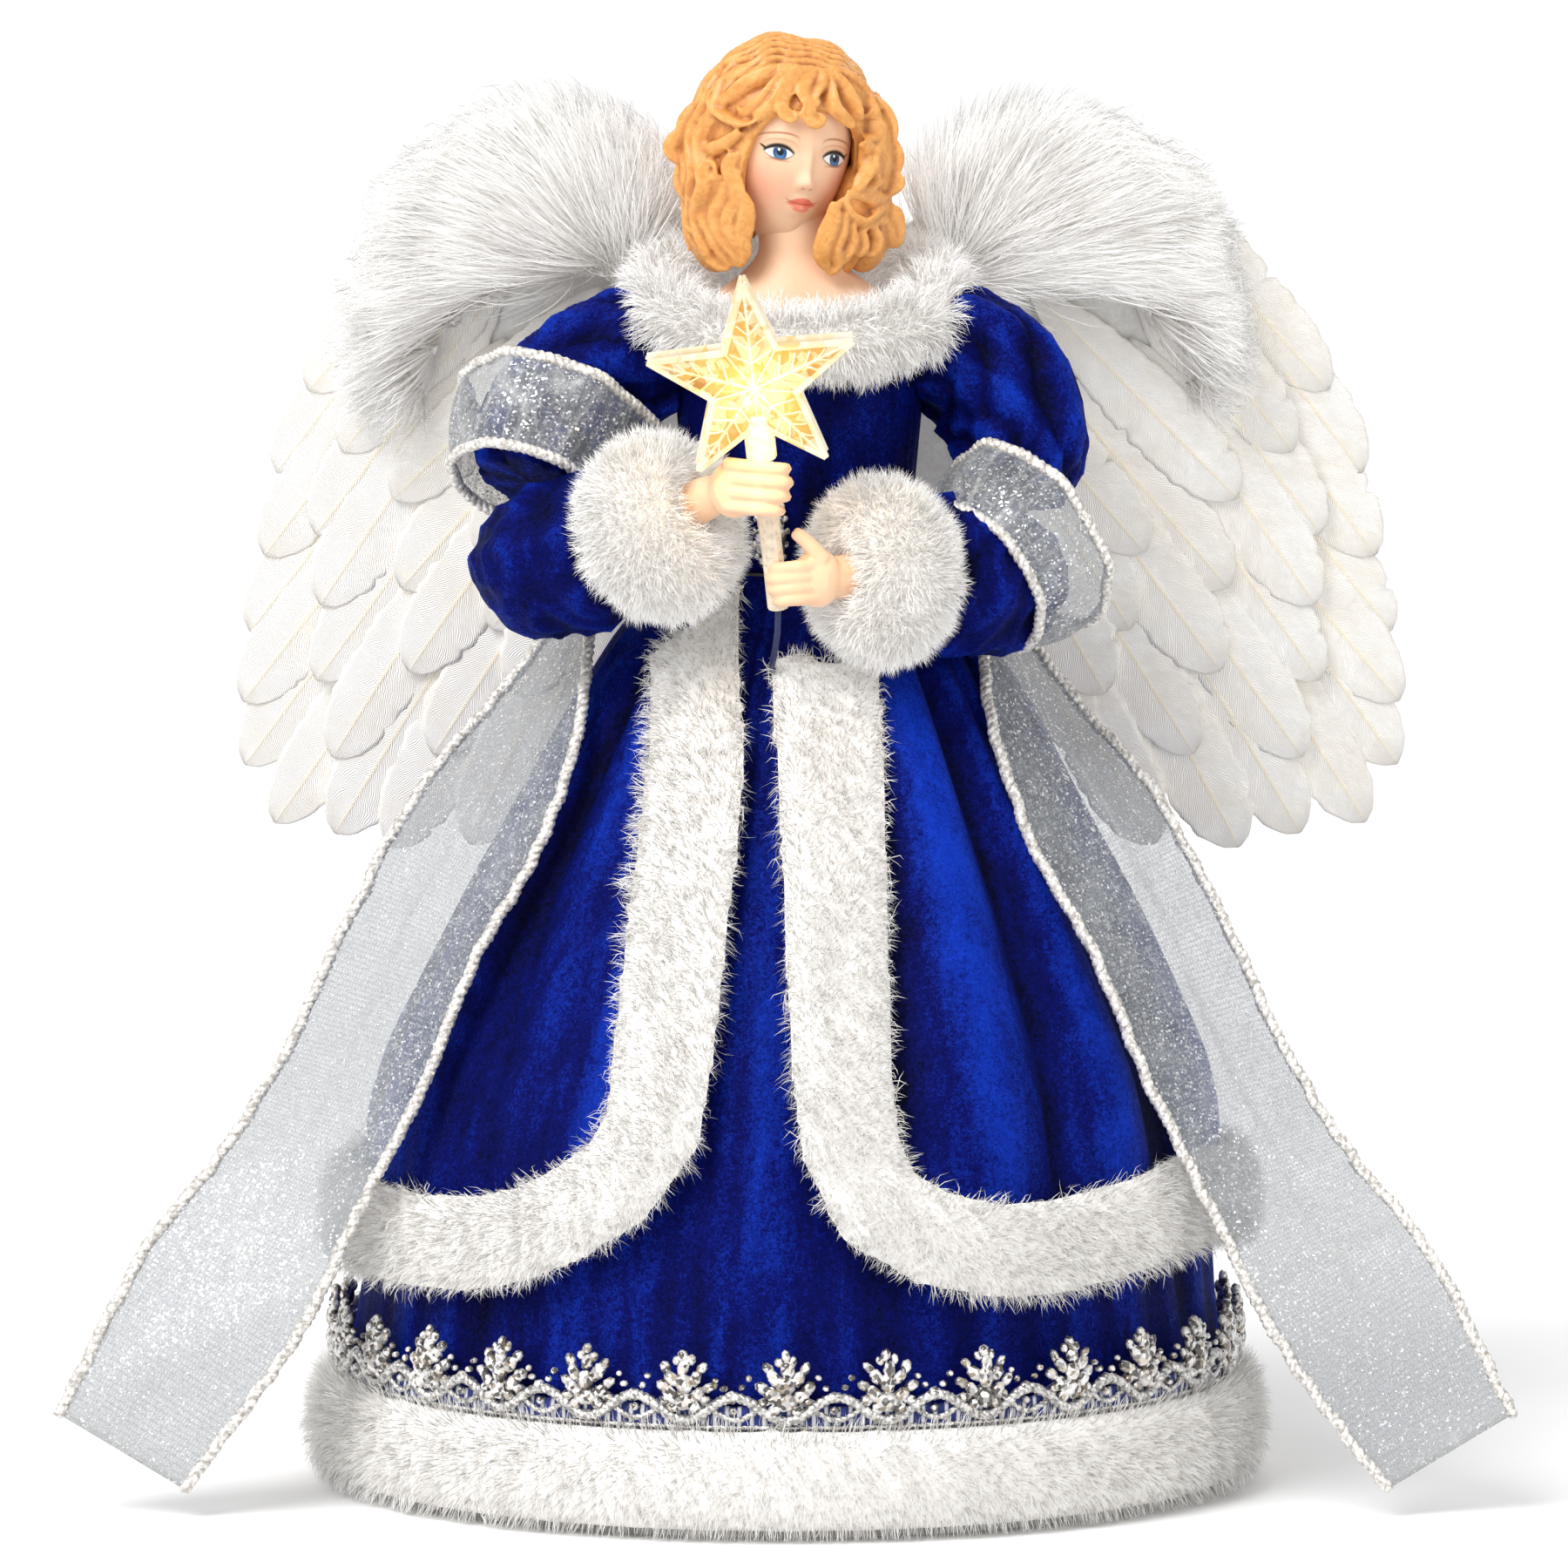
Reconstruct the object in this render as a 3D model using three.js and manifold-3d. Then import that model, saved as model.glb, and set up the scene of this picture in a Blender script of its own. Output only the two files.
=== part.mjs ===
// Lighted angel tree topper: a doll figure on a hollow cone that slips over the tip of a tree.
// Millimetres. +Z is up, the figure faces -Y, and the origin is the middle of the base on the floor.
// Left and right are the viewer's, seen from the front.
import * as THREE from "three";
import { mergeVertices } from "three/addons/utils/BufferGeometryUtils.js";
import Module from "manifold-3d";

const wasm = await Module();
wasm.setup();

// Driving dimensions of the whole figure
const waistHeight = 242;
const waistOffset = 3.5;
const seatGap = 0.35;
const cutOverrun = 5;

// Skirt's hem, which the rim, the fur and the trim follow
const skirtHemHeight = 29.5;
const skirtHemRadius = 117;

// Cone that carries the figure
const rimInset = 5;
const rimFlangeWidth = 2;
const rimFlangeRadius = skirtHemRadius - rimInset;
const rimRadius = rimFlangeRadius - rimFlangeWidth;
const rimFlangeThickness = 2;
const coneDrop = 28;
const coneHeight = waistHeight - coneDrop;
const coneTopRadius = 26;
const coneWall = 1.8;
const spigotRadius = 15;
const spigotHeight = 17;
const coneSides = 32;

// Torso, as half widths and half depths
const torsoHeight = 94;
const torsoHalfWidth = 31;
const torsoHalfDepth = 24;
const torsoBoreRoom = 1;
const bodiceThickness = 1.6;

// Skirt and coat
const clothThickness = 1.4;
const coatStandoff = 1.5;
const coatFullness = 2.2;
const foldDepth = 3.2;

// Fur, as plain padded forms under the pile
const coatFurWidth = 29;
const coatFurHeight = 7;
const bandSeat = 1.5;
const hemFurFloorGap = 0.5;
const hemFurHeight = skirtHemHeight - hemFurFloorGap - seatGap - seatGap / 2;
const hemFurSides = 34;
const hemFurInnerRadius = (rimFlangeRadius + seatGap) / Math.cos(Math.PI / hemFurSides);
const hemFurReach = 9.5;
const hemFurOuterRadius = skirtHemRadius + hemFurReach;
const collarHalfWidth = 37;
const collarHalfDepth = 32;
const collarTubeWidth = 9.5;
const collarTubeHeight = 8;
const collarDrop = 3.7;
const collarRise = 17;

// Beaded trim round the skirt's hem
const trimClusters = 28;
const trimBandHeight = 7;
const trimBandThickness = 1.6;
const trimRidge = 1.4;
const trimWaveHeight = 2.6;
const trimLeafHeight = 15;
const trimLeafWidth = 7;
const trimLeafDepth = 2.6;

// Head, measured from the shoulder plate's lower edge
const headTilt = 0.13;
const headTurn = 0.13;
const headShift = 3.3;
const jawDrop = 3;
const plateHalfWidth = 24;
const plateHalfDepth = 15;
const neckRadius = 9.4;
const headCentreHeight = 46.5;
const headHalfHeight = 24;
const headHalfWidth = 17;
const headHalfDepth = 19.5;
const faceHalfWidth = 15.5;
const faceHalfHeight = 18.5;
const faceCentreHeight = 35;
const hairThickness = 4.4;
const hairWave = 1.2;
const hairWaveCount = 12;
const hairWaveBend = 2.4;
const hairWaveSides = 5;
const hairFullness = 4;
const hairRoom = 1.1;

// Arms
const puffRadius = 19;
const forearmSleeveRadius = 20;
const cuffRadius = 23;
const wristRadius = 5.4;
const fingerRadius = 1.75;
const ruffleThickness = 0.8;
const ruffleRadius = 22.4;
const ruffleFlare = 5;

// Lighted star and its wand. The wand's ends are measured from the middle of the base.
const starTipRadius = 29;
const starWaistRadius = 12.4;
const starHalfThickness = 6.2;
const starEdgeHalfThickness = 2;
const starWall = 1.3;
const starRibRadius = 0.8;
const wandHeadLeft = 8.5;
const wandHeadForward = 82;
const wandHeadRise = 59;
const wandHeadHeight = waistHeight + wandHeadRise;
const wandFootLeft = 2;
const wandFootForward = 64;
const wandFootDrop = 3;
const wandFootHeight = waistHeight - wandFootDrop;
const wandRadius = 2.8;
const wandWall = 0.7;
const wandNeckRadius = 4;
const wandNeckTop = 9;
const wandNeckFoot = 22;
const wandFerruleRadius = 3.9;
const wandFerruleTop = 32;
const wandFerruleLength = 4.5;
const lampRadius = 2.5;
const lampTop = 5;
const lampLength = 7;
const leadRadius = 0.9;
const leadRoom = 0.4;

// Brooch on the waist
const broochHeight = 20;
const broochHalfWidth = 4.6;
const broochDepth = 2.4;

// Wings
const bracketHalfWidth = 17;
const bracketDrop = 4.7;
const bracketDepth = 9;
const wingSweep = 0.14;
const wingLean = 0.15;
const wingTipReach = 152;
const rightWingTipReach = 164;
const wingTopRise = 110;
const wingTopHeight = waistHeight + wingTopRise;
const wingBoardThickness = 1.6;
const featherThickness = 0.8;
const featherStep = 0.35;
const featherHalfWidth = 11.5;
const featherLength = 98;
const fluffDepth = 12;
const fluffHalfHeight = 27;

// Ribbon streamers
const tailSpread = 190.5;
const tailForward = 78;
const tailTopDrop = 6;
const tailTopHeight = waistHeight - tailTopDrop;
const ribbonThickness = 0.9;
const knotHalfWidth = 8;
const knotHalfHeight = 9;
const knotHalfDepth = 5;
const tailRootShare = 1.106;

// Battery case for two AA cells, inside the back of the cone
const cellRadius = 7.25;
const cellLength = 49.2;
const cellNubRadius = 2.7;
const cellNubLength = 1.3;
const cellRoom = 0.5;
const caseWall = 1.6;
const springRoom = 5;
const springWire = 0.45;
const springRadius = 3.6;
const contactThickness = 0.6;
const contactHalfWidth = 5;
const padThickness = 3.2;
const switchBay = 8;
const coverThickness = 1.6;
const coverRibCount = 4;
const coverRibPitch = 3;
const coverRibWidth = 1.2;
const caseFootHeight = 30;
const switchTravel = 4;
const switchKnobLength = 4;
const switchKnobWidth = 3;
const switchKnobHeight = 2.4;
const shoeThickness = 1.4;
const shoeOverlap = 1.2;

const root = new THREE.Group();

// Finishes
function finish(colour, roughness, metalness = 0, extra = {}) {
  return new THREE.MeshStandardMaterial({ color: colour, roughness, metalness, ...extra });
}
const velvet = finish(0x0a2a9c, 0.85);
const fur = finish(0xf4f0e8, 0.95);
const skin = finish(0xf3c9a6, 0.5);
const hairPaint = finish(0xd98c3c, 0.45);
const feather = finish(0xf8f1e4, 0.8);
const ribbonMesh = finish(0xc6ccd2, 0.45, 0.5, { transparent: true, opacity: 0.6 });
const silver = finish(0xc8c8c4, 0.3, 0.9);
const clearPlastic = finish(0xfff0c0, 0.12, 0, { transparent: true, opacity: 0.5 });
const lampGlow = finish(0xffd27a, 0.2, 0, { emissive: 0xffb040 });
const card = finish(0xe9e6df, 0.8);
const casePlastic = finish(0xf2f2ef, 0.5);
const cellSleeve = finish(0x2c2f33, 0.4, 0.2);
const springSteel = finish(0xb8bcc0, 0.35, 0.9);
const leadSheath = finish(0x14245c, 0.5);

const Y = new THREE.Vector3(0, 1, 0);
const Z = new THREE.Vector3(0, 0, 1);

// Solids

// A three.js geometry as a solid with its faces pointing out.
function solidOf(geometry) {
  const bare = new THREE.BufferGeometry().setAttribute("position", geometry.getAttribute("position").clone());
  if (geometry.index) bare.setIndex(geometry.index.clone());
  const merged = mergeVertices(bare);
  const corners = new Uint32Array(merged.index.array);
  const build = () => new wasm.Manifold(new wasm.Mesh({
    numProp: 3,
    vertProperties: merged.attributes.position.array,
    triVerts: corners,
  }));
  const solid = build();
  if (solid.volume() > 0) return solid;
  for (let i = 0; i < corners.length; i += 3) {
    [corners[i + 1], corners[i + 2]] = [corners[i + 2], corners[i + 1]];
  }
  return build();
}

function geometryOf(solid) {
  const mesh = solid.getMesh();
  const geometry = new THREE.BufferGeometry();
  geometry.setAttribute("position", new THREE.BufferAttribute(new Float32Array(mesh.vertProperties), 3));
  geometry.setIndex(new THREE.BufferAttribute(new Uint32Array(mesh.triVerts), 1));
  geometry.computeVertexNormals();
  return geometry;
}

function place(name, solid, material, parent = root) {
  const mesh = new THREE.Mesh(geometryOf(solid), material);
  mesh.name = name;
  parent.add(mesh);
  return mesh;
}

function joined(solids) {
  return solids.reduce((whole, solid) => whole.add(solid));
}

// The largest of the parts that a cut leaves.
function largestPart(solid) {
  return solid.decompose().sort((a, b) => b.volume() - a.volume())[0];
}

function moved(solid, matrix) {
  return solid.transform(Array.from(matrix.elements));
}

// A solid of one group seen from another group's frame.
function seenFrom(solid, from, to) {
  from.updateWorldMatrix(true, false);
  to.updateWorldMatrix(true, false);
  const matrix = to.matrixWorld.clone().invert().multiply(from.matrixWorld);
  return moved(solid, matrix);
}

// A skin over rows of points. Each row is a closed loop with an even count, whose first half faces its second half.
// The halves are split along matching diagonals, so that walls laid over each other on one net never cross.
function loft(rows, closed = false) {
  const count = rows[0].length;
  const positions = rows.flat().flatMap((p) => [p.x, p.y, p.z]);
  const index = [];
  const at = (row, k) => (row % rows.length) * count + (k % count);
  const spans = closed ? rows.length : rows.length - 1;
  for (let row = 0; row < spans; row += 1) {
    for (let k = 0; k < count; k += 1) {
      const [a, b, c, d] = [at(row, k), at(row, k + 1), at(row + 1, k + 1), at(row + 1, k)];
      if (k < count / 2) index.push(a, b, c, a, c, d);
      else index.push(a, b, d, b, c, d);
    }
  }
  if (!closed) {
    const last = rows.length - 1;
    for (let k = 0; k < count / 2 - 1; k += 1) {
      const far = count - 1 - k;
      index.push(at(0, k), at(0, far), at(0, far - 1), at(0, k), at(0, far - 1), at(0, k + 1));
      index.push(at(last, k), at(last, far - 1), at(last, far), at(last, k), at(last, k + 1), at(last, far - 1));
    }
  }
  const geometry = new THREE.BufferGeometry();
  geometry.setAttribute("position", new THREE.Float32BufferAttribute(positions, 3));
  geometry.setIndex(index);
  return solidOf(geometry);
}

// A wall between an outer and an inner net of points, each net given as columns.
function shell(outer, inner, closed = false) {
  return loft(outer.map((column, i) => [...column, ...[...inner[i]].reverse()]), closed);
}

function revolve(profile, sides) {
  const points = profile.map(([radius, height]) => new THREE.Vector2(radius, height));
  points.push(points[0].clone());
  return solidOf(new THREE.LatheGeometry(points, sides).rotateX(Math.PI / 2));
}

function ball(centre, size, across = 12, down = 8) {
  const geometry = new THREE.SphereGeometry(1, across, down).rotateX(Math.PI / 2);
  geometry.scale(size.x, size.y, size.z).translate(centre.x, centre.y, centre.z);
  return solidOf(geometry);
}

function block(low, high) {
  const size = new THREE.Vector3().subVectors(high, low);
  const middle = new THREE.Vector3().addVectors(low, high).divideScalar(2);
  const geometry = new THREE.BoxGeometry(size.x, size.y, size.z);
  return solidOf(geometry.translate(middle.x, middle.y, middle.z));
}

// A round bar from one point to another.
function bar(from, to, radius, sides = 10, farRadius = radius) {
  const along = new THREE.Vector3().subVectors(to, from);
  const geometry = new THREE.CylinderGeometry(farRadius, radius, along.length(), sides);
  const turn = new THREE.Quaternion().setFromUnitVectors(Y, along.clone().normalize());
  const middle = new THREE.Vector3().addVectors(from, to).divideScalar(2);
  return solidOf(geometry.applyQuaternion(turn).translate(middle.x, middle.y, middle.z));
}

// A tube of changing oval section along a curve. The section's second axis leans towards lean.
function limb(curve, sizeAt, rings, sides, lean, grow = 0) {
  const rows = [];
  for (let ring = 0; ring <= rings; ring += 1) {
    const share = ring / rings;
    const centre = curve.getPoint(share);
    const along = curve.getTangent(share);
    const side = new THREE.Vector3().crossVectors(lean, along).normalize();
    const up = new THREE.Vector3().crossVectors(along, side).normalize();
    const row = [];
    for (let k = 0; k < sides; k += 1) {
      const angle = (k + 0.5) / sides * 2 * Math.PI;
      const size = sizeAt(share, angle);
      const point = centre.clone();
      point.addScaledVector(side, (size[0] + grow) * Math.cos(angle));
      point.addScaledVector(up, (size[1] + grow) * Math.sin(angle));
      row.push(point);
    }
    rows.push(row);
  }
  return loft(rows);
}

// A tube of even round section along a curve.
function pipe(curve, radius, steps, sides) {
  const outline = new THREE.Shape();
  for (let k = 0; k < sides; k += 1) {
    const angle = k / sides * 2 * Math.PI;
    const x = radius * Math.cos(angle);
    const y = radius * Math.sin(angle);
    if (k) outline.lineTo(x, y);
    else outline.moveTo(x, y);
  }
  return solidOf(new THREE.ExtrudeGeometry(outline, { steps, extrudePath: curve, bevelEnabled: false }));
}

function extruded(points, depth) {
  const outline = new THREE.Shape(points.map(([x, y]) => new THREE.Vector2(x, y)));
  return solidOf(new THREE.ExtrudeGeometry(outline, { depth, bevelEnabled: false }));
}

// A value read from rows of shares, between the two rows that lie either side of it.
function between(shareRows, share, column) {
  const lastRow = shareRows.length - 1;
  const next = Math.max(1, shareRows.findIndex((row, i) => i > 0 && (row[0] >= share || i === lastRow)));
  const [low, high] = [shareRows[next - 1], shareRows[next]];
  const part = THREE.MathUtils.clamp((share - low[0]) / (high[0] - low[0]), 0, 1);
  return THREE.MathUtils.lerp(low[column], high[column], part);
}

function steps(count, make) {
  return Array.from({ length: count }, (_, i) => make(i / count, i));
}

// Torso

const torsoFoot = coneHeight + seatGap;
const torsoTop = torsoFoot + torsoHeight;
// Height, width, depth and forward shares of the torso, from waist to shoulders
const torsoShares = [
  [0, 0.84, 0.83, 0],
  [0.3, 0.87, 0.83, 0],
  [0.52, 0.92, 0.88, 0.05],
  [0.73, 0.98, 1, 0.12],
  [0.89, 1, 0.88, 0.04],
  [1, 0.8, 0.62, 0],
];
const torsoSides = 20;

function torsoRow(height, grow) {
  const share = (height - torsoFoot) / torsoHeight;
  const halfWidth = between(torsoShares, share, 1) * torsoHalfWidth + grow;
  const halfDepth = between(torsoShares, share, 2) * torsoHalfDepth + grow;
  const forward = between(torsoShares, share, 3) * torsoHalfDepth;
  return steps(torsoSides, (turn) => {
    const angle = turn * 2 * Math.PI;
    const aside = halfWidth * Math.sin(angle);
    return new THREE.Vector3(waistOffset + aside, -forward - halfDepth * Math.cos(angle), height);
  });
}

function torsoBody(grow, from, to) {
  const inner = torsoShares.map((row) => torsoFoot + row[0] * torsoHeight).filter((z) => z > from && z < to);
  return loft([from, ...inner, to].map((height) => torsoRow(height, grow)));
}

const bodiceFoot = waistHeight + seatGap;
const bodiceTop = torsoTop - seatGap;
const bodiceGrow = seatGap + bodiceThickness;

// Skirt and coat surface: one bell for both, so that the coat always clears the skirt

// Height, radius and depth shares of the bell, from hem to waist
const bellShares = [
  [0, 1, 1],
  [0.075, 0.966, 1],
  [0.27, 0.92, 1],
  [0.4, 0.855, 1],
  [0.6, 0.68, 1],
  [0.785, 0.5, 1],
  [0.9, 0.385, 0.95],
  [0.96, 0.315, 0.87],
  [1, 0.2475, 0.775],
];
const bellHeight = waistHeight - skirtHemHeight;
// Count, phase and strength share of each set of folds
const foldShares = [
  [13, 0.6, 0.55],
  [7, 2.1, 0.45],
];

function bellShareAt(height) {
  return (height - skirtHemHeight) / bellHeight;
}

function bellRadiusAt(height) {
  return between(bellShares, bellShareAt(height), 1) * skirtHemRadius;
}

function foldAt(angle, share) {
  const strength = Math.sin(Math.PI * THREE.MathUtils.clamp(share, 0, 1));
  const wave = foldShares.reduce((sum, [count, phase, part]) => sum + part * Math.cos(count * angle + phase), 0);
  return foldDepth * strength * wave;
}

function bellPoint(angle, height, out) {
  const share = bellShareAt(height);
  const squash = between(bellShares, share, 2);
  const reach = foldAt(angle, share) + out;
  const shift = waistOffset * THREE.MathUtils.clamp(share, 0, 1);
  const radius = bellRadiusAt(height);
  const x = shift + (radius + reach) * Math.sin(angle);
  return new THREE.Vector3(x, -(radius * squash + reach) * Math.cos(angle), height);
}

const bellColumns = 40;
const bellHeights = bellShares.map((row) => skirtHemHeight + row[0] * bellHeight);

// The bell's points as columns round the figure, each from the hem to the waist.
function bellNet(out) {
  return steps(bellColumns, (turn) => bellHeights.map((height) => bellPoint(turn * 2 * Math.PI, height, out)));
}

// Coat: a second bell over the skirt, open in front, whose edges follow the fur bands
const coatOut = coatStandoff + clothThickness;
const coatColumns = 40;
const coatLowRowShare = 0.6;
const degree = Math.PI / 180;
// Angle in degrees and height share of each fur band's middle line, from the waist to the back seam
const leftBandShares = [
  [-37, 0.955], [-31, 0.9], [-23.5, 0.785], [-20.3, 0.62], [-18.8, 0.46], [-18.8, 0.37], [-22.5, 0.305],
  [-32, 0.245], [-43, 0.21], [-58, 0.2], [-76, 0.205], [-94, 0.21], [-112, 0.21], [-130, 0.21], [-148, 0.21],
  [-164, 0.21], [-179.6, 0.21],
];
const rightBandShares = [
  [8, 0.915], [7.8, 0.87], [7.8, 0.77], [7.4, 0.62], [7.4, 0.46], [7.9, 0.36], [11.5, 0.275],
  [21, 0.225], [32, 0.21], [47, 0.22], [64, 0.235], [82, 0.23], [100, 0.22], [118, 0.212], [136, 0.21],
  [154, 0.21], [167, 0.21], [179.6, 0.21],
];

// The line is laid out flat on the skirt's hem circle, so that its length is even.
function bandCurve(bandShares) {
  return new THREE.CatmullRomCurve3(bandShares.map(([angle, share]) => (
    new THREE.Vector3(angle * degree * skirtHemRadius, skirtHemHeight + share * bellHeight, 0)
  )));
}
const bandRings = 28;
const leftBand = bandCurve(leftBandShares);
const rightBand = bandCurve(rightBandShares);

const cornerRow = 5;

function coatHemAt(angle) {
  const rows = (angle < 0 ? leftBandShares : rightBandShares).slice(cornerRow);
  const turned = rows.map(([degrees, share]) => [Math.abs(degrees), share]);
  return between(turned, Math.abs(angle) / degree, 1);
}

function coatFrontAt(bandShares, share) {
  const rows = bandShares.slice(0, cornerRow + 1).reverse().map(([degrees, high]) => [high, degrees]);
  return between(rows, share, 1) * degree;
}

// Columns run from the right front edge round the back to the left front edge, each from the waist to the hem.
function coatNet(out) {
  const upperShares = bellShares.map((row) => row[0]).filter((share) => share >= 0.4).reverse();
  return Array.from({ length: coatColumns + 1 }, (_, k) => {
    const angleAt = (share) => {
      const right = coatFrontAt(rightBandShares, share);
      const left = coatFrontAt(leftBandShares, share);
      const angle = THREE.MathUtils.lerp(right, left + 2 * Math.PI, k / coatColumns);
      return angle > Math.PI ? angle - 2 * Math.PI : angle;
    };
    const lowest = upperShares[upperShares.length - 1];
    const hem = coatHemAt(angleAt(lowest));
    const shares = [...upperShares, THREE.MathUtils.lerp(lowest, hem, coatLowRowShare), hem];
    return shares.map((share) => coatPoint(angleAt(share), skirtHemHeight + share * bellHeight, out));
  });
}

function coatPoint(angle, height, out) {
  const share = THREE.MathUtils.clamp(bellShareAt(height), 0, 1);
  return bellPoint(angle, height, out + coatFullness * Math.sin(Math.PI * share));
}

// A fur band laid on the coat along a line of angles and heights.
// Width and height shares of the band's section, base first
const bandSectionShares = [
  [-0.9, 0.08], [0, 0.06], [0.9, 0.08], [1, 0.45], [0.6, 0.9], [0, 1], [-0.6, 0.9], [-1, 0.45],
];

function furBand(curve) {
  const rows = [];
  for (let ring = 0; ring <= bandRings; ring += 1) {
    const at = curve.getPointAt(ring / bandRings);
    const along = curve.getTangentAt(ring / bandRings);
    rows.push(bandSectionShares.map(([wide, high]) => {
      const offset = wide * coatFurWidth / 2;
      const height = at.y + along.x * offset;
      const angle = at.x / skirtHemRadius - along.y * offset / bellRadiusAt(at.y);
      return coatPoint(angle, height, coatOut + bandSeat + high * coatFurHeight);
    }));
  }
  return loft(rows);
}

// Cone

const spigotTop = coneHeight + spigotHeight;
const coneLean = Math.atan2(rimRadius - coneTopRadius, coneHeight - rimFlangeThickness);

function coneRadiusAt(height) {
  const share = (height - rimFlangeThickness) / (coneHeight - rimFlangeThickness);
  return THREE.MathUtils.lerp(rimRadius, coneTopRadius, share);
}

function coneShell() {
  const wallAcross = coneWall / Math.cos(coneLean);
  return revolve([
    [rimFlangeRadius, 0],
    [rimFlangeRadius, rimFlangeThickness],
    [rimRadius, rimFlangeThickness],
    [coneTopRadius, coneHeight],
    [spigotRadius, coneHeight],
    [spigotRadius, spigotTop],
    [spigotRadius - coneWall, spigotTop],
    [spigotRadius - coneWall, coneHeight - coneWall],
    [coneRadiusAt(coneHeight - coneWall) - wallAcross, coneHeight - coneWall],
    [coneRadiusAt(0) - wallAcross, 0],
  ], coneSides);
}

// Battery case: its own frame has +Z up the cone's wall, +Y away from the tree's tip and its back on y = 0
const bayHalfWidth = 2 * cellRadius + 1.5 * cellRoom;
const caseHalfWidth = bayHalfWidth + caseWall;
const cellChamber = cellLength + cellNubLength + springRoom + 2 * seatGap;
const bayLength = cellChamber + 2 * (contactThickness + seatGap);
const caseLength = bayLength + 3 * caseWall + switchBay;
const bayDepth = 2 * cellRadius + 2 * cellRoom;
const coverSlotDepth = coverThickness + seatGap * 2;
const caseDepth = caseWall + bayDepth + coverSlotDepth + caseWall;
const bayFoot = caseWall + switchBay + caseWall;

const batteryFrame = new THREE.Group();
batteryFrame.name = "battery_frame";
const caseWallRadius = coneRadiusAt(caseFootHeight) - coneWall / Math.cos(coneLean) - padThickness;
batteryFrame.position.set(0, caseWallRadius, caseFootHeight);
batteryFrame.rotation.x = coneLean;
root.add(batteryFrame);

function boxAt(x0, x1, y0, y1, z0, z1) {
  return block(new THREE.Vector3(x0, y0, z0), new THREE.Vector3(x1, y1, z1));
}

const coverFront = -caseDepth + caseWall + seatGap;
const coverBack = coverFront + coverThickness;
const coverHalfWidth = bayHalfWidth + caseWall / 2 - seatGap;
const coverFoot = 0;
const coverTop = caseLength - caseWall - seatGap;
const slotHalfWidth = coverHalfWidth + seatGap;
const lipHalfWidth = bayHalfWidth - caseWall;
const knobRest = -switchTravel / 2;
const knobDepthPlace = -caseDepth / 3;

function batteryCase() {
  const outside = boxAt(-caseHalfWidth, caseHalfWidth, -caseDepth, 0, 0, caseLength);
  const bay = boxAt(-bayHalfWidth, bayHalfWidth, coverBack - seatGap, -caseWall, bayFoot, bayFoot + bayLength);
  const slotFloor = coverBack + seatGap;
  const slot = boxAt(-slotHalfWidth, slotHalfWidth, coverFront - seatGap, slotFloor, -cutOverrun, coverTop + seatGap);
  const cutTop = coverTop + seatGap;
  const mouth = boxAt(-lipHalfWidth, lipHalfWidth, -caseDepth - cutOverrun, coverFront, -cutOverrun, cutTop);
  const switchRoom = boxAt(
    -bayHalfWidth, bayHalfWidth, slotFloor - seatGap, -caseWall, caseWall, caseWall + switchBay,
  );
  const knobHalfLength = switchKnobLength / 2 + seatGap;
  const knobHalfWidth = switchKnobWidth / 2 + seatGap;
  const knobSlot = boxAt(
    knobRest - knobHalfLength, knobRest + switchTravel + knobHalfLength,
    knobDepthPlace - knobHalfWidth, knobDepthPlace + knobHalfWidth, -cutOverrun, caseWall + cutOverrun,
  );
  const leadHole = boxAt(-leadRadius - leadRoom, leadRadius + leadRoom, -caseDepth / 2 - leadRadius - leadRoom,
    -caseDepth / 2 + leadRadius + leadRoom, caseLength - caseWall - cutOverrun, caseLength + cutOverrun);
  return outside.subtract(joined([bay, slot, mouth, switchRoom, knobSlot, leadHole]));
}

// A sliding cover with finger ribs across its lower end.
function batteryCover() {
  const plate = boxAt(-coverHalfWidth, coverHalfWidth, coverFront, coverBack, coverFoot, coverTop);
  const padHalfWidth = lipHalfWidth - seatGap;
  const pad = boxAt(-padHalfWidth, padHalfWidth, -caseDepth, coverFront + seatGap, coverFoot, coverTop);
  const grooves = steps(coverRibCount, (_, i) => {
    const foot = coverFoot + coverRibPitch * (i + 1);
    return boxAt(
      -lipHalfWidth / 2, lipHalfWidth / 2, -caseDepth - cutOverrun, -caseDepth + seatGap * 2,
      foot, foot + coverRibWidth,
    );
  });
  return plate.add(pad).subtract(joined(grooves));
}

const cellAxisDepth = -caseWall - cellRoom - cellRadius;
const cellAxisX = cellRadius + cellRoom / 2;
const footContact = bayFoot + seatGap;
const chamberFoot = footContact + contactThickness;
const chamberTop = chamberFoot + cellChamber;

// The left cell stands on its nub, the right one has it at the top.
function batteryCell(side) {
  const turnedUp = side > 0;
  const bodyFoot = chamberFoot + seatGap + (turnedUp ? springRoom : cellNubLength);
  const point = (height) => new THREE.Vector3(side * cellAxisX, cellAxisDepth, height);
  const body = bar(point(bodyFoot), point(bodyFoot + cellLength), cellRadius, 16);
  const base = turnedUp ? bodyFoot + cellLength - seatGap : bodyFoot - cellNubLength;
  const nub = bar(point(base), point(base + cellNubLength + seatGap), cellNubRadius, 10);
  return body.add(nub);
}

// A helical spring on its contact plate, wound as one unbroken tube. rise is negative where it hangs.
const springTurns = 3;
const springSteps = 6;

function contactSpring(x, foot, rise) {
  const count = springTurns * springSteps;
  const points = Array.from({ length: count + 1 }, (_, i) => {
    const angle = i / springSteps * 2 * Math.PI;
    return new THREE.Vector3(
      x + springRadius * Math.cos(angle), cellAxisDepth + springRadius * Math.sin(angle), foot + rise * i / count,
    );
  });
  return pipe(new THREE.CatmullRomCurve3(points), springWire, count, 4);
}

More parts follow.
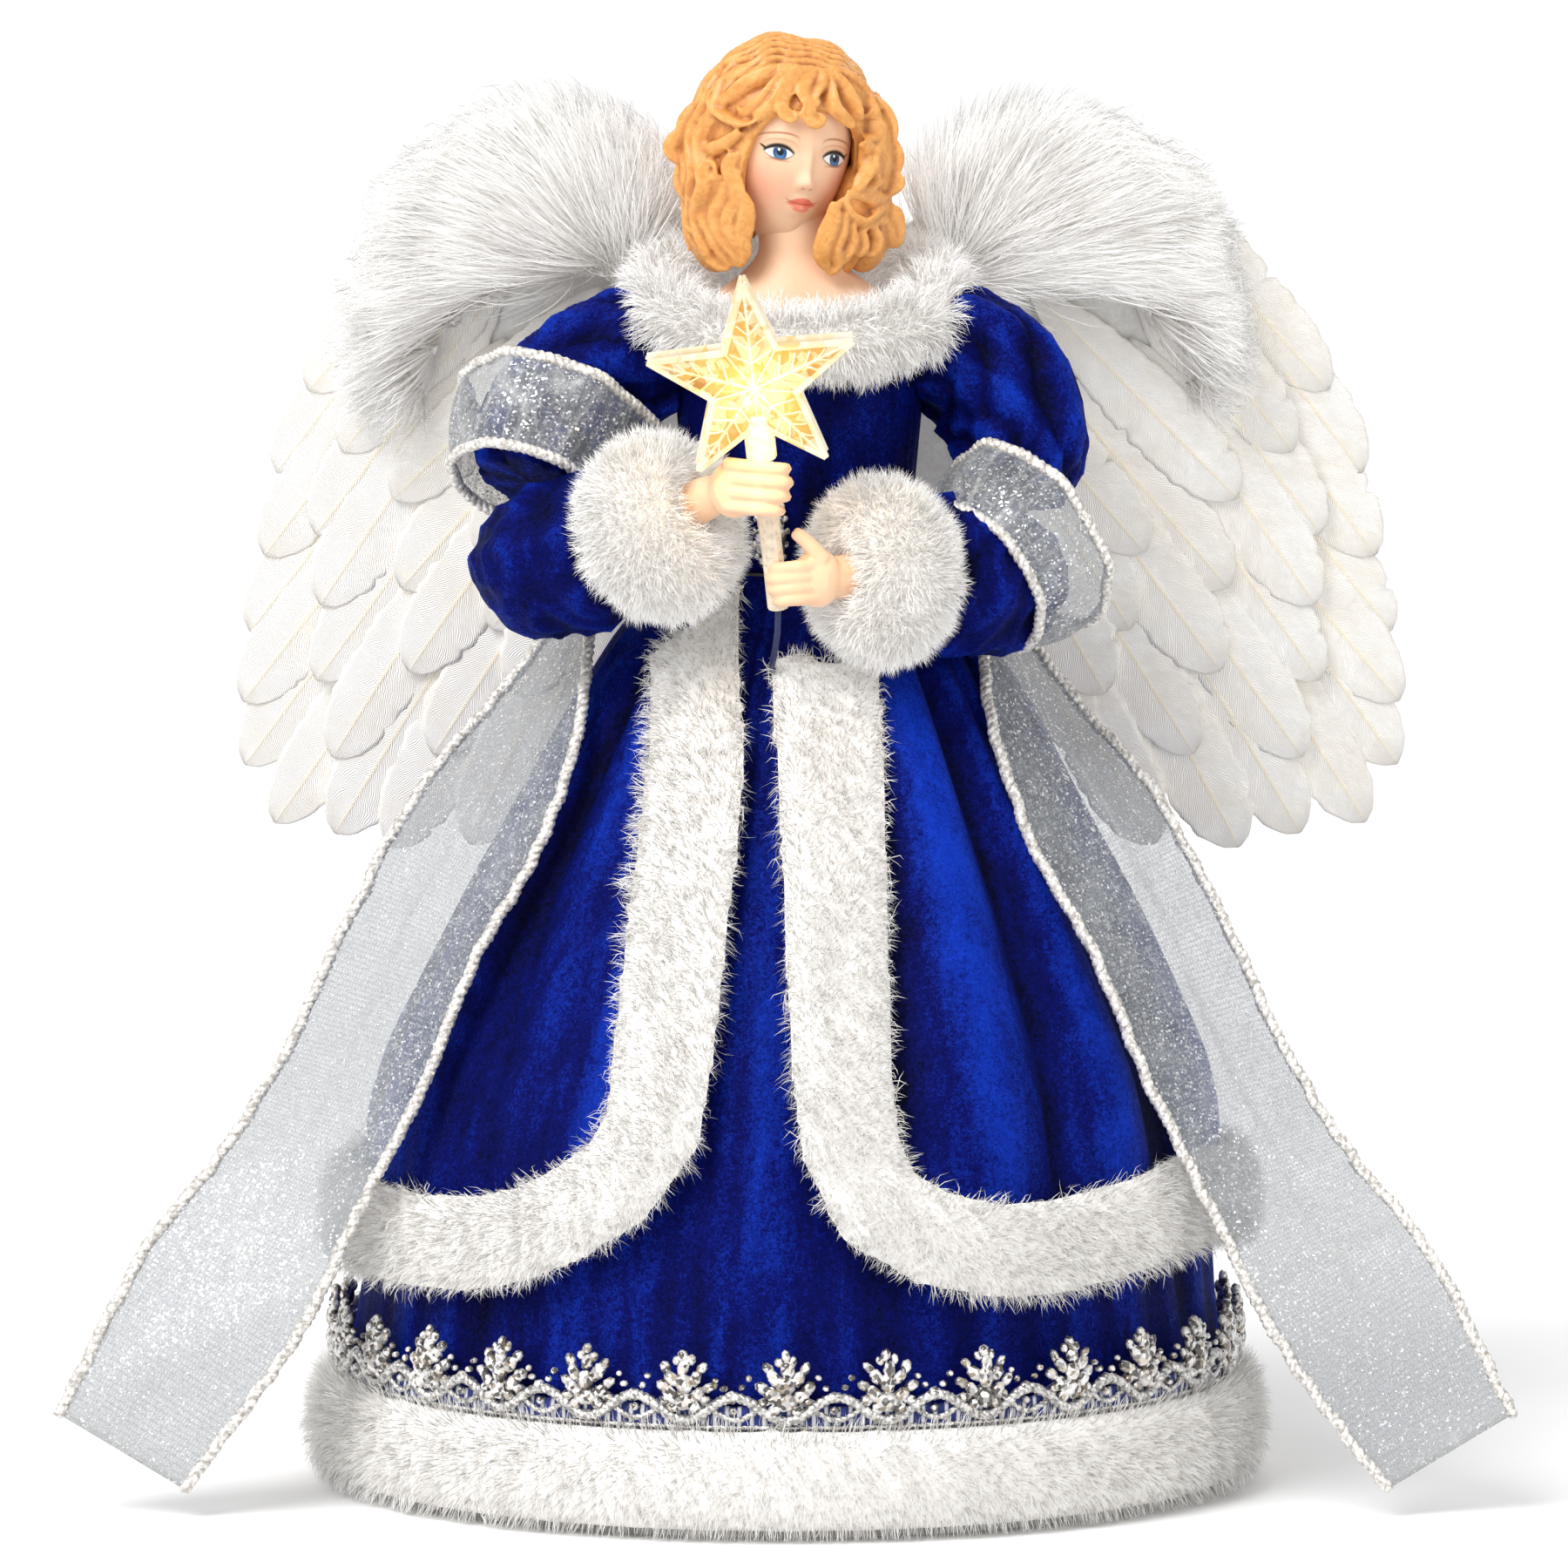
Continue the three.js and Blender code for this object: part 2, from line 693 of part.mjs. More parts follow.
function contactPlate(fromX, toX, foot) {
  const low = cellAxisDepth - contactHalfWidth;
  return boxAt(fromX, toX, low, cellAxisDepth + contactHalfWidth, foot, foot + contactThickness);
}
const springRise = springRoom - springWire;
const contactReach = cellAxisX + contactHalfWidth;
const contactParting = seatGap;

// Switch: a body behind the case's end wall, and the slider that a fingertip moves
function switchSlider() {
  const inner = caseWall + seatGap;
  const knob = boxAt(
    knobRest - switchKnobLength / 2, knobRest + switchKnobLength / 2,
    knobDepthPlace - switchKnobWidth / 2, knobDepthPlace + switchKnobWidth / 2, -switchKnobHeight, inner + seatGap,
  );
  const shoe = boxAt(
    knobRest - switchKnobLength / 2 - shoeOverlap, knobRest + switchKnobLength / 2 + shoeOverlap,
    knobDepthPlace - switchKnobWidth / 2 - shoeOverlap, knobDepthPlace + switchKnobWidth / 2 + shoeOverlap,
    inner, inner + shoeThickness,
  );
  return knob.add(shoe);
}

function switchBody() {
  const foot = caseWall + seatGap + shoeThickness + seatGap;
  const reach = switchTravel / 2 + switchKnobLength + shoeOverlap;
  return boxAt(
    -reach, reach, knobDepthPlace - switchKnobWidth, knobDepthPlace + switchKnobWidth,
    foot, caseWall + switchBay - seatGap,
  );
}

// Lead from the lamp, down the wand, through the waist and down the cone's back wall to the battery case
const leadInset = coneWall / Math.cos(coneLean) + leadRadius + 2 * leadRoom;
const leadTopHeight = coneHeight - coneWall - 3 * leadRadius;

function wallPoint(height) {
  return new THREE.Vector3(0, coneRadiusAt(height) - leadInset, height);
}

const wandHead = new THREE.Vector3(-wandHeadLeft, -wandHeadForward, wandHeadHeight);
const wandFoot = new THREE.Vector3(-wandFootLeft, -wandFootForward, wandFootHeight);
const wandAxis = new THREE.Vector3().subVectors(wandHead, wandFoot);
const wandLength = wandAxis.length();
wandAxis.normalize();

// A point on the wand's axis, so far down from the star's middle.
function wandPoint(down) {
  return wandHead.clone().addScaledVector(wandAxis, -down);
}
const leadStart = lampTop + lampLength + seatGap;

// A place given as shares of the waist's height: to the viewer's right, forward and up.
function spot([right, forward, up]) {
  return new THREE.Vector3(right * waistHeight, -forward * waistHeight, up * waistHeight);
}

// The lead's way from the wand's foot in through the waist
const leadShares = [
  [-0.0091, 0.252, 0.9545], [-0.014, 0.219, 0.9215], [-0.0124, 0.1777, 0.8884], [-0.0041, 0.1364, 0.8698],
  [0, 0.0992, 0.8616],
];

function leadCurve() {
  const caseEntry = new THREE.Vector3(0, -caseDepth / 2, caseLength - caseWall);
  const caseAbove = new THREE.Vector3(0, -caseDepth / 2, caseLength + cutOverrun);
  batteryFrame.updateWorldMatrix(true, false);
  const points = [
    wandPoint(leadStart),
    wandPoint(wandLength / 2),
    wandPoint(wandLength),
    ...leadShares.map(spot),
    new THREE.Vector3(0, -coneTopRadius / 3, leadTopHeight),
    new THREE.Vector3(0, coneTopRadius / 2, leadTopHeight - leadRadius),
    wallPoint(leadTopHeight * 0.93),
    wallPoint(leadTopHeight * 0.8),
    wallPoint(leadTopHeight * 0.65),
    caseAbove.applyMatrix4(batteryFrame.matrixWorld),
    caseEntry.applyMatrix4(batteryFrame.matrixWorld),
  ];
  return new THREE.CatmullRomCurve3(points, false, "centripetal");
}
const leadRoute = leadCurve();
const leadChannel = pipe(leadRoute, leadRadius + leadRoom, 46, 6);

// Cone with its flat pad for the battery case and the hole for the lead
function skirtCone() {
  const pad = boxAt(-caseHalfWidth, caseHalfWidth, seatGap, padThickness + coneWall, 0, caseLength);
  const padInPlace = seenFrom(pad, batteryFrame, root);
  const halfWall = coneWall / 2;
  const insideTop = coneHeight - halfWall;
  const inside = revolve(
    [[0, 0], [coneRadiusAt(0) - halfWall, 0], [coneTopRadius - halfWall, insideTop], [0, insideTop]], coneSides,
  );
  return coneShell().add(padInPlace.intersect(inside)).subtract(leadChannel);
}

place("skirt_cone", skirtCone(), card);
place("lamp_lead", pipe(leadRoute, leadRadius, 46, 5), leadSheath);

place("battery_case", batteryCase(), casePlastic, batteryFrame);
place("battery_cover", batteryCover(), casePlastic, batteryFrame);
place("battery_cell_left", batteryCell(-1), cellSleeve, batteryFrame);
place("battery_cell_right", batteryCell(1), cellSleeve, batteryFrame);
place("switch_slider", switchSlider(), cellSleeve, batteryFrame);
place("switch_body", switchBody(), cellSleeve, batteryFrame);
place("contact_left", contactPlate(-contactReach, -contactParting, footContact), springSteel, batteryFrame);
const rightContact = contactPlate(contactParting, contactReach, footContact);
place("contact_right", rightContact.add(contactSpring(cellAxisX, chamberFoot, springRise)), springSteel, batteryFrame);
const topContact = contactPlate(-contactReach, contactReach, chamberTop);
place("contact_bridge", topContact.add(contactSpring(-cellAxisX, chamberTop, -springRise)), springSteel, batteryFrame);

// Torso, bodice, skirt and coat
const spigotRoom = bar(
  new THREE.Vector3(0, 0, coneHeight - cutOverrun),
  new THREE.Vector3(0, 0, spigotTop + torsoBoreRoom),
  spigotRadius + seatGap,
  coneSides,
);
place("torso_core", torsoBody(0, torsoFoot, torsoTop).subtract(spigotRoom), card);

const bodiceShell = torsoBody(bodiceGrow, bodiceFoot, bodiceTop)
  .subtract(torsoBody(seatGap, bodiceFoot - cutOverrun, bodiceTop + cutOverrun));
place("bodice", bodiceShell, velvet);

const skirt = shell(bellNet(0), bellNet(-clothThickness), true).subtract(leadChannel);
place("underskirt", skirt, velvet);
place("coat", shell(coatNet(coatOut), coatNet(coatStandoff)), velvet);
place("coat_fur_left", furBand(leftBand), fur);
place("coat_fur_right", furBand(rightBand).subtract(leadChannel), fur);

// Fur round the base: a thick roll whose foot is cut flat just above the floor
// Radius and height shares of the roll's section, from its inner foot round the outside
const hemFurShares = [
  [0, 0.04], [0.25, 0], [0.72, 0], [0.93, 0.2], [1, 0.5], [0.88, 0.82], [0.55, 1], [0.2, 0.9], [0, 0.6],
];

function hemFurRoll() {
  const depth = hemFurOuterRadius - hemFurInnerRadius;
  return revolve(hemFurShares.map(([across, high]) => (
    [hemFurInnerRadius + across * depth, hemFurFloorGap + high * hemFurHeight]
  )), hemFurSides);
}
place("hem_fur", hemFurRoll(), fur);

// Beaded trim: a woven band whose raised cord runs in waves, and a row of jewelled leaf motifs sewn to it
const trimInner = skirtHemRadius + seatGap;
const trimFoot = hemFurFloorGap + hemFurHeight + seatGap;

function trimPoint(angle, height, out) {
  const radius = trimInner + out;
  return new THREE.Vector3(radius * Math.sin(angle), -radius * Math.cos(angle), height);
}

function trimBand() {
  const stepsPerWave = 4;
  return loft(steps(trimClusters * stepsPerWave, (turn) => {
    const angle = turn * 2 * Math.PI;
    const crest = trimFoot + trimBandHeight + trimWaveHeight * Math.cos(trimClusters * angle);
    return [
      trimPoint(angle, trimFoot, 0),
      trimPoint(angle, trimFoot, trimBandThickness),
      trimPoint(angle, crest, trimBandThickness + trimRidge),
      trimPoint(angle, crest, 0),
    ];
  }), true);
}

// Sideways and height shares of a motif's outline: three pointed leaves on a short foot
const leafShares = [[0, 0], [1, 0.3], [0.45, 0.5], [0, 1.15], [-0.45, 0.5], [-1, 0.3]];

function trimMotif(angle) {
  const foot = trimFoot + trimBandHeight - trimWaveHeight;
  const at = (side, high, out) => (
    trimPoint(angle + side * trimLeafWidth / trimInner, foot + high * trimLeafHeight, out)
  );
  const middle = trimBandThickness;
  const corners = [at(0, 0.45, middle + trimLeafDepth), at(0, 0.45, middle - trimLeafDepth / 2)];
  leafShares.forEach(([side, high]) => corners.push(at(side, high, middle)));
  const index = [];
  leafShares.forEach((_, i) => {
    const next = (i + 1) % leafShares.length;
    index.push(0, 2 + i, 2 + next, 1, 2 + next, 2 + i);
  });
  const geometry = new THREE.BufferGeometry();
  geometry.setAttribute("position", new THREE.Float32BufferAttribute(corners.flatMap((p) => [p.x, p.y, p.z]), 3));
  geometry.setIndex(index);
  return solidOf(geometry);
}

const trimMotifs = steps(trimClusters, (turn) => trimMotif(turn * 2 * Math.PI));
place("beaded_trim", joined([trimBand(), ...trimMotifs]), silver);

// Head group: a moulded head, neck and shoulder plate, and the hair moulding over it
const headFrame = new THREE.Group();
headFrame.position.set(waistOffset, 0, torsoTop + seatGap);
root.add(headFrame);
const headTurnFrame = new THREE.Group();
headTurnFrame.rotation.set(0, headTilt, headTurn);
const headMiddle = new THREE.Vector3(0, 0, headCentreHeight);
headTurnFrame.position.copy(headMiddle).sub(headMiddle.clone().applyEuler(headTurnFrame.rotation)).x -= headShift;
headFrame.add(headTurnFrame);

// Height, width and depth shares of the shoulder plate and neck
const plateShares = [
  [0, 1, 1], [0.18, 0.92, 0.92], [0.34, 0.6, 0.76], [0.5, 0.4, 0.63], [0.75, 0.385, 0.62], [1, 0.385, 0.64],
];

function shoulderPlate(grow) {
  const height = headCentreHeight - headHalfHeight * 0.55;
  return loft(plateShares.map(([high, wide, deep]) => steps(16, (turn) => {
    const angle = turn * 2 * Math.PI;
    const x = (wide * plateHalfWidth + grow) * Math.sin(angle);
    const y = (deep * plateHalfDepth + grow) * Math.cos(angle);
    return new THREE.Vector3(x, -y, high * height);
  })));
}

// Bumps and hollows of the face: sideways and height from the face's middle, width, height and depth, as shares
const faceShares = [
  [0, -0.3, 0.15, 0.17, 0.15],
  [0, -0.38, 0.12, 0.07, 0.08],
  [-0.43, -0.13, 0.25, 0.11, -0.08],
  [0.43, -0.13, 0.25, 0.11, -0.08],
  [0, -0.6, 0.2, 0.06, 0.07],
  [0, -0.84, 0.25, 0.12, 0.1],
  [-0.5, -0.4, 0.3, 0.25, 0.05],
  [0.5, -0.4, 0.3, 0.25, 0.05],
];

function skullGeometry(grow, across, down, bumps) {
  const geometry = new THREE.SphereGeometry(1, across, down).rotateX(Math.PI / 2);
  const points = geometry.getAttribute("position");
  for (let i = 0; i < points.count; i += 1) {
    const p = new THREE.Vector3().fromBufferAttribute(points, i);
    const low = Math.max(0, -p.z);
    const narrow = 1 - 0.2 * low * low;
    let forward = 1 - 0.12 * low;
    for (const [side, high, wide, tall, deep] of p.y < 0 ? bumps : []) {
      const sideways = (p.x - side) / wide;
      const up = (p.z - high) / tall;
      forward += deep * Math.exp(-sideways * sideways - up * up);
    }
    points.setXYZ(
      i,
      p.x * (headHalfWidth * narrow + grow),
      p.y * (headHalfDepth * forward + grow),
      headCentreHeight + p.z * (headHalfHeight + grow) - low * jawDrop,
    );
  }
  return geometry;
}

const skull = solidOf(skullGeometry(0, 24, 18, faceShares));
const headBody = seenFrom(skull, headTurnFrame, headFrame).add(shoulderPlate(0));
place("head", headBody, skin, headFrame);

// Hair: a waved cap with an opening for the face and ringlets down both sides
// Side, depth, height and the three half sizes of each ringlet, as shares of the head's half width
const ringletShares = [
  [1.24, -0.1, 2.7, 0.44, 0.5, 0.52],
  [1.45, -0.25, 2.15, 0.44, 0.5, 0.52],
  [1.34, -0.1, 1.6, 0.46, 0.5, 0.5],
  [1.2, -0.2, 1.08, 0.42, 0.46, 0.46],
];

// The bunch at the nape: its place back and up, and its half sizes.
const napeShares = [0.72, 1.75, 1.25, 0.7, 1.05];

function hairCap(grow) {
  const geometry = new THREE.SphereGeometry(1, 22, 14).rotateX(Math.PI / 2);
  const points = geometry.getAttribute("position");
  for (let i = 0; i < points.count; i += 1) {
    const p = new THREE.Vector3().fromBufferAttribute(points, i);
    const round = Math.hypot(p.x, p.y);
    const bend = hairWaveBend * Math.cos(hairWaveSides * Math.atan2(p.x, p.y));
    const wave = hairWave * round * Math.cos(hairWaveCount * p.z + bend);
    const out = hairThickness + wave + grow;
    points.setXYZ(
      i,
      p.x * (headHalfWidth + hairFullness + out),
      p.y * (headHalfDepth + out),
      headCentreHeight + p.z * (headHalfHeight + out),
    );
  }
  return solidOf(geometry);
}

function ringlets(grow) {
  const unit = headHalfWidth;
  const sides = [-1, 1].flatMap((side) => ringletShares.map(([x, y, z, a, b, c]) => ball(
    new THREE.Vector3(side * x * unit, y * unit, z * unit),
    new THREE.Vector3(a * unit + grow, b * unit + grow, c * unit + grow), 7, 5,
  )));
  const [back, high, wide, deep, tall] = napeShares.map((share) => share * unit);
  const nape = ball(new THREE.Vector3(0, back, high), new THREE.Vector3(wide + grow, deep + grow, tall + grow), 10, 6);
  return joined([...sides, nape]);
}

function hairMass(grow) {
  return hairCap(grow).add(ringlets(grow));
}

function faceOpening() {
  const depth = headHalfDepth + hairThickness;
  return loft([-2 * depth, -depth * 0.35].map((y) => steps(18, (turn) => {
    const angle = turn * 2 * Math.PI;
    const z = faceCentreHeight + faceHalfHeight * Math.cos(angle);
    return new THREE.Vector3(faceHalfWidth * Math.sin(angle), y, z);
  })));
}

// The room for the head, the neck and the shoulder plate has fewer faces than the head itself.
function hairShell() {
  const room = solidOf(skullGeometry(hairRoom, 14, 10, []));
  const plateRoom = seenFrom(shoulderPlate(hairRoom), headFrame, headTurnFrame);
  const throat = bar(
    new THREE.Vector3(0, -headHalfDepth, faceCentreHeight - faceHalfHeight / 2),
    new THREE.Vector3(0, -headHalfDepth, 0), neckRadius, 12,
  );
  return largestPart(hairMass(0).subtract(room).subtract(plateRoom).subtract(faceOpening()).subtract(throat));
}
place("hair", hairShell(), hairPaint, headTurnFrame);

// Arms

function curveThrough(placeShares) {
  return new THREE.CatmullRomCurve3(placeShares.map(spot));
}

const armShares = {
  left: {
    upper: [[-0.1, 0, 1.228], [-0.2, 0.008, 1.215], [-0.262, 0.045, 1.15], [-0.276, 0.075, 1.1]],
    lower: [[-0.318, 0.09, 1.015], [-0.26, 0.14, 1.022], [-0.19, 0.186, 1.045]],
    ruffle: [[-0.278, 0.085, 1.095], [-0.245, 0.03, 1.175]],
    cuff: [[-0.184, 0.192, 1.049], [-0.088, 0.262, 1.093]],
    forearm: [[-0.15, 0.217, 1.065], [-0.09, 0.268, 1.105], [-0.06, 0.3, 1.12]],
    palm: [-0.056, 0.302, 1.121],
    thumb: [[-0.06, 0.285, 1.115], [-0.036, 0.28, 1.135], [-0.02, 0.277, 1.14]],
    knuckle: [-0.045, 0.322, 1.147],
    reach: 0.046,
    drop: 0.0153,
  },
  right: {
    upper: [[0.128, 0, 1.236], [0.212, 0.008, 1.222], [0.254, 0.03, 1.155], [0.252, 0.07, 1.09]],
    lower: [[0.28, 0.078, 1.01], [0.222, 0.137, 1.003], [0.154, 0.188, 1.018]],
    ruffle: [[0.205, 0.148, 1.005], [0.262, 0.09, 1.045]],
    cuff: [[0.148, 0.192, 1.02], [0.06, 0.258, 1.024]],
    forearm: [[0.12, 0.215, 1.02], [0.06, 0.262, 1.02], [0.035, 0.276, 1.02]],
    palm: [0.034, 0.279, 1.021],
    thumb: [[0.04, 0.283, 1.04], [0.022, 0.287, 1.062], [0.008, 0.287, 1.073]],
    knuckle: [0.026, 0.292, 1.035],
    reach: -0.042,
    drop: 0.0118,
  },
};
// Radius shares of the puff, the lower sleeve, the cuff and the forearm, from their upper end
const puffShares = [0.66, 1, 1.02, 0.94, 0.76];
const lowerSleeveShares = [0.45, 0.9, 1.02, 1.02, 0.97];
const cuffShares = [0.66, 0.94, 1, 0.93, 0.62];
const forearmShares = [1.25, 1.15, 1, 1.05];

function radiusFrom(radiusShares, radius, gathers = 0) {
  return (share, angle) => {
    const place = share * (radiusShares.length - 1);
    const low = Math.min(Math.floor(place), radiusShares.length - 2);
    const size = radius * THREE.MathUtils.lerp(radiusShares[low], radiusShares[low + 1], place - low);
    const fold = 1 + 0.05 * Math.cos(gathers * angle);
    return [size * fold, size * fold];
  };
}

function upperSleeve(arm, grow) {
  return limb(curveThrough(arm.upper), radiusFrom(puffShares, puffRadius, 5), 8, 14, Y, grow);
}

function lowerSleeve(arm, grow) {
  return limb(curveThrough(arm.lower), radiusFrom(lowerSleeveShares, forearmSleeveRadius, 4), 7, 14, Z, grow);
}

function cuffRoll(arm, grow) {
  return limb(curveThrough(arm.cuff), radiusFrom(cuffShares, cuffRadius), 6, 16, Z, grow);
}

function forearm(arm, grow) {
  return limb(curveThrough(arm.forearm), radiusFrom(forearmShares, wristRadius), 4, 8, Z, grow);
}

// A band of sheer ribbon sewn tight at the forearm and flaring towards the shoulder.
function elbowRuffle(arm) {
  const curve = curveThrough(arm.ruffle);
  const flare = (share) => [ruffleRadius + ruffleFlare * share, ruffleRadius + ruffleFlare * share];
  const outside = limb(curve, flare, 2, 16, Z);
  const [foot, top] = [curve.getPoint(0), curve.getPoint(1)];
  const past = new THREE.Vector3().subVectors(top, foot).multiplyScalar(0.1);
  const through = new THREE.CatmullRomCurve3([foot.sub(past), top.add(past)]);
  const inside = limb(through, flare, 2, 16, Z, -ruffleThickness);
  return outside.subtract(inside);
}

const palmShares = [0.03, 0.018, 0.034];
const fingerShares = [[-0.25, -0.012], [0.3, 0.002], [0.8, 0], [1, -0.012]];

// A hand closed round the wand: four stacked fingers in front of it and the thumb
function hand(arm) {
  const [right, forward, up] = arm.palm;
  const palm = ball(spot([right, forward, up]), new THREE.Vector3(...palmShares).multiplyScalar(waistHeight), 8, 6);
  const fingers = [0, 1, 2, 3].map((i) => {
    const [x, y, z] = arm.knuckle;
    const height = z - i * arm.drop;
    const line = curveThrough(fingerShares.map(([along, forwardShare]) => [
      x + arm.reach * along, y + forwardShare, height,
    ]));
    const size = () => [fingerRadius, fingerRadius];
    return limb(line, size, 4, 5, Z);
  });
  const thumb = limb(curveThrough(arm.thumb), () => [fingerRadius, fingerRadius], 3, 6, Y);
  return joined([forearm(arm, 0), palm, thumb, ...fingers]);
}

const wandRoom = bar(wandPoint(wandNeckTop), wandPoint(wandLength + seatGap), wandRadius + seatGap, 10)
  .add(bar(wandPoint(0), wandPoint(wandNeckFoot + seatGap), wandNeckRadius + seatGap, 10))
  .add(bar(wandPoint(wandFerruleTop - seatGap), wandPoint(wandFerruleTop + wandFerruleLength + seatGap),
    wandFerruleRadius + seatGap, 10));
const torsoRoom = torsoBody(bodiceGrow + seatGap, torsoFoot, torsoTop)
  .add(seenFrom(shoulderPlate(seatGap), headFrame, root));

const sleeveRooms = [];
for (const [side, arm] of Object.entries(armShares)) {
  const upper = upperSleeve(arm, 0).subtract(torsoRoom);
  const upperRoom = upperSleeve(arm, seatGap);
  const lower = lowerSleeve(arm, 0).subtract(upperRoom).subtract(forearm(arm, seatGap));
  const lowerRoom = lowerSleeve(arm, seatGap);
  sleeveRooms.push(upperRoom);
  place(`sleeve_upper_${side}`, upper, velvet);
  place(`sleeve_lower_${side}`, lower, velvet);
  place(`elbow_ruffle_${side}`, largestPart(elbowRuffle(arm).subtract(upperRoom).subtract(lowerRoom)), ribbonMesh);
  place(`cuff_fur_${side}`, cuffRoll(arm, 0).subtract(lowerRoom).subtract(forearm(arm, seatGap)), fur);
  place(`hand_${side}`, hand(arm).subtract(wandRoom).subtract(leadChannel), skin);
}

// Wand and star: the star's frame has +Z up the wand and faces -Y
const starFrame = new THREE.Group();
const starAcross = new THREE.Vector3().crossVectors(Y, wandAxis).normalize();
const starBack = new THREE.Vector3().crossVectors(wandAxis, starAcross);
starFrame.position.copy(wandHead);
starFrame.quaternion.setFromRotationMatrix(new THREE.Matrix4().makeBasis(starAcross, starBack, wandAxis));
root.add(starFrame);

function starOutline(tip, waist) {
  return steps(10, (turn, i) => {
    const radius = i % 2 ? waist : tip;
    return [radius * Math.sin(turn * 2 * Math.PI), radius * Math.cos(turn * 2 * Math.PI)];
  });
}

// Half a star: a flat parting face, a short edge and ridged arms that rise to the middle. toward is -1 in front.
function halfStar(tip, waist, parting, edge, middle, toward) {
  const outline = starOutline(tip, waist);
  const positions = [[0, toward * middle, 0], [0, toward * parting, 0]];
  outline.forEach(([x, z]) => positions.push([x, toward * edge, z], [x, toward * parting, z]));
  const index = [];
  for (let i = 0; i < outline.length; i += 1) {
    const [high, low] = [2 + 2 * i, 3 + 2 * i];
    const next = (i + 1) % outline.length;
    const [nextHigh, nextLow] = [2 + 2 * next, 3 + 2 * next];
    index.push(0, high, nextHigh, high, low, nextHigh, nextHigh, low, nextLow, 1, nextLow, low);
  }
  const geometry = new THREE.BufferGeometry();
  geometry.setAttribute("position", new THREE.Float32BufferAttribute(positions.flat(), 3));
  geometry.setIndex(index);
  return solidOf(geometry);
}

function starShell(toward) {
  const outside = halfStar(
    starTipRadius, starWaistRadius, seatGap / 2, starEdgeHalfThickness, starHalfThickness, toward,
  );
  const inside = halfStar(
    starTipRadius - 3 * starWall, starWaistRadius - starWall, -cutOverrun,
    starEdgeHalfThickness - starWall, starHalfThickness - starWall, toward,
  );
  const middle = new THREE.Vector3(0, toward * starHalfThickness, 0);
  const ribs = starOutline(starTipRadius - starRibRadius, starWaistRadius).filter((_, i) => i % 2 === 0).map(([x, z]) => (
    bar(middle, new THREE.Vector3(x, toward * (starEdgeHalfThickness - starRibRadius), z), starRibRadius, 4, starRibRadius / 2)
  ));
  const neck = bar(new THREE.Vector3(0, 0, 0), new THREE.Vector3(0, 0, -wandNeckFoot), wandNeckRadius + seatGap, 10);
  return joined([outside, ...ribs]).subtract(inside).subtract(neck);
}

function alongWand(top, foot, radius, sides = 12) {
  return bar(new THREE.Vector3(0, 0, -foot), new THREE.Vector3(0, 0, -top), radius, sides);
}
place("star_front", starShell(-1), clearPlastic, starFrame);
place("star_back", starShell(1), clearPlastic, starFrame);
const neckBore = lampRadius + seatGap;
place("wand_neck", alongWand(wandNeckTop, wandNeckFoot, wandNeckRadius)
  .subtract(alongWand(0, wandNeckFoot + cutOverrun, neckBore)), clearPlastic, starFrame);
const lampBody = alongWand(lampTop, lampTop + lampLength, lampRadius)
  .add(ball(new THREE.Vector3(0, 0, -lampTop), new THREE.Vector3(lampRadius, lampRadius, lampRadius), 12, 6));
place("star_lamp", lampBody, lampGlow, starFrame);
const tubeBore = alongWand(0, wandLength + cutOverrun, wandRadius - wandWall);
place("wand_tube", alongWand(wandNeckFoot + seatGap, wandLength, wandRadius).subtract(tubeBore), clearPlastic, starFrame);
place("wand_ferrule", alongWand(wandFerruleTop, wandFerruleTop + wandFerruleLength, wandFerruleRadius)
  .subtract(alongWand(0, wandLength, wandRadius + seatGap)), clearPlastic, starFrame);

// Collar: a fur roll round the shoulders, low in front and high at the nape
function collarRoll(grow) {
  return loft(steps(22, (turn) => {
    const angle = turn * 2 * Math.PI;
    const across = new THREE.Vector3(Math.sin(angle), -Math.cos(angle), 0);
    const centre = new THREE.Vector3(
      waistOffset + collarHalfWidth * across.x,
      collarHalfDepth * across.y,
      torsoTop - collarDrop + collarRise * (1 - Math.cos(angle)) / 2,
    );
    return steps(8, (part) => {
      const around = part * 2 * Math.PI;
      return centre.clone()
        .addScaledVector(across, (collarTubeWidth + grow) * Math.cos(around))
        .addScaledVector(Z, (collarTubeHeight + grow) * Math.sin(around));
    });
  }), true);
}
const hairRoomInPlace = seenFrom(hairMass(seatGap), headTurnFrame, root);

// Brooch: beads on a backing strip, in front of the bodice
const broochPlace = new THREE.Vector3(
  -wandFootLeft * 2,
  -torsoHalfDepth * 0.86 - bodiceGrow - seatGap - broochDepth,
  waistHeight + seatGap + broochHeight / 2,
);

function brooch() {
  const strip = ball(broochPlace, new THREE.Vector3(broochHalfWidth / 2, broochDepth, broochHeight / 2), 6, 4);
  const beads = [-0.7, -0.25, 0.2, 0.65].flatMap((high) => [-1, 1].map((side) => {
    const gem = new THREE.OctahedronGeometry(broochHalfWidth * 0.55);
    gem.translate(
      broochPlace.x + side * broochHalfWidth * 0.5, broochPlace.y, broochPlace.z + high * broochHeight / 2,
    );
    return solidOf(gem);
  }));
  return joined([strip, ...beads]).subtract(torsoRoom);
}
place("waist_brooch", brooch(), silver);

// Wings

const bracketTop = torsoTop - bracketDrop;
const bracketFoot = tailTopHeight * tailRootShare + ribbonThickness + seatGap;
const bracketFront = torsoHalfDepth * 0.88 + bodiceGrow + seatGap;
const wingPlane = bracketFront + bracketDepth;
const wingPivotHeight = bracketTop;

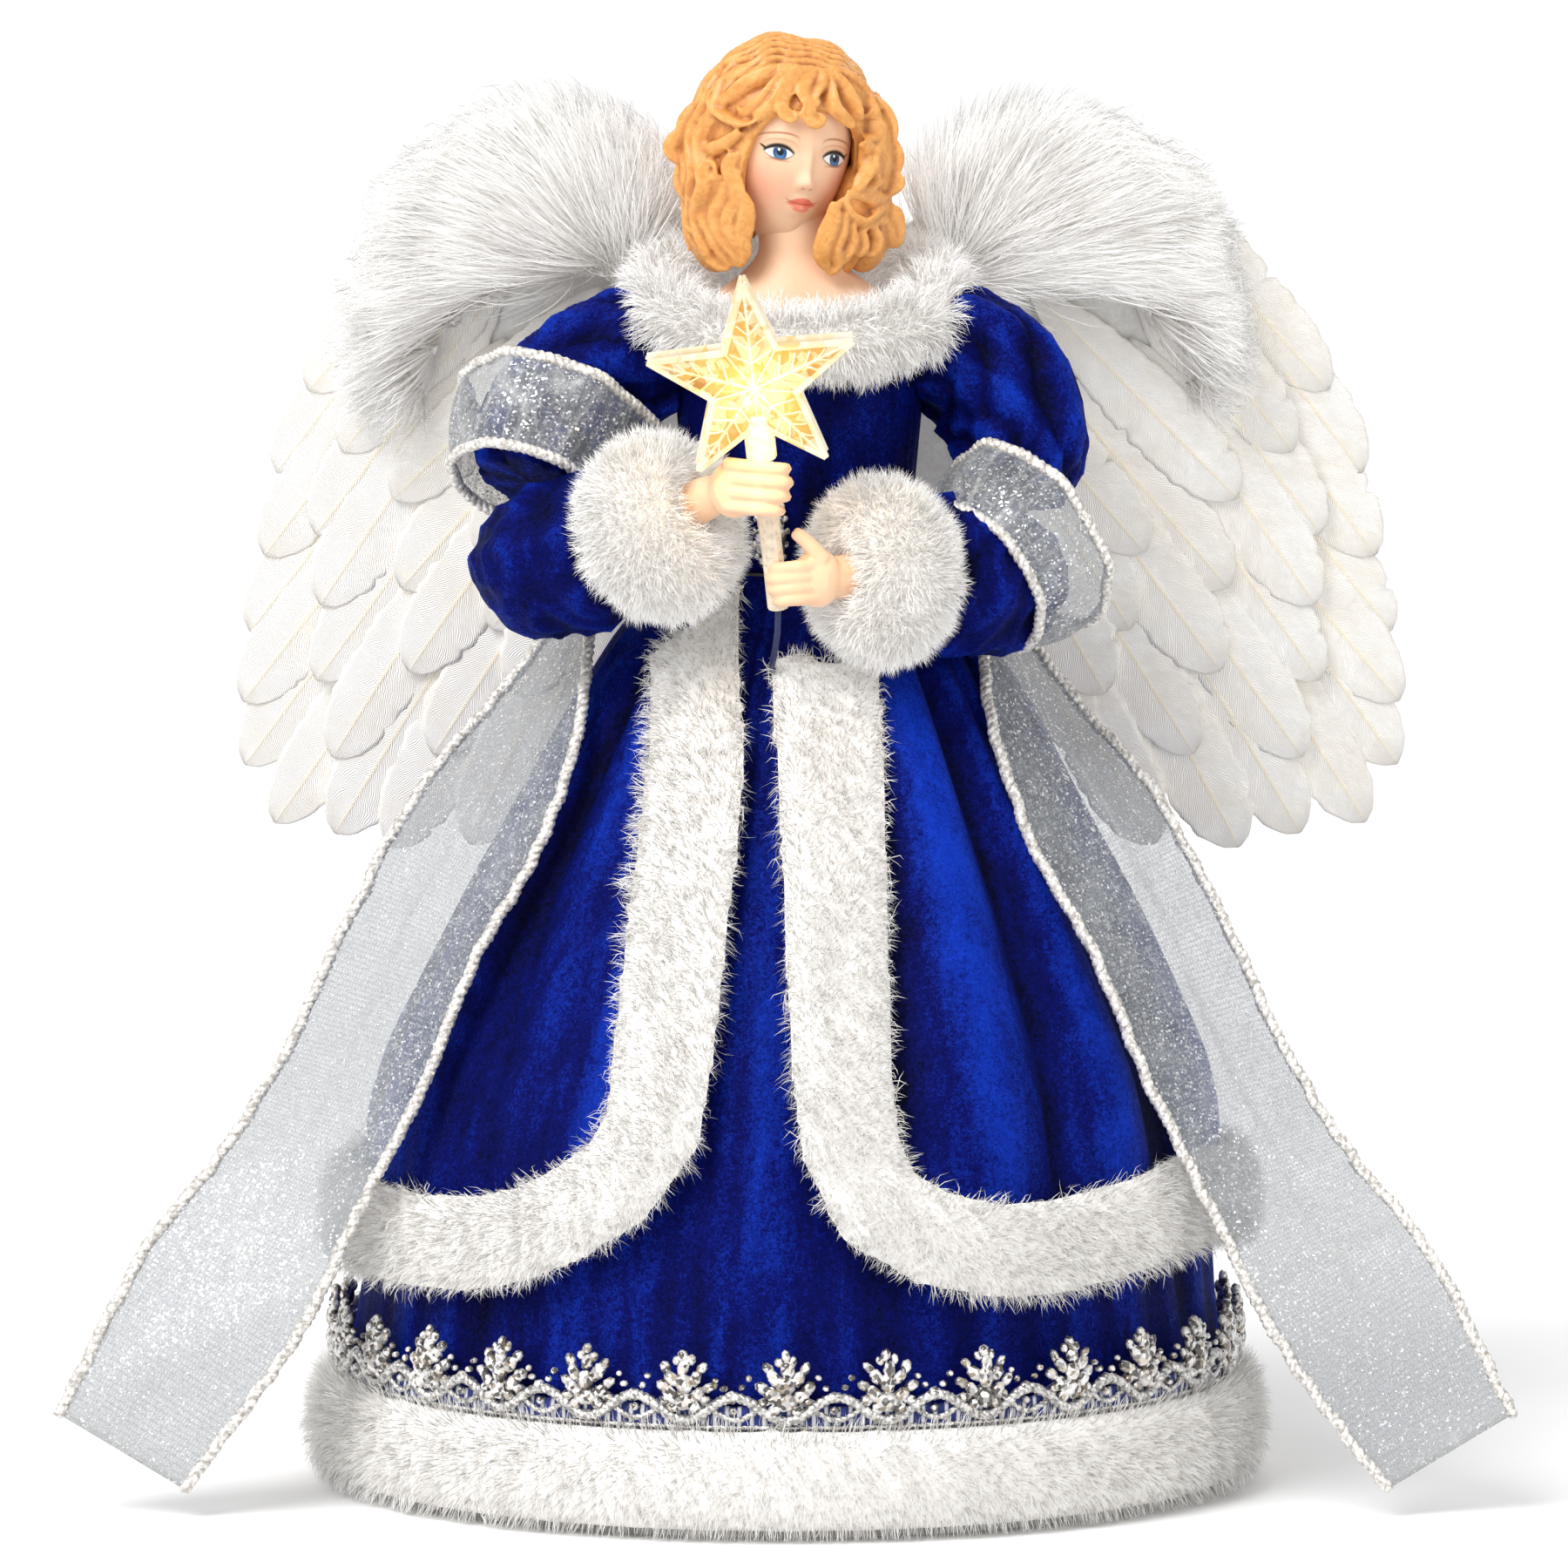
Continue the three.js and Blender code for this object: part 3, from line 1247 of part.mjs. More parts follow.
// The bracket's back is dressed to the two leaning, swept boards.
function wingBracket() {
  const foot = bracketFoot - wingPivotHeight;
  const rows = [[0, bracketTop - wingPivotHeight], [0, foot]].map(([, height]) => {
    const back = bracketDepth - seatGap * 2 - height * Math.tan(wingLean);
    const swept = bracketHalfWidth * Math.tan(wingSweep);
    return [
      [-bracketHalfWidth, 0], [bracketHalfWidth, 0], [bracketHalfWidth, back + swept], [0, back],
      [-bracketHalfWidth, back + swept], [-bracketHalfWidth, back / 2],
    ].map(([x, y]) => new THREE.Vector3(waistOffset + x, bracketFront + y, wingPivotHeight + height));
  });
  return loft(rows);
}
place("wing_bracket", wingBracket(), card);

// Reach and height shares of each feather tip, with its slope in degrees below the level
const featherRows = {
  back: { length: 1, tipShares: [
    [0.87, 0.8, 50], [0.93, 0.735, 52], [0.955, 0.67, 53], [0.985, 0.61, 52],
    [1, 0.555, 51], [1, 0.505, 53], [0.95, 0.46, 57],
  ] },
  outer: { length: 0.92, tipShares: [
    [0.81, 0.755, 52], [0.86, 0.69, 54], [0.855, 0.635, 55], [0.865, 0.575, 55],
    [0.84, 0.515, 56], [0.84, 0.455, 58], [0.74, 0.445, 63],
  ] },
  inner: { length: 0.84, tipShares: [
    [0.72, 0.72, 46], [0.71, 0.65, 50], [0.7, 0.585, 54], [0.66, 0.52, 58], [0.6, 0.45, 63],
  ] },
  body: { length: 0.76, tipShares: [
    [0.57, 0.68, 52], [0.55, 0.62, 57], [0.51, 0.57, 61], [0.48, 0.525, 65],
  ] },
};
// Length and width shares of one feather's outline, from the quill's root to the tip
const featherOutlineShares = [[0, 0.16], [0.45, 0.92], [0.8, 0.86], [1, 0.14]];

function featherBlade(length) {
  const edge = (side) => featherOutlineShares.map(([along, wide]) => [side * wide * featherHalfWidth, along * length]);
  return extruded([...edge(1), ...edge(-1).reverse()], featherThickness);
}

// A feather standing on the wing's plane: its tip at (reach, height), sloping down and out on the given side.
function featherAt(side, reach, height, slope, length, depth) {
  const down = slope * degree;
  const along = new THREE.Vector3(side * Math.cos(down), 0, -Math.sin(down));
  const across = new THREE.Vector3().crossVectors(along, Y);
  const matrix = new THREE.Matrix4().makeBasis(across, along, new THREE.Vector3().crossVectors(across, along));
  const root = new THREE.Vector3(side * reach, depth, height).addScaledVector(along, -length);
  matrix.setPosition(root);
  return moved(featherBlade(length), matrix);
}

const rowDepth = featherThickness + featherStep;

function featherRow(side, span, row, front) {
  const blades = row.tipShares.map(([reach, height, slope], i) => {
    const depth = front + (i % 2 ? featherStep : 0);
    const tipHeight = height * wingTopHeight - wingPivotHeight;
    return featherAt(side, reach * span, tipHeight, slope, row.length * featherLength, depth);
  });
  return joined(blades);
}

// Reach and height shares of the backing board's outline
const boardShares = [
  [0.035, 0.752], [0.06, 0.84], [0.16, 0.93], [0.32, 0.985], [0.5, 0.985], [0.64, 0.94], [0.71, 0.85],
  [0.69, 0.75], [0.62, 0.66], [0.5, 0.6], [0.36, 0.62], [0.2, 0.72],
];
// Reach and height shares of the fluff's middle line
const fluffLineShares = [[0.17, 0.895], [0.33, 0.945], [0.52, 0.945], [0.66, 0.885], [0.72, 0.81]];

function wingFluff(side, span) {
  const points = fluffLineShares.map(([reach, height]) => (
    new THREE.Vector3(side * reach * span, 0, height * wingTopHeight - wingPivotHeight)
  ));
  const size = (share) => {
    const full = 0.62 + 0.38 * Math.sin(Math.PI * Math.min(1, share * 1.15));
    return [fluffHalfHeight * full, fluffDepth * full];
  };
  return limb(new THREE.CatmullRomCurve3(points), size, 9, 12, Y);
}

const boardRooms = [];
for (const [name, side, span] of [["left", -1, wingTipReach], ["right", 1, rightWingTipReach]]) {
  const wing = new THREE.Group();
  wing.position.set(waistOffset, wingPlane, wingPivotHeight);
  wing.rotation.set(wingLean, 0, side * wingSweep, "ZXY");
  root.add(wing);
  const outline = boardShares.map(([reach, height]) => [side * reach * span, height * wingTopHeight - wingPivotHeight]);
  const board = extruded(outline, wingBoardThickness);
  const upright = new THREE.Matrix4().makeRotationX(Math.PI / 2).setPosition(0, wingBoardThickness, 0);
  place(`wing_board_${name}`, moved(board, upright), card, wing);
  const boardRoom = extruded(outline, collarHalfDepth);
  const roomUpright = new THREE.Matrix4().makeRotationX(Math.PI / 2).setPosition(0, collarHalfDepth - seatGap, 0);
  boardRooms.push(seenFrom(moved(boardRoom, roomUpright), wing, root));
  const gap = seatGap;
  place(`wing_feathers_back_${name}`, featherRow(side, span, featherRows.back, wingBoardThickness + gap), feather, wing);
  let front = 0;
  for (const rowName of ["outer", "inner", "body"]) {
    front -= rowDepth + gap;
    place(`wing_feathers_${rowName}_${name}`, featherRow(side, span, featherRows[rowName], front), feather, wing);
  }
  const reach = 2 * span;
  const behind = boxAt(-reach, reach, front - gap, reach, -reach, reach);
  const rooms = [torsoRoom, hairRoomInPlace, collarRoll(seatGap), ...sleeveRooms];
  const fluff = rooms.reduce((body, room) => body.subtract(seenFrom(room, root, wing)), wingFluff(side, span).subtract(behind));
  place(`wing_fluff_${name}`, fluff, fur, wing);
}

const collarRooms = [torsoRoom, hairRoomInPlace, ...sleeveRooms, ...boardRooms];
place("collar_fur", collarRooms.reduce((roll, room) => roll.subtract(room), collarRoll(0)), fur);

// Ribbon streamers: spread, forward and height shares of the outer and inner edge, from the knot to the cut end
const tailShares = [
  [[0.047, -0.355, 1.036], [0.047, -0.33, tailRootShare]],
  [[0.184, -0.21, 1.038], [0.163, -0.155, 1.11]],
  [[0.252, -0.12, 1], [0.21, 0.02, 1.035]],
  [[0.335, -0.14, 0.935], [0.262, 0.16, 0.972]],
  [[0.413, -0.05, 0.86], [0.287, 0.5, 0.855]],
  [[0.498, 0.1, 0.785], [0.34, 0.64, 0.735]],
  [[0.593, 0.25, 0.655], [0.42, 0.75, 0.625]],
  [[0.687, 0.42, 0.5], [0.5, 0.84, 0.475]],
  [[0.781, 0.58, 0.385], [0.587, 0.9, 0.34]],
  [[0.882, 0.75, 0.29], [0.675, 0.96, 0.2]],
  [[1, 0.92, 0.112], [0.828, 1, 0.032]],
];
const tailSteps = 22;
const tailAcross = 3;

function ribbonTail(side) {
  const edges = [0, 1].map((edge) => new THREE.CatmullRomCurve3(tailShares.map((pair) => {
    const [spread, forward, high] = pair[edge];
    return new THREE.Vector3(side * spread * tailSpread, -forward * tailForward, high * tailTopHeight);
  })));
  const at = (u, v) => edges[0].getPoint(u).lerp(edges[1].getPoint(u), v);
  const rows = Array.from({ length: tailSteps + 1 }, (_, i) => {
    const u = i / tailSteps;
    const line = Array.from({ length: tailAcross + 1 }, (_unused, k) => at(u, k / tailAcross));
    const along = edges[0].getTangent(u).add(edges[1].getTangent(u)).normalize();
    const across = new THREE.Vector3().subVectors(at(u, 1), at(u, 0)).normalize();
    const normal = new THREE.Vector3().crossVectors(across, along).multiplyScalar(side * ribbonThickness);
    return [...line, ...[...line].reverse().map((p) => p.clone().add(normal))];
  });
  return loft(rows);
}
place("ribbon_tail_left", ribbonTail(-1), ribbonMesh);
place("ribbon_tail_right", ribbonTail(1), ribbonMesh);
const knotPlace = new THREE.Vector3(0, tailForward * 0.38, bracketFoot - seatGap - knotHalfHeight);
place("ribbon_knot", ball(knotPlace, new THREE.Vector3(knotHalfWidth, knotHalfDepth, knotHalfHeight), 12, 8), ribbonMesh);

export default root;
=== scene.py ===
"""Angel tree topper in blue velvet and white fur, dressed on its frame."""
import math

import bmesh
import bpy
import numpy as np
from mathutils import Matrix, Vector, kdtree


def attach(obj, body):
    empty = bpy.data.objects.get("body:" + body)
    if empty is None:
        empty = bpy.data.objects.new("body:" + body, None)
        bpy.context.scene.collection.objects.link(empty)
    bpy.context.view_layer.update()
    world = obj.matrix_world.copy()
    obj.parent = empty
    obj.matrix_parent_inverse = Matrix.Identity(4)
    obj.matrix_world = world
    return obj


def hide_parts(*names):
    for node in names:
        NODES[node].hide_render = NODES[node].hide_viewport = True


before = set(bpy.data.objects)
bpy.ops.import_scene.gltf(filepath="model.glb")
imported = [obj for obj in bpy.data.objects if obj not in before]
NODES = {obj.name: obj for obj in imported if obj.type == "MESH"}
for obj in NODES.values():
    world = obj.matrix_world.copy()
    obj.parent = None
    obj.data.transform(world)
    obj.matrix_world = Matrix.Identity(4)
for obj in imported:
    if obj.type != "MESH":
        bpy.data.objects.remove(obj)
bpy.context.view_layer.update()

MM = 0.001
BODY = "figure"
scene = bpy.context.scene

TURN = 2 * np.pi

# Measures in millimetres, as the frame has them
WAIST = 242.0
OFFSET = 3.5
SKIRT_HEM = 29.5
SKIRT_RADIUS = 117.0
TORSO_FOOT = 214.35
TORSO_TOP = 308.35
HEAD_BASE = 308.7
TORSO_WIDE = 31
TORSO_DEEP = 24
WING_PLANE = 32.42
WING_PIVOT = 303.65
WING_HIGH = 352.0
TAIL_TOP = 236.0
TAIL_WIDE = 190.5
TAIL_DEEP = 78.0


# ---------------------------------------------------------------- bench tools

def put_down():
    if bpy.context.mode != "OBJECT":
        bpy.ops.object.mode_set(mode="OBJECT")
    bpy.ops.object.select_all(action="DESELECT")


def take(*pieces):
    put_down()
    for piece in pieces:
        piece.hide_set(False)
        piece.select_set(True)
    bpy.context.view_layer.objects.active = pieces[-1]
    return pieces[-1]


def points_of(piece):
    flat = np.empty(len(piece.data.vertices) * 3, dtype=np.float32)
    piece.data.vertices.foreach_get("co", flat)
    return flat.reshape(-1, 3).astype(float) / MM


def move_points(piece, points):
    piece.data.vertices.foreach_set("co", (np.asarray(points) * MM).astype(np.float32).ravel())
    piece.data.update()


def normals_of(piece):
    flat = np.empty(len(piece.data.vertices) * 3, dtype=np.float32)
    piece.data.vertex_normals.foreach_get("vector", flat)
    return flat.reshape(-1, 3).astype(float)


def length_of(rows):
    return np.sqrt((rows ** 2).sum(axis=-1, keepdims=True))


def unit(rows):
    return rows / np.maximum(length_of(rows), 1e-9)


def weld(piece, reach=0.01):
    """Merges doubled points and turns every face outwards."""
    take(piece)
    bpy.ops.object.mode_set(mode="EDIT")
    bpy.ops.mesh.select_all(action="SELECT")
    bpy.ops.mesh.remove_doubles(threshold=reach * MM)
    bpy.ops.mesh.dissolve_degenerate(threshold=reach * MM / 10)
    bpy.ops.mesh.normals_make_consistent(inside=False)
    bpy.ops.object.mode_set(mode="OBJECT")
    return piece


def smooth(piece, angle=None):
    take(piece)
    if angle is None:
        bpy.ops.object.shade_smooth()
    else:
        bpy.ops.object.shade_smooth_by_angle(angle=math.radians(angle))
    return piece


def apply_modifier(piece, kind, **settings):
    take(piece)
    modifier = piece.modifiers.new(kind.title(), kind)
    for key, value in settings.items():
        setattr(modifier, key, value)
    bpy.ops.object.modifier_apply(modifier=modifier.name)
    return piece


def join(name, pieces):
    take(*pieces)
    bpy.ops.object.join()
    whole = bpy.context.view_layer.objects.active
    whole.name = name
    whole.data.name = name
    return whole


def net(name, across, along, surface):
    """A grid laid onto a surface that gives a place in millimetres for shares across and along."""
    put_down()
    bpy.ops.mesh.primitive_grid_add(x_subdivisions=across, y_subdivisions=along, size=1)
    piece = bpy.context.object
    piece.name = name
    piece.data.name = name
    flat = points_of(piece) * MM
    move_points(piece, surface(flat[:, 0] + 0.5, flat[:, 1] + 0.5))
    return piece


def frames_along(path, lean):
    """Side and lift directions along a path, kept turned the same way."""
    along = unit(np.gradient(path, axis=0))
    side = np.empty_like(path)
    last = np.cross(lean, along[0])
    if np.linalg.norm(last) < 1e-3:
        last = np.cross((1, 0, 0), along[0])
    for i, forward in enumerate(along):
        last = last - forward * np.dot(last, forward)
        last = last / np.linalg.norm(last)
        side[i] = last
    return side, np.cross(along, side)


def tube(name, path, radius, sides=8, lean=(0, 0, 1), flatten=1.0):
    """A round closed tube along a path. radius is one number or one for each point."""
    path = np.asarray(path, float)
    radii = np.broadcast_to(np.asarray(radius, float), (len(path),))
    side, lift = frames_along(path, np.asarray(lean, float))
    path = np.vstack([path[:1], path, path[-1:]])
    side = np.vstack([side[:1], side, side[-1:]])
    lift = np.vstack([lift[:1], lift, lift[-1:]])
    radii = np.concatenate([[0], radii, [0]])
    last = len(path) - 1

    def surface(u, v):
        i = np.rint(v * last).astype(int)
        turn = TURN * u
        out = np.cos(turn)[:, None] * side[i] + flatten * np.sin(turn)[:, None] * lift[i]
        return path[i] + radii[i, None] * out

    return weld(net(name, sides, last, surface))


def shape_of(piece):
    """The piece's points in millimetres and its faces as rows of point numbers."""
    return points_of(piece), [tuple(face.vertices) for face in piece.data.polygons]


def discard(piece):
    bpy.data.objects.remove(piece, do_unlink=True)


def strewn(name, model, matrices):
    """Copies of a small model, one for each 4 by 4 matrix, in one mesh."""
    points, faces = shape_of(model)
    smooth_faces = [face.use_smooth for face in model.data.polygons]
    discard(model)
    matrices = np.asarray(matrices, float)
    placed = np.einsum("kij,nj->kni", matrices[:, :3, :3], points) + matrices[:, None, :3, 3]
    firsts = [k * len(points) for k in range(len(matrices))]
    all_faces = [tuple(corner + first for corner in face) for first in firsts for face in faces]
    piece = from_rows(name, placed.reshape(-1, 3), all_faces)
    piece.data.polygons.foreach_set("use_smooth", smooth_faces * len(matrices))
    return piece


def from_rows(name, points, faces):
    mesh = bpy.data.meshes.new(name)
    mesh.from_pydata((np.asarray(points) * MM).tolist(), [], faces)
    mesh.update()
    piece = bpy.data.objects.new(name, mesh)
    scene.collection.objects.link(piece)
    return piece


def seat(place, across, along, out, size=(1, 1, 1)):
    """A matrix that sets a model's x, y and z along three directions at a place."""
    matrix = np.eye(4)
    for i, direction in enumerate((across, along, out)):
        matrix[:3, i] = np.asarray(direction) * size[i]
    matrix[:3, 3] = place
    return matrix


def copy_of(node, name, voxel=None, grow=0.0, softening=0):
    """A merged copy of a frame solid, remeshed to an even skin and grown or drawn in."""
    source = NODES[node]
    piece = source.copy()
    piece.data = source.data.copy()
    piece.name = name
    piece.data.name = name
    piece.parent = None
    piece.matrix_world = Matrix.Identity(4)
    piece.animation_data_clear()
    for key in list(piece.keys()):
        del piece[key]
    scene.collection.objects.link(piece)
    piece.hide_render = False
    piece.hide_viewport = False
    piece.data.materials.clear()
    weld(piece)
    if voxel:
        apply_modifier(piece, "REMESH", mode="VOXEL", voxel_size=voxel * MM)
    if softening:
        apply_modifier(piece, "SMOOTH", factor=0.5, iterations=softening)
    if grow:
        move_points(piece, points_of(piece) + normals_of(piece) * grow)
    return smooth(piece)


def three_curve(rows, shares):
    """Points of the frame's smooth curve through a few places."""
    rows = np.asarray(rows, float)
    last = len(rows) - 1
    found = []
    for share in np.atleast_1d(shares):
        at = share * last
        low = min(max(int(math.floor(at)), 0), last - 1)
        part = at - low
        middle = [rows[low], rows[low + 1]]
        before = rows[low - 1] if low > 0 else 2 * rows[0] - rows[1]
        after = rows[low + 2] if low + 2 <= last else 2 * rows[last] - rows[last - 1]
        steps = [np.sqrt(np.linalg.norm(b - a)) for a, b in ((before, middle[0]), middle, (middle[1], after))]
        first = (middle[0] - before) / steps[0] - (middle[1] - before) / (steps[0] + steps[1])
        first = (first + (middle[1] - middle[0]) / steps[1]) * steps[1]
        second = (middle[1] - middle[0]) / steps[1] - (after - middle[0]) / (steps[1] + steps[2])
        second = (second + (after - middle[1]) / steps[2]) * steps[1]
        jump = middle[1] - middle[0]
        cube = first + second - 2 * jump
        square = 3 * jump - 2 * first - second
        found.append(middle[0] + first * part + square * part ** 2 + cube * part ** 3)
    return np.array(found)


def wave_noise(points, size, seed, rounds=5):
    """Soft even noise from a few crossing waves, about -1 to 1."""
    rng = np.random.default_rng(seed)
    total = np.zeros(len(points))
    for _ in range(rounds):
        way = rng.normal(size=3)
        way = way / np.linalg.norm(way) * 2 * np.pi / (size * rng.uniform(0.7, 1.5))
        total += np.sin(points @ way + rng.uniform(0, TURN))
    return total / math.sqrt(rounds)


def mark(piece, name, values):
    """Keeps a number or colour with every point of the piece."""
    values = np.asarray(values, np.float32)
    if values.ndim == 1:
        values = np.repeat(values[:, None], 3, axis=1)
    layer = piece.data.color_attributes.new(name, "FLOAT_COLOR", "POINT")
    layer.data.foreach_set("color", np.hstack([values, np.ones((len(values), 1), np.float32)]).ravel())


# Rounds of evening that hollows() compares a piece with
EVENING_ROUNDS = 12


def hollows(piece):
    """How deep each point lies in a groove of the piece, from 0 on a crest to 1."""
    mesh = piece.data
    edges = np.empty(len(mesh.edges) * 2, dtype=np.int32)
    mesh.edges.foreach_get("vertices", edges)
    edges = edges.reshape(-1, 2)
    count = np.bincount(edges.ravel(), minlength=len(mesh.vertices))[:, None]
    points = points_of(piece)
    evened = points.copy()
    for _ in range(EVENING_ROUNDS):
        total = np.zeros_like(evened)
        np.add.at(total, edges[:, 0], evened[edges[:, 1]])
        np.add.at(total, edges[:, 1], evened[edges[:, 0]])
        evened = 0.5 * evened + 0.5 * total / np.maximum(count, 1)
    depth = ((evened - points) * normals_of(piece)).sum(axis=1)
    spread = np.percentile(np.abs(depth), 95) + 1e-6
    return np.clip(0.5 + 0.5 * depth / spread, 0, 1)


def settle(piece, paint, stands_for=()):
    """Gives the piece its finish and its body, and hides the frame nodes that it stands for."""
    piece.data.materials.clear()
    piece.data.materials.append(paint)
    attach(piece, BODY)
    if stands_for:
        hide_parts(*stands_for)
    return piece


def corners_of(piece):
    """The number of the point at each face corner."""
    corners = np.empty(len(piece.data.loops), dtype=np.int32)
    piece.data.loops.foreach_get("vertex_index", corners)
    return corners


def in_turn(angle):
    """Angles past half a turn, counted from the other side."""
    return np.where(angle > np.pi, angle - TURN, angle)


def round_ball(middle, half, segments, rings):
    """A closed ball with its own half sizes."""
    put_down()
    bpy.ops.mesh.primitive_uv_sphere_add(segments=segments, ring_count=rings, radius=1, location=(0, 0, 0))
    piece = bpy.context.object
    move_points(piece, points_of(piece) * MM * np.array(half) + middle)
    return piece


# ---------------------------------------------------------------- finishes

FULL_WAVE = 6.2832
EULER = 2.718
BARB_COUNT = 95.0
# The star's lamp, in the frame's millimetres
STAR_HOT_SPOT = (-8.6, -84.0, 297.0)


class Wiring:
    """Adds nodes to a tree: a value that is a socket is joined, any other is set."""

    def __init__(self, tree):
        self.tree = tree

    def add(self, kind, values=None, **settings):
        node = self.tree.nodes.new(kind)
        for key, value in settings.items():
            setattr(node, key, value)
        for key, value in (values or {}).items():
            if isinstance(value, bpy.types.NodeSocket):
                self.tree.links.new(value, node.inputs[key])
            else:
                node.inputs[key].default_value = value
        return node

    def maths(self, operation, first, second=0.0, clamp=False):
        node = self.add("ShaderNodeMath", {0: first, 1: second}, operation=operation, use_clamp=clamp)
        return node.outputs[0]

    def times(self, first, second):
        return self.maths("MULTIPLY", first, second)

    def plus(self, first, second, clamp=False):
        return self.maths("ADD", first, second, clamp)

    def less(self, first, second):
        return self.maths("SUBTRACT", first, second)

    def kept(self, name):
        """A mark that the piece keeps with its points."""
        return self.add("ShaderNodeAttribute", attribute_name=name)

    def split(self, colour):
        """The three numbers of a colour."""
        return self.add("ShaderNodeSeparateColor", {0: colour}).outputs

    def own_map(self):
        """The two shares of the piece's own map."""
        return self.add("ShaderNodeSeparateXYZ", {0: self.add("ShaderNodeUVMap").outputs[0]}).outputs

    def patches(self, place, patch, grain, contrast):
        """The mottle effect with its patches and grain in millimetres."""
        scales = {"Patch scale": 1 / (patch * MM), "Grain scale": 1 / (grain * MM)}
        return self.group(MOTTLE, {"Vector": place, **scales, "Contrast": contrast}).outputs

    def blend(self, share, first, second, mode="MIX"):
        node = self.add("ShaderNodeMix", data_type="RGBA", blend_type=mode)
        for key, value in (("Factor", share), ("A", first), ("B", second)):
            kind = "VALUE" if key == "Factor" else "RGBA"
            socket = next(s for s in node.inputs if s.name == key and s.type == kind)
            if isinstance(value, bpy.types.NodeSocket):
                self.tree.links.new(value, socket)
            else:
                socket.default_value = value if key == "Factor" else (*value, 1)
        return next(s for s in node.outputs if s.type == "RGBA")

    def spread(self, value, low, high, to_low=0.0, to_high=1.0):
        node = self.add("ShaderNodeMapRange", {
            "Value": value, "From Min": low, "From Max": high, "To Min": to_low, "To Max": to_high})
        return node.outputs[0]

    def noise(self, coordinates, size, detail=3.0, roughness=0.5, distortion=0.0):
        node = self.add("ShaderNodeTexNoise", {
            "Vector": coordinates, "Scale": 1 / (size * MM), "Detail": detail, "Roughness": roughness,
            "Distortion": distortion})
        return node.outputs[0]

    def cells(self, coordinates, size, feature="F1", output="Distance"):
        node = self.add("ShaderNodeTexVoronoi", {"Vector": coordinates, "Scale": 1 / (size * MM)}, feature=feature)
        return node.outputs[output]

    def group(self, tree, values):
        node = self.tree.nodes.new("ShaderNodeGroup")
        node.node_tree = tree
        for key, value in values.items():
            if isinstance(value, bpy.types.NodeSocket):
                self.tree.links.new(value, node.inputs[key])
            else:
                node.inputs[key].default_value = value
        return node

    def bump(self, height, depth, strength=1.0):
        node = self.add("ShaderNodeBump", {"Height": height, "Distance": depth * MM, "Strength": strength})
        return node.outputs[0]


def shared_effect(name, inputs, outputs):
    """A node group with named number, colour and vector sockets."""
    tree = bpy.data.node_groups.new(name, "ShaderNodeTree")
    kinds = {"number": "NodeSocketFloat", "colour": "NodeSocketColor", "vector": "NodeSocketVector"}
    for label, kind in inputs:
        tree.interface.new_socket(name=label, in_out="INPUT", socket_type=kinds[kind])
    for label, kind in outputs:
        tree.interface.new_socket(name=label, in_out="OUTPUT", socket_type=kinds[kind])
    wiring = Wiring(tree)
    return tree, wiring, wiring.add("NodeGroupInput"), wiring.add("NodeGroupOutput")


def mottle_effect():
    """Soft patches in two sizes with a sharper edge, and a fine grain for the height."""
    tree, w, given, out = shared_effect(
        "mottle", [("Vector", "vector"), ("Patch scale", "number"), ("Grain scale", "number"), ("Contrast", "number")],
        [("Mask", "number"), ("Height", "number")])
    patch = w.add("ShaderNodeTexNoise", {
        "Vector": given.outputs["Vector"], "Scale": given.outputs["Patch scale"], "Detail": 3.0, "Distortion": 1.4})
    grain = w.add("ShaderNodeTexNoise", {
        "Vector": given.outputs["Vector"], "Scale": given.outputs["Grain scale"], "Detail": 2.0})
    centred = w.less(patch.outputs[0], 0.5)
    mask = w.plus(w.times(centred, given.outputs["Contrast"]), 0.5, clamp=True)
    height = w.plus(w.times(patch.outputs[0], 0.75), w.times(grain.outputs[0], 0.25))
    tree.links.new(mask, out.inputs["Mask"])
    tree.links.new(height, out.inputs["Height"])
    return tree


def painted_spot_effect():
    """A turned oval with a soft edge, as a brush mark on the face: 1 inside and 0 outside."""
    tree, w, given, out = shared_effect(
        "painted_spot",
        [("Vector", "vector"), ("Across", "number"), ("Up", "number"), ("Half width", "number"),
         ("Half height", "number"), ("Turn", "number"), ("Softness", "number")],
        [("Mask", "number")])
    parts = w.add("ShaderNodeSeparateXYZ", {0: given.outputs["Vector"]})
    x = w.less(parts.outputs[0], given.outputs["Across"])
    y = w.less(parts.outputs[1], given.outputs["Up"])
    cos = w.maths("COSINE", given.outputs["Turn"])
    sin = w.maths("SINE", given.outputs["Turn"])
    along = w.plus(w.times(x, cos), w.times(y, sin))
    over = w.less(w.times(y, cos), w.times(x, sin))
    wide = w.maths("DIVIDE", along, given.outputs["Half width"])
    tall = w.maths("DIVIDE", over, given.outputs["Half height"])
    away = w.maths("SQRT", w.plus(w.times(wide, wide), w.times(tall, tall)))
    soft = w.add("ShaderNodeMapRange", {
        "Value": away, "From Min": w.plus(1.0, given.outputs["Softness"]),
        "From Max": w.less(1.0, given.outputs["Softness"]), "To Min": 0.0, "To Max": 1.0})
    tree.links.new(soft.outputs[0], out.inputs["Mask"])
    return tree


def blank(name, roughness=0.5, metallic=0.0, **sockets):
    """A new material with its shader, and the Object coordinates wired up."""
    paint = bpy.data.materials.new(name)
    paint.use_nodes = True
    tree = paint.node_tree
    shader = tree.nodes["Principled BSDF"]
    shader.inputs["Roughness"].default_value = roughness
    shader.inputs["Metallic"].default_value = metallic
    for key, value in sockets.items():
        shader.inputs[key.replace("_", " ")].default_value = value
    w = Wiring(tree)
    place = w.add("ShaderNodeTexCoord").outputs["Object"]
    return paint, w, shader, place


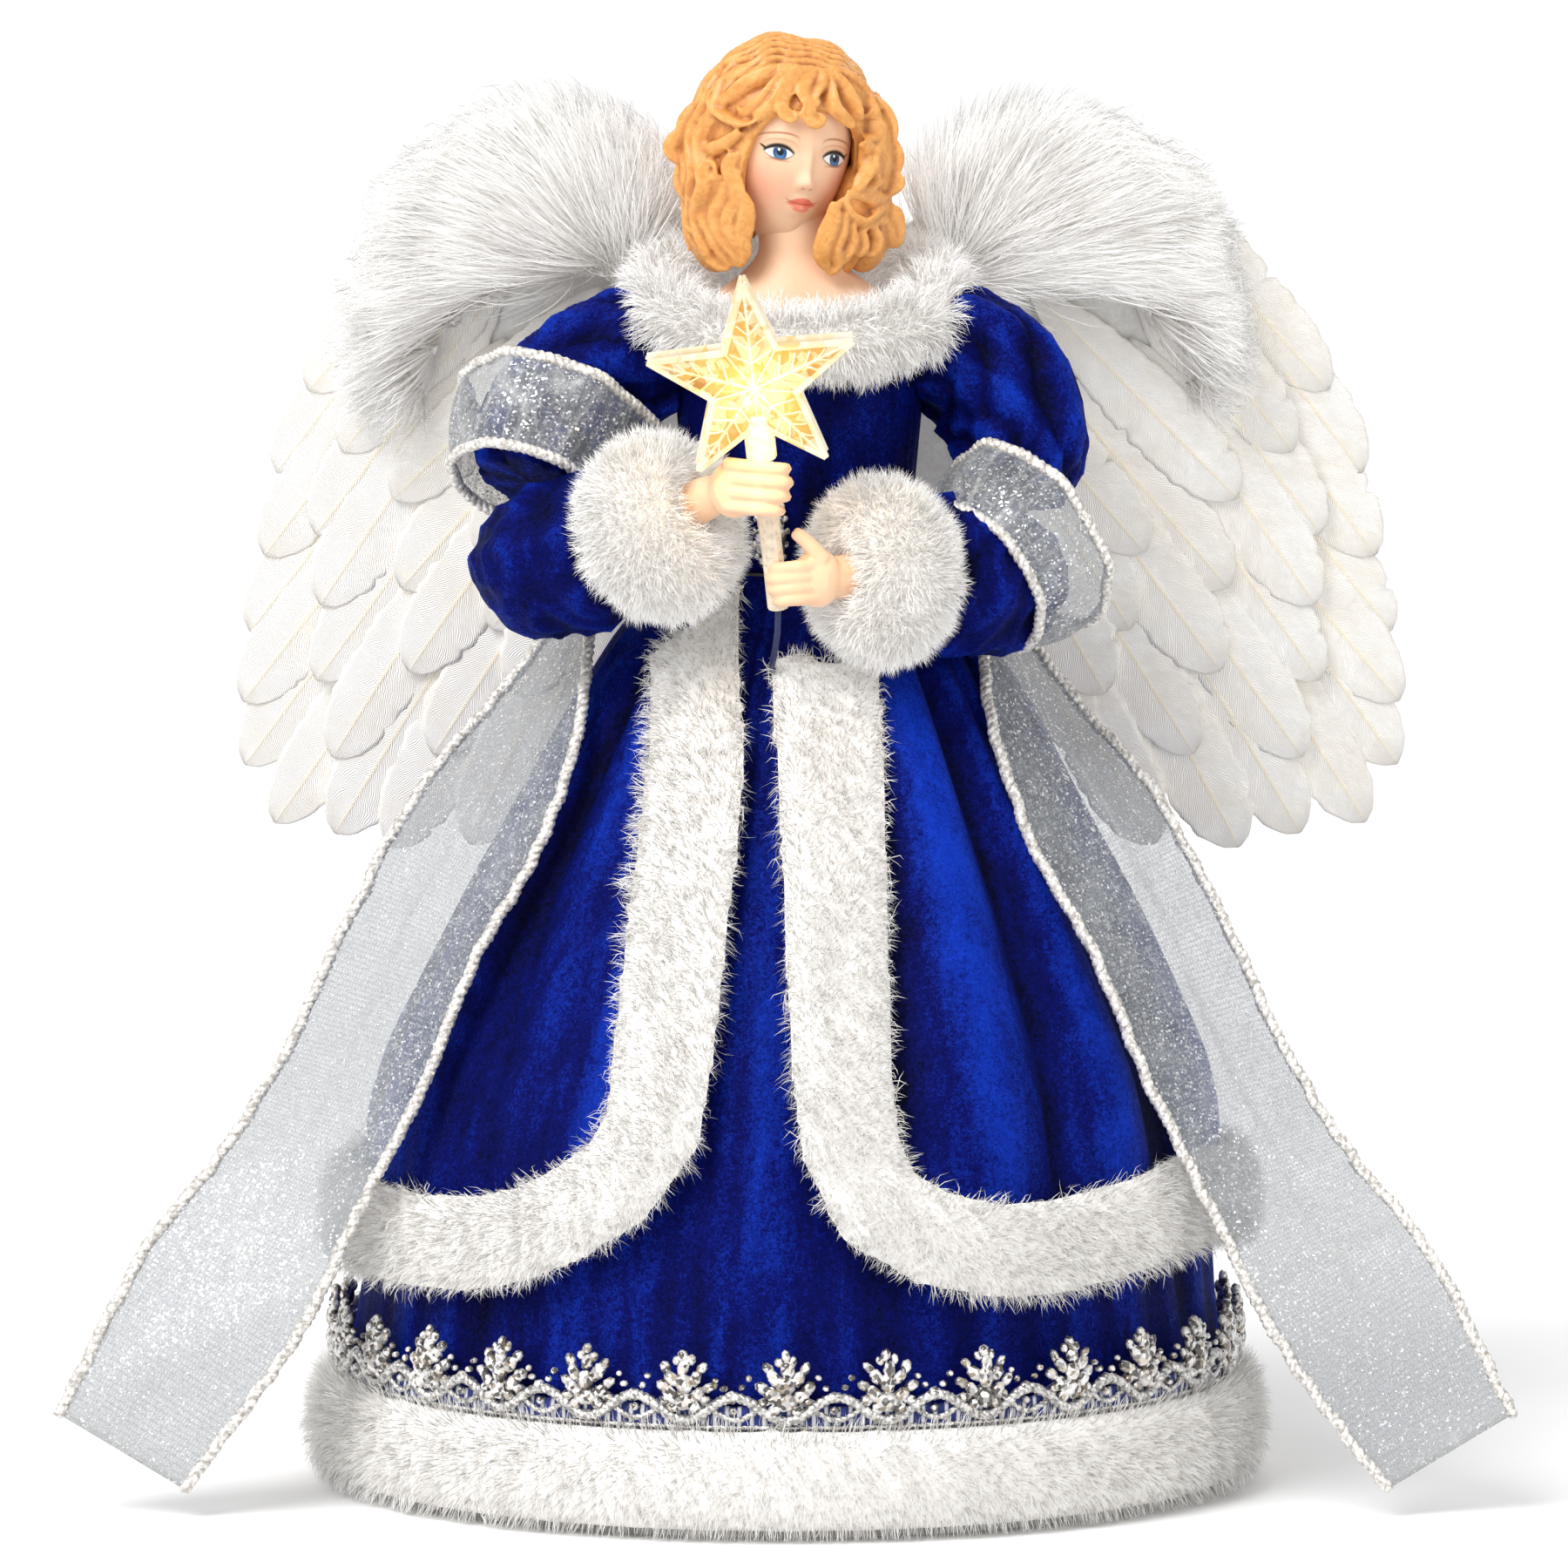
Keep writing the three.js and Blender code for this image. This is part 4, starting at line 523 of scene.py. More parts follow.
def wire(w, shader, **sockets):
    for key, value in sockets.items():
        w.tree.links.new(value, shader.inputs[key.replace("_", " ")])


MOTTLE = mottle_effect()
PAINTED_SPOT = painted_spot_effect()


def crushed_velvet(name, streak_width):
    """Crushed velvet with painted highlight on the folds' crests and painted shade in their hollows, from the kept
    crest mark, and nap in long soft random streaks down the cloth with a fine grain.
    """
    paint, w, shader, place = blank(
        name, 0.7, Specular_IOR_Level=0.06, Sheen_Weight=0.12, Sheen_Roughness=0.32, Sheen_Tint=(0.02, 0.14, 1.0, 1.0))
    # The darkest colour is painted shade for the folds' hollows and the brightest is painted highlight for their crests
    deep, mid, bright = (0.0003, 0.0006, 0.014), (0.0008, 0.0030, 0.098), (0.0035, 0.032, 0.40)
    crest = w.kept("crest").outputs["Fac"]
    hung = w.add("ShaderNodeMapping", {"Vector": place, "Scale": (1, 1, 0.22)}).outputs[0]
    streak = w.spread(w.noise(hung, streak_width, 3, 0.55, 0.7), 0.34, 0.70)
    nap = w.patches(place, 1.1, 0.4, 2.8)
    # The light share is mostly the crest mark's painted fold light and shade, with the random streaks and nap added
    light = w.plus(w.times(crest, 0.98), w.times(streak, 0.34))
    light = w.plus(light, w.times(w.less(nap["Mask"], 0.5), 0.46))
    colour = w.blend(w.spread(light, 0.12, 0.66), deep, mid)
    colour = w.blend(w.spread(light, 0.66, 1.30), colour, bright)
    wire(w, shader, Base_Color=colour, Roughness=w.spread(nap["Mask"], 0, 1, 0.8, 0.55),
         Normal=w.bump(nap["Height"], 0.55, 0.6))
    return paint


def plush(name, glow):
    """White strands, lit as the pelt that they grow from, with painted shade towards their roots and a painted glow
    that stands in for the light passing through them.
    """
    # The root colour is painted shade, darker where the strands crowd together at the pelt
    root, tip = (0.60, 0.57, 0.53), (0.955, 0.945, 0.925)
    paint, w, shader, place = blank(name, 0.7, Specular_IOR_Level=0.15, Emission_Strength=glow)
    share, tone, _ = w.split(w.kept("strand").outputs["Color"])
    pelt_way = w.kept("pelt_way").outputs["Vector"]
    own_way = w.add("ShaderNodeNewGeometry").outputs["Normal"]
    facing = w.add("ShaderNodeVectorMath", {0: pelt_way, 1: own_way}, operation="ADD").outputs[0]
    facing = w.add("ShaderNodeVectorMath", {0: facing}, operation="NORMALIZE").outputs[0]
    colour = w.blend(w.spread(share, 0.0, 0.75), root, tip)
    colour = w.blend(w.spread(tone, 0, 1, 0.0, 0.18), colour, (0.62, 0.59, 0.55))
    haze = w.spread(w.noise(place, 9), 0.35, 0.65, 0.0, 0.06)
    # Painted glow, dim at the roots and bright at the tips, standing in for light that passes through the strands
    through = w.blend(w.spread(share, 0.0, 0.8), (0.52, 0.49, 0.46), (0.99, 0.98, 0.965))
    wire(w, shader, Base_Color=w.blend(haze, colour, (0.84, 0.81, 0.78)), Emission_Color=through,
         Roughness=w.spread(tone, 0, 1, 0.6, 0.8), Normal=facing)
    return paint


def fur_backing():
    """Short dense nap under the strands, with a faint painted glow that lifts its shade."""
    paint, w, shader, place = blank("fur_backing", 0.9, Specular_IOR_Level=0.1, Emission_Strength=0.08)
    nap = w.patches(place, 2.2, 0.4, 1.6)
    colour = w.blend(nap["Mask"], (0.84, 0.81, 0.77), (0.95, 0.94, 0.92))
    wire(w, shader, Base_Color=colour, Emission_Color=colour, Normal=w.bump(nap["Height"], 0.6))
    return paint


def feather_vane():
    """Barbs run out and up from the quill, which lies along the middle of the piece's own map."""
    # The vane has a faint painted glow of its own colour
    paint, w, shader, place = blank("feather_vane", 0.7, Specular_IOR_Level=0.2, Emission_Strength=0.05)
    across, along, _ = w.own_map()
    from_quill = w.maths("ABSOLUTE", w.less(across, 0.5))
    slant = w.less(w.times(along, BARB_COUNT), w.times(from_quill, 34.0))
    jitter = w.times(w.noise(place, 5.0, 2), 5.0)
    barbs = w.spread(w.maths("SINE", w.times(w.plus(slant, jitter), FULL_WAVE)), -1, 1)
    tone = w.noise(place, 14.0, 3)
    colour = w.blend(w.spread(tone, 0.35, 0.65), (0.95, 0.905, 0.835), (0.985, 0.965, 0.925))
    colour = w.blend(w.times(barbs, 0.14), colour, (0.72, 0.64, 0.54))
    quill = w.spread(from_quill, 0.035, 0.012)
    colour = w.blend(quill, colour, (0.97, 0.88, 0.72))
    wire(w, shader, Base_Color=colour, Emission_Color=colour, Normal=w.bump(w.plus(barbs, quill), 0.22, 0.7),
         Roughness=w.spread(barbs, 0, 1, 0.6, 0.8))
    return paint


def satin_skin(name, painted=False):
    """Satin painted resin, a little soft in the light, with the face painted on where it is asked for."""
    paint, w, shader, place = blank(
        name, 0.45, Subsurface_Weight=0.15, Subsurface_Radius=(1.0, 0.35, 0.2), Subsurface_Scale=0.002, Coat_Weight=0.1,
        Coat_Roughness=0.35, Specular_IOR_Level=0.35)
    tone = w.noise(place, 7.0, 2)
    colour = w.blend(w.spread(tone, 0.3, 0.7), (0.87, 0.555, 0.355), (0.91, 0.61, 0.415))
    if painted:
        colour = face_paint(w, colour)
    fine = w.noise(place, 0.8, 2)
    wire(w, shader, Base_Color=colour, Roughness=w.spread(tone, 0.3, 0.7, 0.4, 0.52), Normal=w.bump(fine, 0.03))
    return paint


def face_paint(w, colour):
    """Blush, brows, lips and eyes, painted on the face's own map, whose middle is 0.5, 0.5."""
    own = w.add("ShaderNodeUVMap").outputs[0]

    def spot(x, y, wide, tall, turn=0.0, soft=0.15):
        return w.group(PAINTED_SPOT, {
            "Vector": own, "Across": 0.5 + 0.5 * x, "Up": 0.5 + 0.5 * y, "Half width": 0.5 * wide,
            "Half height": 0.5 * tall, "Turn": turn, "Softness": soft}).outputs[0]

    def almond(x, y, wide, tall, turn=0.0, soft=0.06):
        """What two taller ovals share, one set up and one set down."""
        upper, lower = (spot(x, y + rise, wide * 1.155, tall * 2, turn, soft) for rise in (tall, -tall))
        return w.times(lower, upper)

    def bow(x, y, wide, tall, drop, turn=0.0):
        """A thin crescent, as an oval less the same oval set lower."""
        cut = spot(x, y - drop, wide * 1.06, tall, turn, 0.10)
        return w.times(spot(x, y, wide, tall, turn, 0.12), w.less(1.0, cut))

    for side, across, wide in ((-1, 0.457, 0.210), (1, 0.478, 0.232)):
        x = side * across
        tilt = -side * 0.04
        iris = x - side * 0.004 + 0.004
        white = almond(x, -0.034, wide * 0.96, 0.054, tilt)
        lid_line = bow(x - side * 0.01, 0.040, wide * 1.12, 0.085, 0.014, tilt)
        brow = bow(side * 0.49, 0.115, 0.285, 0.080, 0.020, -side * 0.10)
        # Blush, lid shade, lid line, brow, lash at the corner, lashes, lower lid, white of the eye
        for mask, shade in (
            (w.times(spot(side * 0.62, -0.37, 0.30, 0.20, 0, 0.85), 0.42), (0.84, 0.27, 0.18)),
            (w.times(spot(x, 0.055, wide * 1.1, 0.085, 0, 0.6), 0.30), (0.66, 0.34, 0.20)),
            (w.times(lid_line, 0.65), (0.50, 0.22, 0.11)),
            (w.times(brow, 0.95), (0.40, 0.135, 0.04)),
            (spot(x + side * wide * 1.02, 0.004, 0.060, 0.012, side * 0.42, 0.25), (0.012, 0.008, 0.008)),
            (almond(x, -0.018, wide * 1.07, 0.086, tilt), (0.012, 0.008, 0.008)),
            (w.times(spot(x, -0.105, wide * 0.8, 0.012, 0, 0.3), 0.5), (0.42, 0.16, 0.09)),
            (white, (0.90, 0.885, 0.87)),
        ):
            colour = w.blend(mask, colour, shade)
        # Rim, colour and light of the iris, and the pupil
        for shade, broad, tall, y, soft in (
            ((0.006, 0.022, 0.07), 0.100, 0.080, -0.028, 0.08), ((0.020, 0.095, 0.26), 0.082, 0.066, -0.034, 0.25),
            ((0.055, 0.21, 0.45), 0.058, 0.030, -0.062, 0.6), ((0.003, 0.003, 0.006), 0.050, 0.040, -0.020, 0.12),
        ):
            colour = w.blend(w.times(spot(iris, y, broad, tall, 0, soft), white), colour, shade)
        colour = w.blend(spot(iris - 0.016, 0.002, 0.018, 0.014, 0, 0.3), colour, (1, 1, 1))
        nostril = spot(side * 0.062 + 0.012, -0.345, 0.036, 0.013, 0, 0.5)
        colour = w.blend(w.times(nostril, 0.55), colour, (0.42, 0.14, 0.09))
    # The bow of the upper lip on both sides, both lips, the lower lip, the line between them and its shine
    for mask, shade in (
        (spot(0.02 - 0.085, -0.474, 0.115, 0.030, 0.20, 0.22), (0.78, 0.185, 0.115)),
        (spot(0.02 + 0.085, -0.474, 0.115, 0.030, -0.20, 0.22), (0.78, 0.185, 0.115)),
        (almond(0.02, -0.498, 0.265, 0.034, 0, 0.12), (0.80, 0.20, 0.125)),
        (spot(0.02, -0.535, 0.150, 0.040, 0, 0.22), (0.86, 0.26, 0.17)),
        (w.times(bow(0.02, -0.452, 0.275, 0.052, -0.011), 0.85), (0.42, 0.06, 0.04)),
        (w.times(spot(0.03, -0.540, 0.055, 0.012, 0, 0.6), 0.6), (0.96, 0.52, 0.42)),
    ):
        colour = w.blend(mask, colour, shade)
    return colour


def moulded_hair():
    """Painted resin, with painted shade in the grooves between the locks."""
    paint, w, shader, place = blank("moulded_hair", 0.4, Coat_Weight=0.12, Coat_Roughness=0.3, Specular_IOR_Level=0.4)
    # The groove mark darkens the colour as painted shade
    deep = w.spread(w.kept("groove").outputs["Fac"], 0.42, 0.95)
    streak = w.spread(w.noise(place, 2.6, 3, 0.6, 1.0), 0.36, 0.64)
    colour = w.blend(streak, (0.70, 0.30, 0.072), (0.84, 0.41, 0.125))
    wire(w, shader, Base_Color=w.blend(deep, colour, (0.38, 0.115, 0.020)),
         Roughness=w.spread(streak, 0, 1, 0.34, 0.48), Normal=w.bump(streak, 0.07, 0.6))
    return paint


def sheer_glitter(name, cover, tone):
    """Open silver mesh with specks of glitter, and denser creases kept on the piece."""
    paint, w, shader, place = blank(name, 0.4, 0.3, Specular_IOR_Level=0.3)
    crease = w.kept("crease").outputs["Fac"]
    across, along, _ = w.own_map()
    threads = [w.maths("SINE", w.times(share, FULL_WAVE * count)) for share, count in ((across, 46.0), (along, 300.0))]
    weave = w.spread(w.maths("MAXIMUM", *threads), 0.1, 0.9, 0.0, 1.0)
    sparkle = w.spread(w.split(w.cells(place, 0.55, output="Color"))[0], 0.925, 0.95)
    worms = w.spread(w.noise(place, 1.5, 2, 0.5, 1.6), 0.50, 0.60)
    folds = w.spread(w.noise(place, 14.0, 2, 0.5, 0.6), 0.3, 0.7)
    alpha = w.plus(w.times(weave, 0.16), cover - 0.14)
    alpha = w.plus(alpha, w.times(worms, 0.22))
    alpha = w.plus(alpha, w.times(folds, 0.12))
    alpha = w.maths("MAXIMUM", alpha, w.times(sparkle, 0.9))
    alpha = w.plus(alpha, w.times(crease, 0.45), clamp=True)
    colour = w.blend(folds, (tone * 0.82, tone * 0.87, tone * 0.92), (tone * 1.12, tone * 1.17, tone * 1.22))
    colour = w.blend(w.times(worms, 0.5), colour, (0.62, 0.64, 0.66))
    colour = w.blend(sparkle, colour, (0.97, 0.97, 1.0))
    colour = w.blend(w.times(crease, 0.6), colour, (0.80, 0.79, 0.77))
    wire(w, shader, Base_Color=colour, Alpha=alpha, Roughness=w.spread(sparkle, 0, 1, 0.5, 0.2),
         Metallic=w.spread(sparkle, 0, 1, 0.2, 0.8), Normal=w.bump(w.plus(worms, sparkle), 0.2, 0.7))
    return paint


def pearl_braid(name, low, high, metallic):
    """Thread covered wire with small bright grains."""
    paint, w, shader, place = blank(name, 0.35, metallic, Coat_Weight=0.3, Coat_Roughness=0.2)
    grain = w.noise(place, 1.3, 2)
    rows = w.cells(place, 0.9)
    colour = w.blend(w.spread(grain, 0.38, 0.60), low, high)
    wire(w, shader, Base_Color=colour, Roughness=w.spread(grain, 0.3, 0.7, 0.25, 0.5), Normal=w.bump(rows, 0.3, 0.8))
    return paint


def blue_tape():
    """Blue woven tape with a silver thread in it."""
    paint, w, shader, place = blank("blue_tape", 0.6, Sheen_Weight=0.3)
    across, _, _ = w.own_map()
    thread = w.spread(w.maths("SINE", w.times(across, FULL_WAVE * 230)), 0.25, 0.7)
    tone = w.noise(place, 3.0, 2)
    colour = w.blend(w.spread(tone, 0.3, 0.7), (0.004, 0.010, 0.10), (0.012, 0.035, 0.30))
    wire(w, shader, Base_Color=w.blend(thread, colour, (0.74, 0.75, 0.80)), Metallic=w.times(thread, 0.3),
         Roughness=w.spread(thread, 0, 1, 0.7, 0.3), Normal=w.bump(thread, 0.3))
    return paint


def crystal():
    """Set stones and cast silver, with painted reflections: bright and dark facets close together."""
    paint, w, shader, place = blank("crystal_bead", 0.15, 0.35, Coat_Weight=0.5)
    shade = w.split(w.cells(place, 1.15, output="Color"))
    bright = w.spread(shade[0], 0.30, 0.62)
    warm = w.spread(shade[1], 0.72, 0.85, 0.0, 0.5)
    # Bright and dark facets are painted reflections
    colour = w.blend(bright, (0.10, 0.09, 0.08), (0.84, 0.83, 0.82))
    colour = w.blend(warm, colour, (0.62, 0.50, 0.36))
    wire(w, shader, Base_Color=colour, Roughness=w.spread(shade[2], 0, 1, 0.08, 0.3))
    return paint


def lit_star(name, shades, glow):
    """Clear warm plastic in facets, with the lamp's light in it, strongest just under the middle."""
    paint, w, shader, place = blank(
        name, 0.16, Transmission_Weight=0.15, IOR=1.3, Coat_Weight=0.25, Emission_Strength=1.0)
    facet, shard = (w.split(w.cells(place, size, output="Color")) for size in (5.2, 1.9))
    low, middle, high = shades
    colour = w.blend(w.spread(facet[0], 0.12, 0.42), low, middle)
    glint = w.plus(w.times(facet[1], 0.55), w.times(shard[0], 0.45))
    colour = w.blend(w.spread(glint, 0.42, 0.62), colour, high)
    lamp = w.add("ShaderNodeVectorMath", {0: place, 1: tuple(c * MM for c in STAR_HOT_SPOT)}, operation="DISTANCE")
    near = w.times(lamp.outputs["Value"], 1 / (3.4 * MM))
    fall = w.maths("POWER", EULER, w.times(w.maths("POWER", near, 1.5), -1.0))
    wide = w.maths("POWER", EULER, w.times(w.times(near, near), -0.07))
    glowing = w.blend(1.0, colour, (glow, glow, glow), "MULTIPLY")
    glowing = w.blend(w.times(wide, 0.42), glowing, (1.0, 0.72, 0.26))
    glowing = w.blend(fall, glowing, (1.0, 0.97, 0.86))
    body = w.blend(1.0, colour, (0.40, 0.40, 0.40), "MULTIPLY")
    ripple = w.noise(place, 2.4, 2)
    wire(w, shader, Base_Color=body, Emission_Color=glowing, Roughness=w.spread(ripple, 0.3, 0.7, 0.1, 0.26),
         Normal=w.bump(ripple, 0.12, 0.5))
    return paint


def frosted_tube(name, glow):
    """Frosted plastic that carries some of the lamp's light."""
    paint, w, shader, place = blank(name, 0.3, Transmission_Weight=0.2, IOR=1.4, Emission_Strength=0.6)
    haze = w.noise(place, 2.0, 3)
    wire(w, shader, Base_Color=w.blend(w.spread(haze, 0.3, 0.7), (0.62, 0.55, 0.46), (0.80, 0.74, 0.64)),
         Emission_Color=w.blend(w.spread(haze, 0.3, 0.7), tuple(0.5 * c for c in glow), glow),
         Roughness=w.spread(haze, 0.3, 0.7, 0.2, 0.45))
    return paint


def lamp_glass():
    """The lit bulb."""
    paint, w, shader, place = blank("lamp_glass", 0.15, Emission_Strength=2.5)
    heart = w.noise(place, 2.0, 1)
    wire(w, shader, Base_Color=w.blend(heart, (1.0, 0.75, 0.35), (1.0, 0.92, 0.7)),
         Emission_Color=w.blend(heart, (1.0, 0.62, 0.2), (1.0, 0.8, 0.45)))
    return paint


def moulded(name, low, high, roughness=0.45, metallic=0.0, patch=4.0, depth=0.05, scratch=0.0):
    """Moulded plastic, card or sheet metal: soft tone, fine grain and faint scratches."""
    paint, w, shader, place = blank(name, roughness, metallic)
    nap = w.patches(place, patch, 0.35, 2.0)
    stretched = w.add("ShaderNodeMapping", {"Vector": place, "Scale": (1, 1, 0.06)}).outputs[0]
    scrape = w.spread(w.noise(stretched, 0.6, 2), 0.62, 0.72, 0.0, scratch)
    colour = w.blend(nap["Mask"], low, high)
    wire(w, shader, Base_Color=w.blend(scrape, colour, tuple(0.5 * c for c in low)),
         Roughness=w.spread(nap["Mask"], 0, 1, roughness + 0.08, roughness - 0.08),
         Normal=w.bump(nap["Height"], depth))
    return paint


# ---------------------------------------------------------------- fur

# Painted glow in each plush, strongest in the one for the cuffs, collar and wing fluff, to lift the shade in their pile
PLUSH = plush("plush_fur", 0.08)
GLOWING_PLUSH = plush("glowing_plush", 0.21)
HEM_PLUSH = plush("hem_plush", 0.05)
BACKING = fur_backing()


def sown(piece, count, rng):
    """Even random places on a piece, with their face's direction, in millimetres."""
    mesh = bmesh.new()
    mesh.from_mesh(piece.data)
    bmesh.ops.triangulate(mesh, faces=mesh.faces[:])
    corners = np.array([[v.co[:] for v in face.verts] for face in mesh.faces]) / MM
    facing = np.array([[v.normal[:] for v in face.verts] for face in mesh.faces])
    mesh.free()
    areas = length_of(np.cross(corners[:, 1] - corners[:, 0], corners[:, 2] - corners[:, 0]))[:, 0]
    chosen = rng.choice(len(corners), size=count, p=areas / areas.sum())
    a, b = rng.random((2, count, 1))
    a, b = np.where(a + b > 1, 1 - a, a), np.where(a + b > 1, 1 - b, b)
    share = np.concatenate([1 - a - b, a, b], axis=1)[:, :, None]
    return (corners[chosen] * share).sum(axis=1), unit((facing[chosen] * share).sum(axis=1))


def strand_mesh(name, points, stations):
    """Tapered strands as one mesh: a pair of points at every station of each, and one at its tip."""
    count, per = points.shape[:2]
    base = (np.arange(count) * per)[:, None]
    quads = [base + np.array([2 * k, 2 * k + 1, 2 * k + 3, 2 * k + 2]) for k in range(stations - 1)]
    tips = base + np.array([per - 3, per - 2, per - 1])
    corners = np.concatenate([part.ravel() for part in quads] + [tips.ravel()])
    sizes = np.concatenate([np.full(count * (stations - 1), 4), np.full(count, 3)])
    mesh = bpy.data.meshes.new(name)
    mesh.vertices.add(count * per)
    mesh.vertices.foreach_set("co", (points * MM).astype(np.float32).ravel())
    mesh.loops.add(len(corners))
    mesh.loops.foreach_set("vertex_index", corners.astype(np.int32))
    mesh.polygons.add(len(sizes))
    mesh.polygons.foreach_set("loop_start", np.concatenate([[0], np.cumsum(sizes)[:-1]]).astype(np.int32))
    mesh.polygons.foreach_set("loop_total", sizes.astype(np.int32))
    mesh.update(calc_edges=True)
    mesh.validate()
    piece = bpy.data.objects.new(name, mesh)
    scene.collection.objects.link(piece)
    return piece


def pelt(name, backing, count, length, width=0.27, tuft=2.6, gather=0.35, comb=(0, 0, -0.35), ruffle=0.30, stations=2,
         seed=1, keep=None, lowest=None, stand=1.0, lift=0.5, confine=None):
    """Tapered strands rooted on a backing, gathered into tufts and combed one way."""
    rng = np.random.default_rng(seed)
    roots, out = sown(backing, count, rng)
    if keep is not None:
        kept = keep(roots)
        roots, out = roots[kept], out[kept]
    count = len(roots)
    lean = comb(roots) if callable(comb) else np.broadcast_to(np.asarray(comb, float), roots.shape)
    swirl = np.stack([wave_noise(roots, 16, seed + k) for k in (11, 12, 13)], axis=1)
    way = unit(out * stand + lean + 0.18 * swirl + rng.normal(size=(count, 3)) * ruffle)
    reach = length * rng.uniform(0.72, 1.12, (count, 1)) * (1 + 0.12 * wave_noise(roots, 9, seed + 20)[:, None])
    middles = rng.choice(count, size=max(8, int(count / max(6.0, 0.9 * tuft ** 2))), replace=False)
    tree = kdtree.KDTree(len(middles))
    for k, i in enumerate(middles):
        tree.insert(roots[i], k)
    tree.balance()
    nearest = middles[np.array([tree.find(root)[1] for root in roots])]
    tuft_tip = roots[nearest] + way[nearest] * reach * 1.05
    tip = roots + way * reach
    pull = gather * rng.uniform(0.5, 1.1, (count, 1))
    tip = tip + (tuft_tip - tip) * pull
    if confine is not None:
        tip = confine(tip, rng)
    rise = roots + (out * lift + way * (0.5 - 0.5 * lift)) * reach
    side = unit(np.cross(tip - roots, rng.normal(size=(count, 3))))
    curl = unit(np.cross(tip - roots, side)) * reach * rng.normal(size=(count, 1)) * 0.08
    rows = []
    for k in range(stations):
        t = k / stations
        middle = (1 - t) ** 2 * (roots - out * 0.6) + 2 * t * (1 - t) * (rise + curl) + t ** 2 * tip
        half = side * width * 0.5 * (1 - 0.7 * t) * rng.uniform(0.8, 1.2, (count, 1))
        rows += [middle - half, middle + half]
    rows.append(tip)
    points = np.stack(rows, axis=1)
    # Strands that reach the floor end a little above it, each row of points on its own height
    if lowest is not None:
        points[:, :, 2] = np.maximum(points[:, :, 2], lowest + 0.04 * np.arange(points.shape[1])[None, ::-1])
    per = points.shape[1]
    piece = strand_mesh(name, points, stations)
    along = np.repeat(np.arange(stations + 1) / stations, [2] * stations + [1])
    tone = rng.random(count)
    strand = np.stack([np.tile(along, count), np.repeat(tone, per), np.zeros(count * per)], axis=1)
    # The share along each strand lets the plush paint shade towards the root and glow towards the tip
    mark(piece, "strand", strand)
    facing = unit(out * (1, 1, 0.6) + 0.25 * way + 0.20 * rng.normal(size=(count, 3)) + (0, 0, 0.15))
    layer = piece.data.attributes.new("pelt_way", "FLOAT_VECTOR", "POINT")
    layer.data.foreach_set("vector", np.repeat(facing, per, axis=0).astype(np.float32).ravel())
    return smooth(piece)


def furred(node, count, length, voxel=1.6, drawn_in=1.6, fill=0.9, hold=None, paint=PLUSH, **pile):
    """A padded fur piece: an even backing drawn in under the frame's skin, with its pile."""
    backing = copy_of(node, f"{node}_backing", voxel=voxel, grow=-drawn_in, softening=4)
    if hold is not None:
        move_points(backing, hold(points_of(backing)))
        smooth(backing)
    pile_piece = pelt(f"{node}_pile", backing, count, length, **pile)
    settle(backing, BACKING, stands_for=(node,))
    settle(pile_piece, paint, stands_for=(node,))
    return backing, pile_piece


def closed_behind(points):
    """Brings the two bands' ends together at the back."""
    closed = points.copy()
    away = points[:, 0] - 0.21 * OFFSET
    near = np.clip(1 - np.abs(away) / 12, 0, 1) * (points[:, 1] > 60)
    closed[:, 0] -= np.sign(away) * 1.9 * near
    return closed


def lifted_foot(points):
    """Clears the floor and brings the roll's top up to the trim."""
    lifted = points.copy()
    lifted[:, 2] = np.maximum(lifted[:, 2], 2.8) + 3.4 * np.clip((lifted[:, 2] - 13) / 11, 0, 1)
    return lifted


def above_foot(roots):
    return roots[:, 2] > 3.1


def down_and_out(roots):
    """Strands hang a little and stand up against the trim above."""
    lean = np.zeros_like(roots)
    lean[:, 2] = np.interp(roots[:, 2], [5, 12, 24, 29], [-1.4, -0.4, -0.1, 0.5])
    return lean + unit(roots * (1, 1, 0)) * np.interp(roots[:, 2], [24, 29], [0.0, 0.3])[:, None]


furred("hem_fur", 46000, 6.2, voxel=2.4, drawn_in=2.2, hold=lifted_foot, keep=above_foot, paint=HEM_PLUSH,
       comb=down_and_out, lowest=0.7, seed=3)
for side, seed in (("left", 5), ("right", 7)):
    furred(f"coat_fur_{side}", 35500, 6.4, hold=closed_behind, comb=(0, -0.05, -0.30), ruffle=0.36, seed=seed)
furred("collar_fur", 26000, 8.6, drawn_in=2.2, paint=GLOWING_PLUSH, comb=(0, -0.10, -0.30), tuft=3.2, gather=0.45,
       ruffle=0.36, stations=3, seed=9)
for side, seed in (("left", 11), ("right", 13)):
    furred(f"cuff_fur_{side}", 20500, 6.0, paint=GLOWING_PLUSH, comb=(0, -0.1, -0.15), ruffle=0.34, seed=seed)


# ---------------------------------------------------------------- skirt and coat

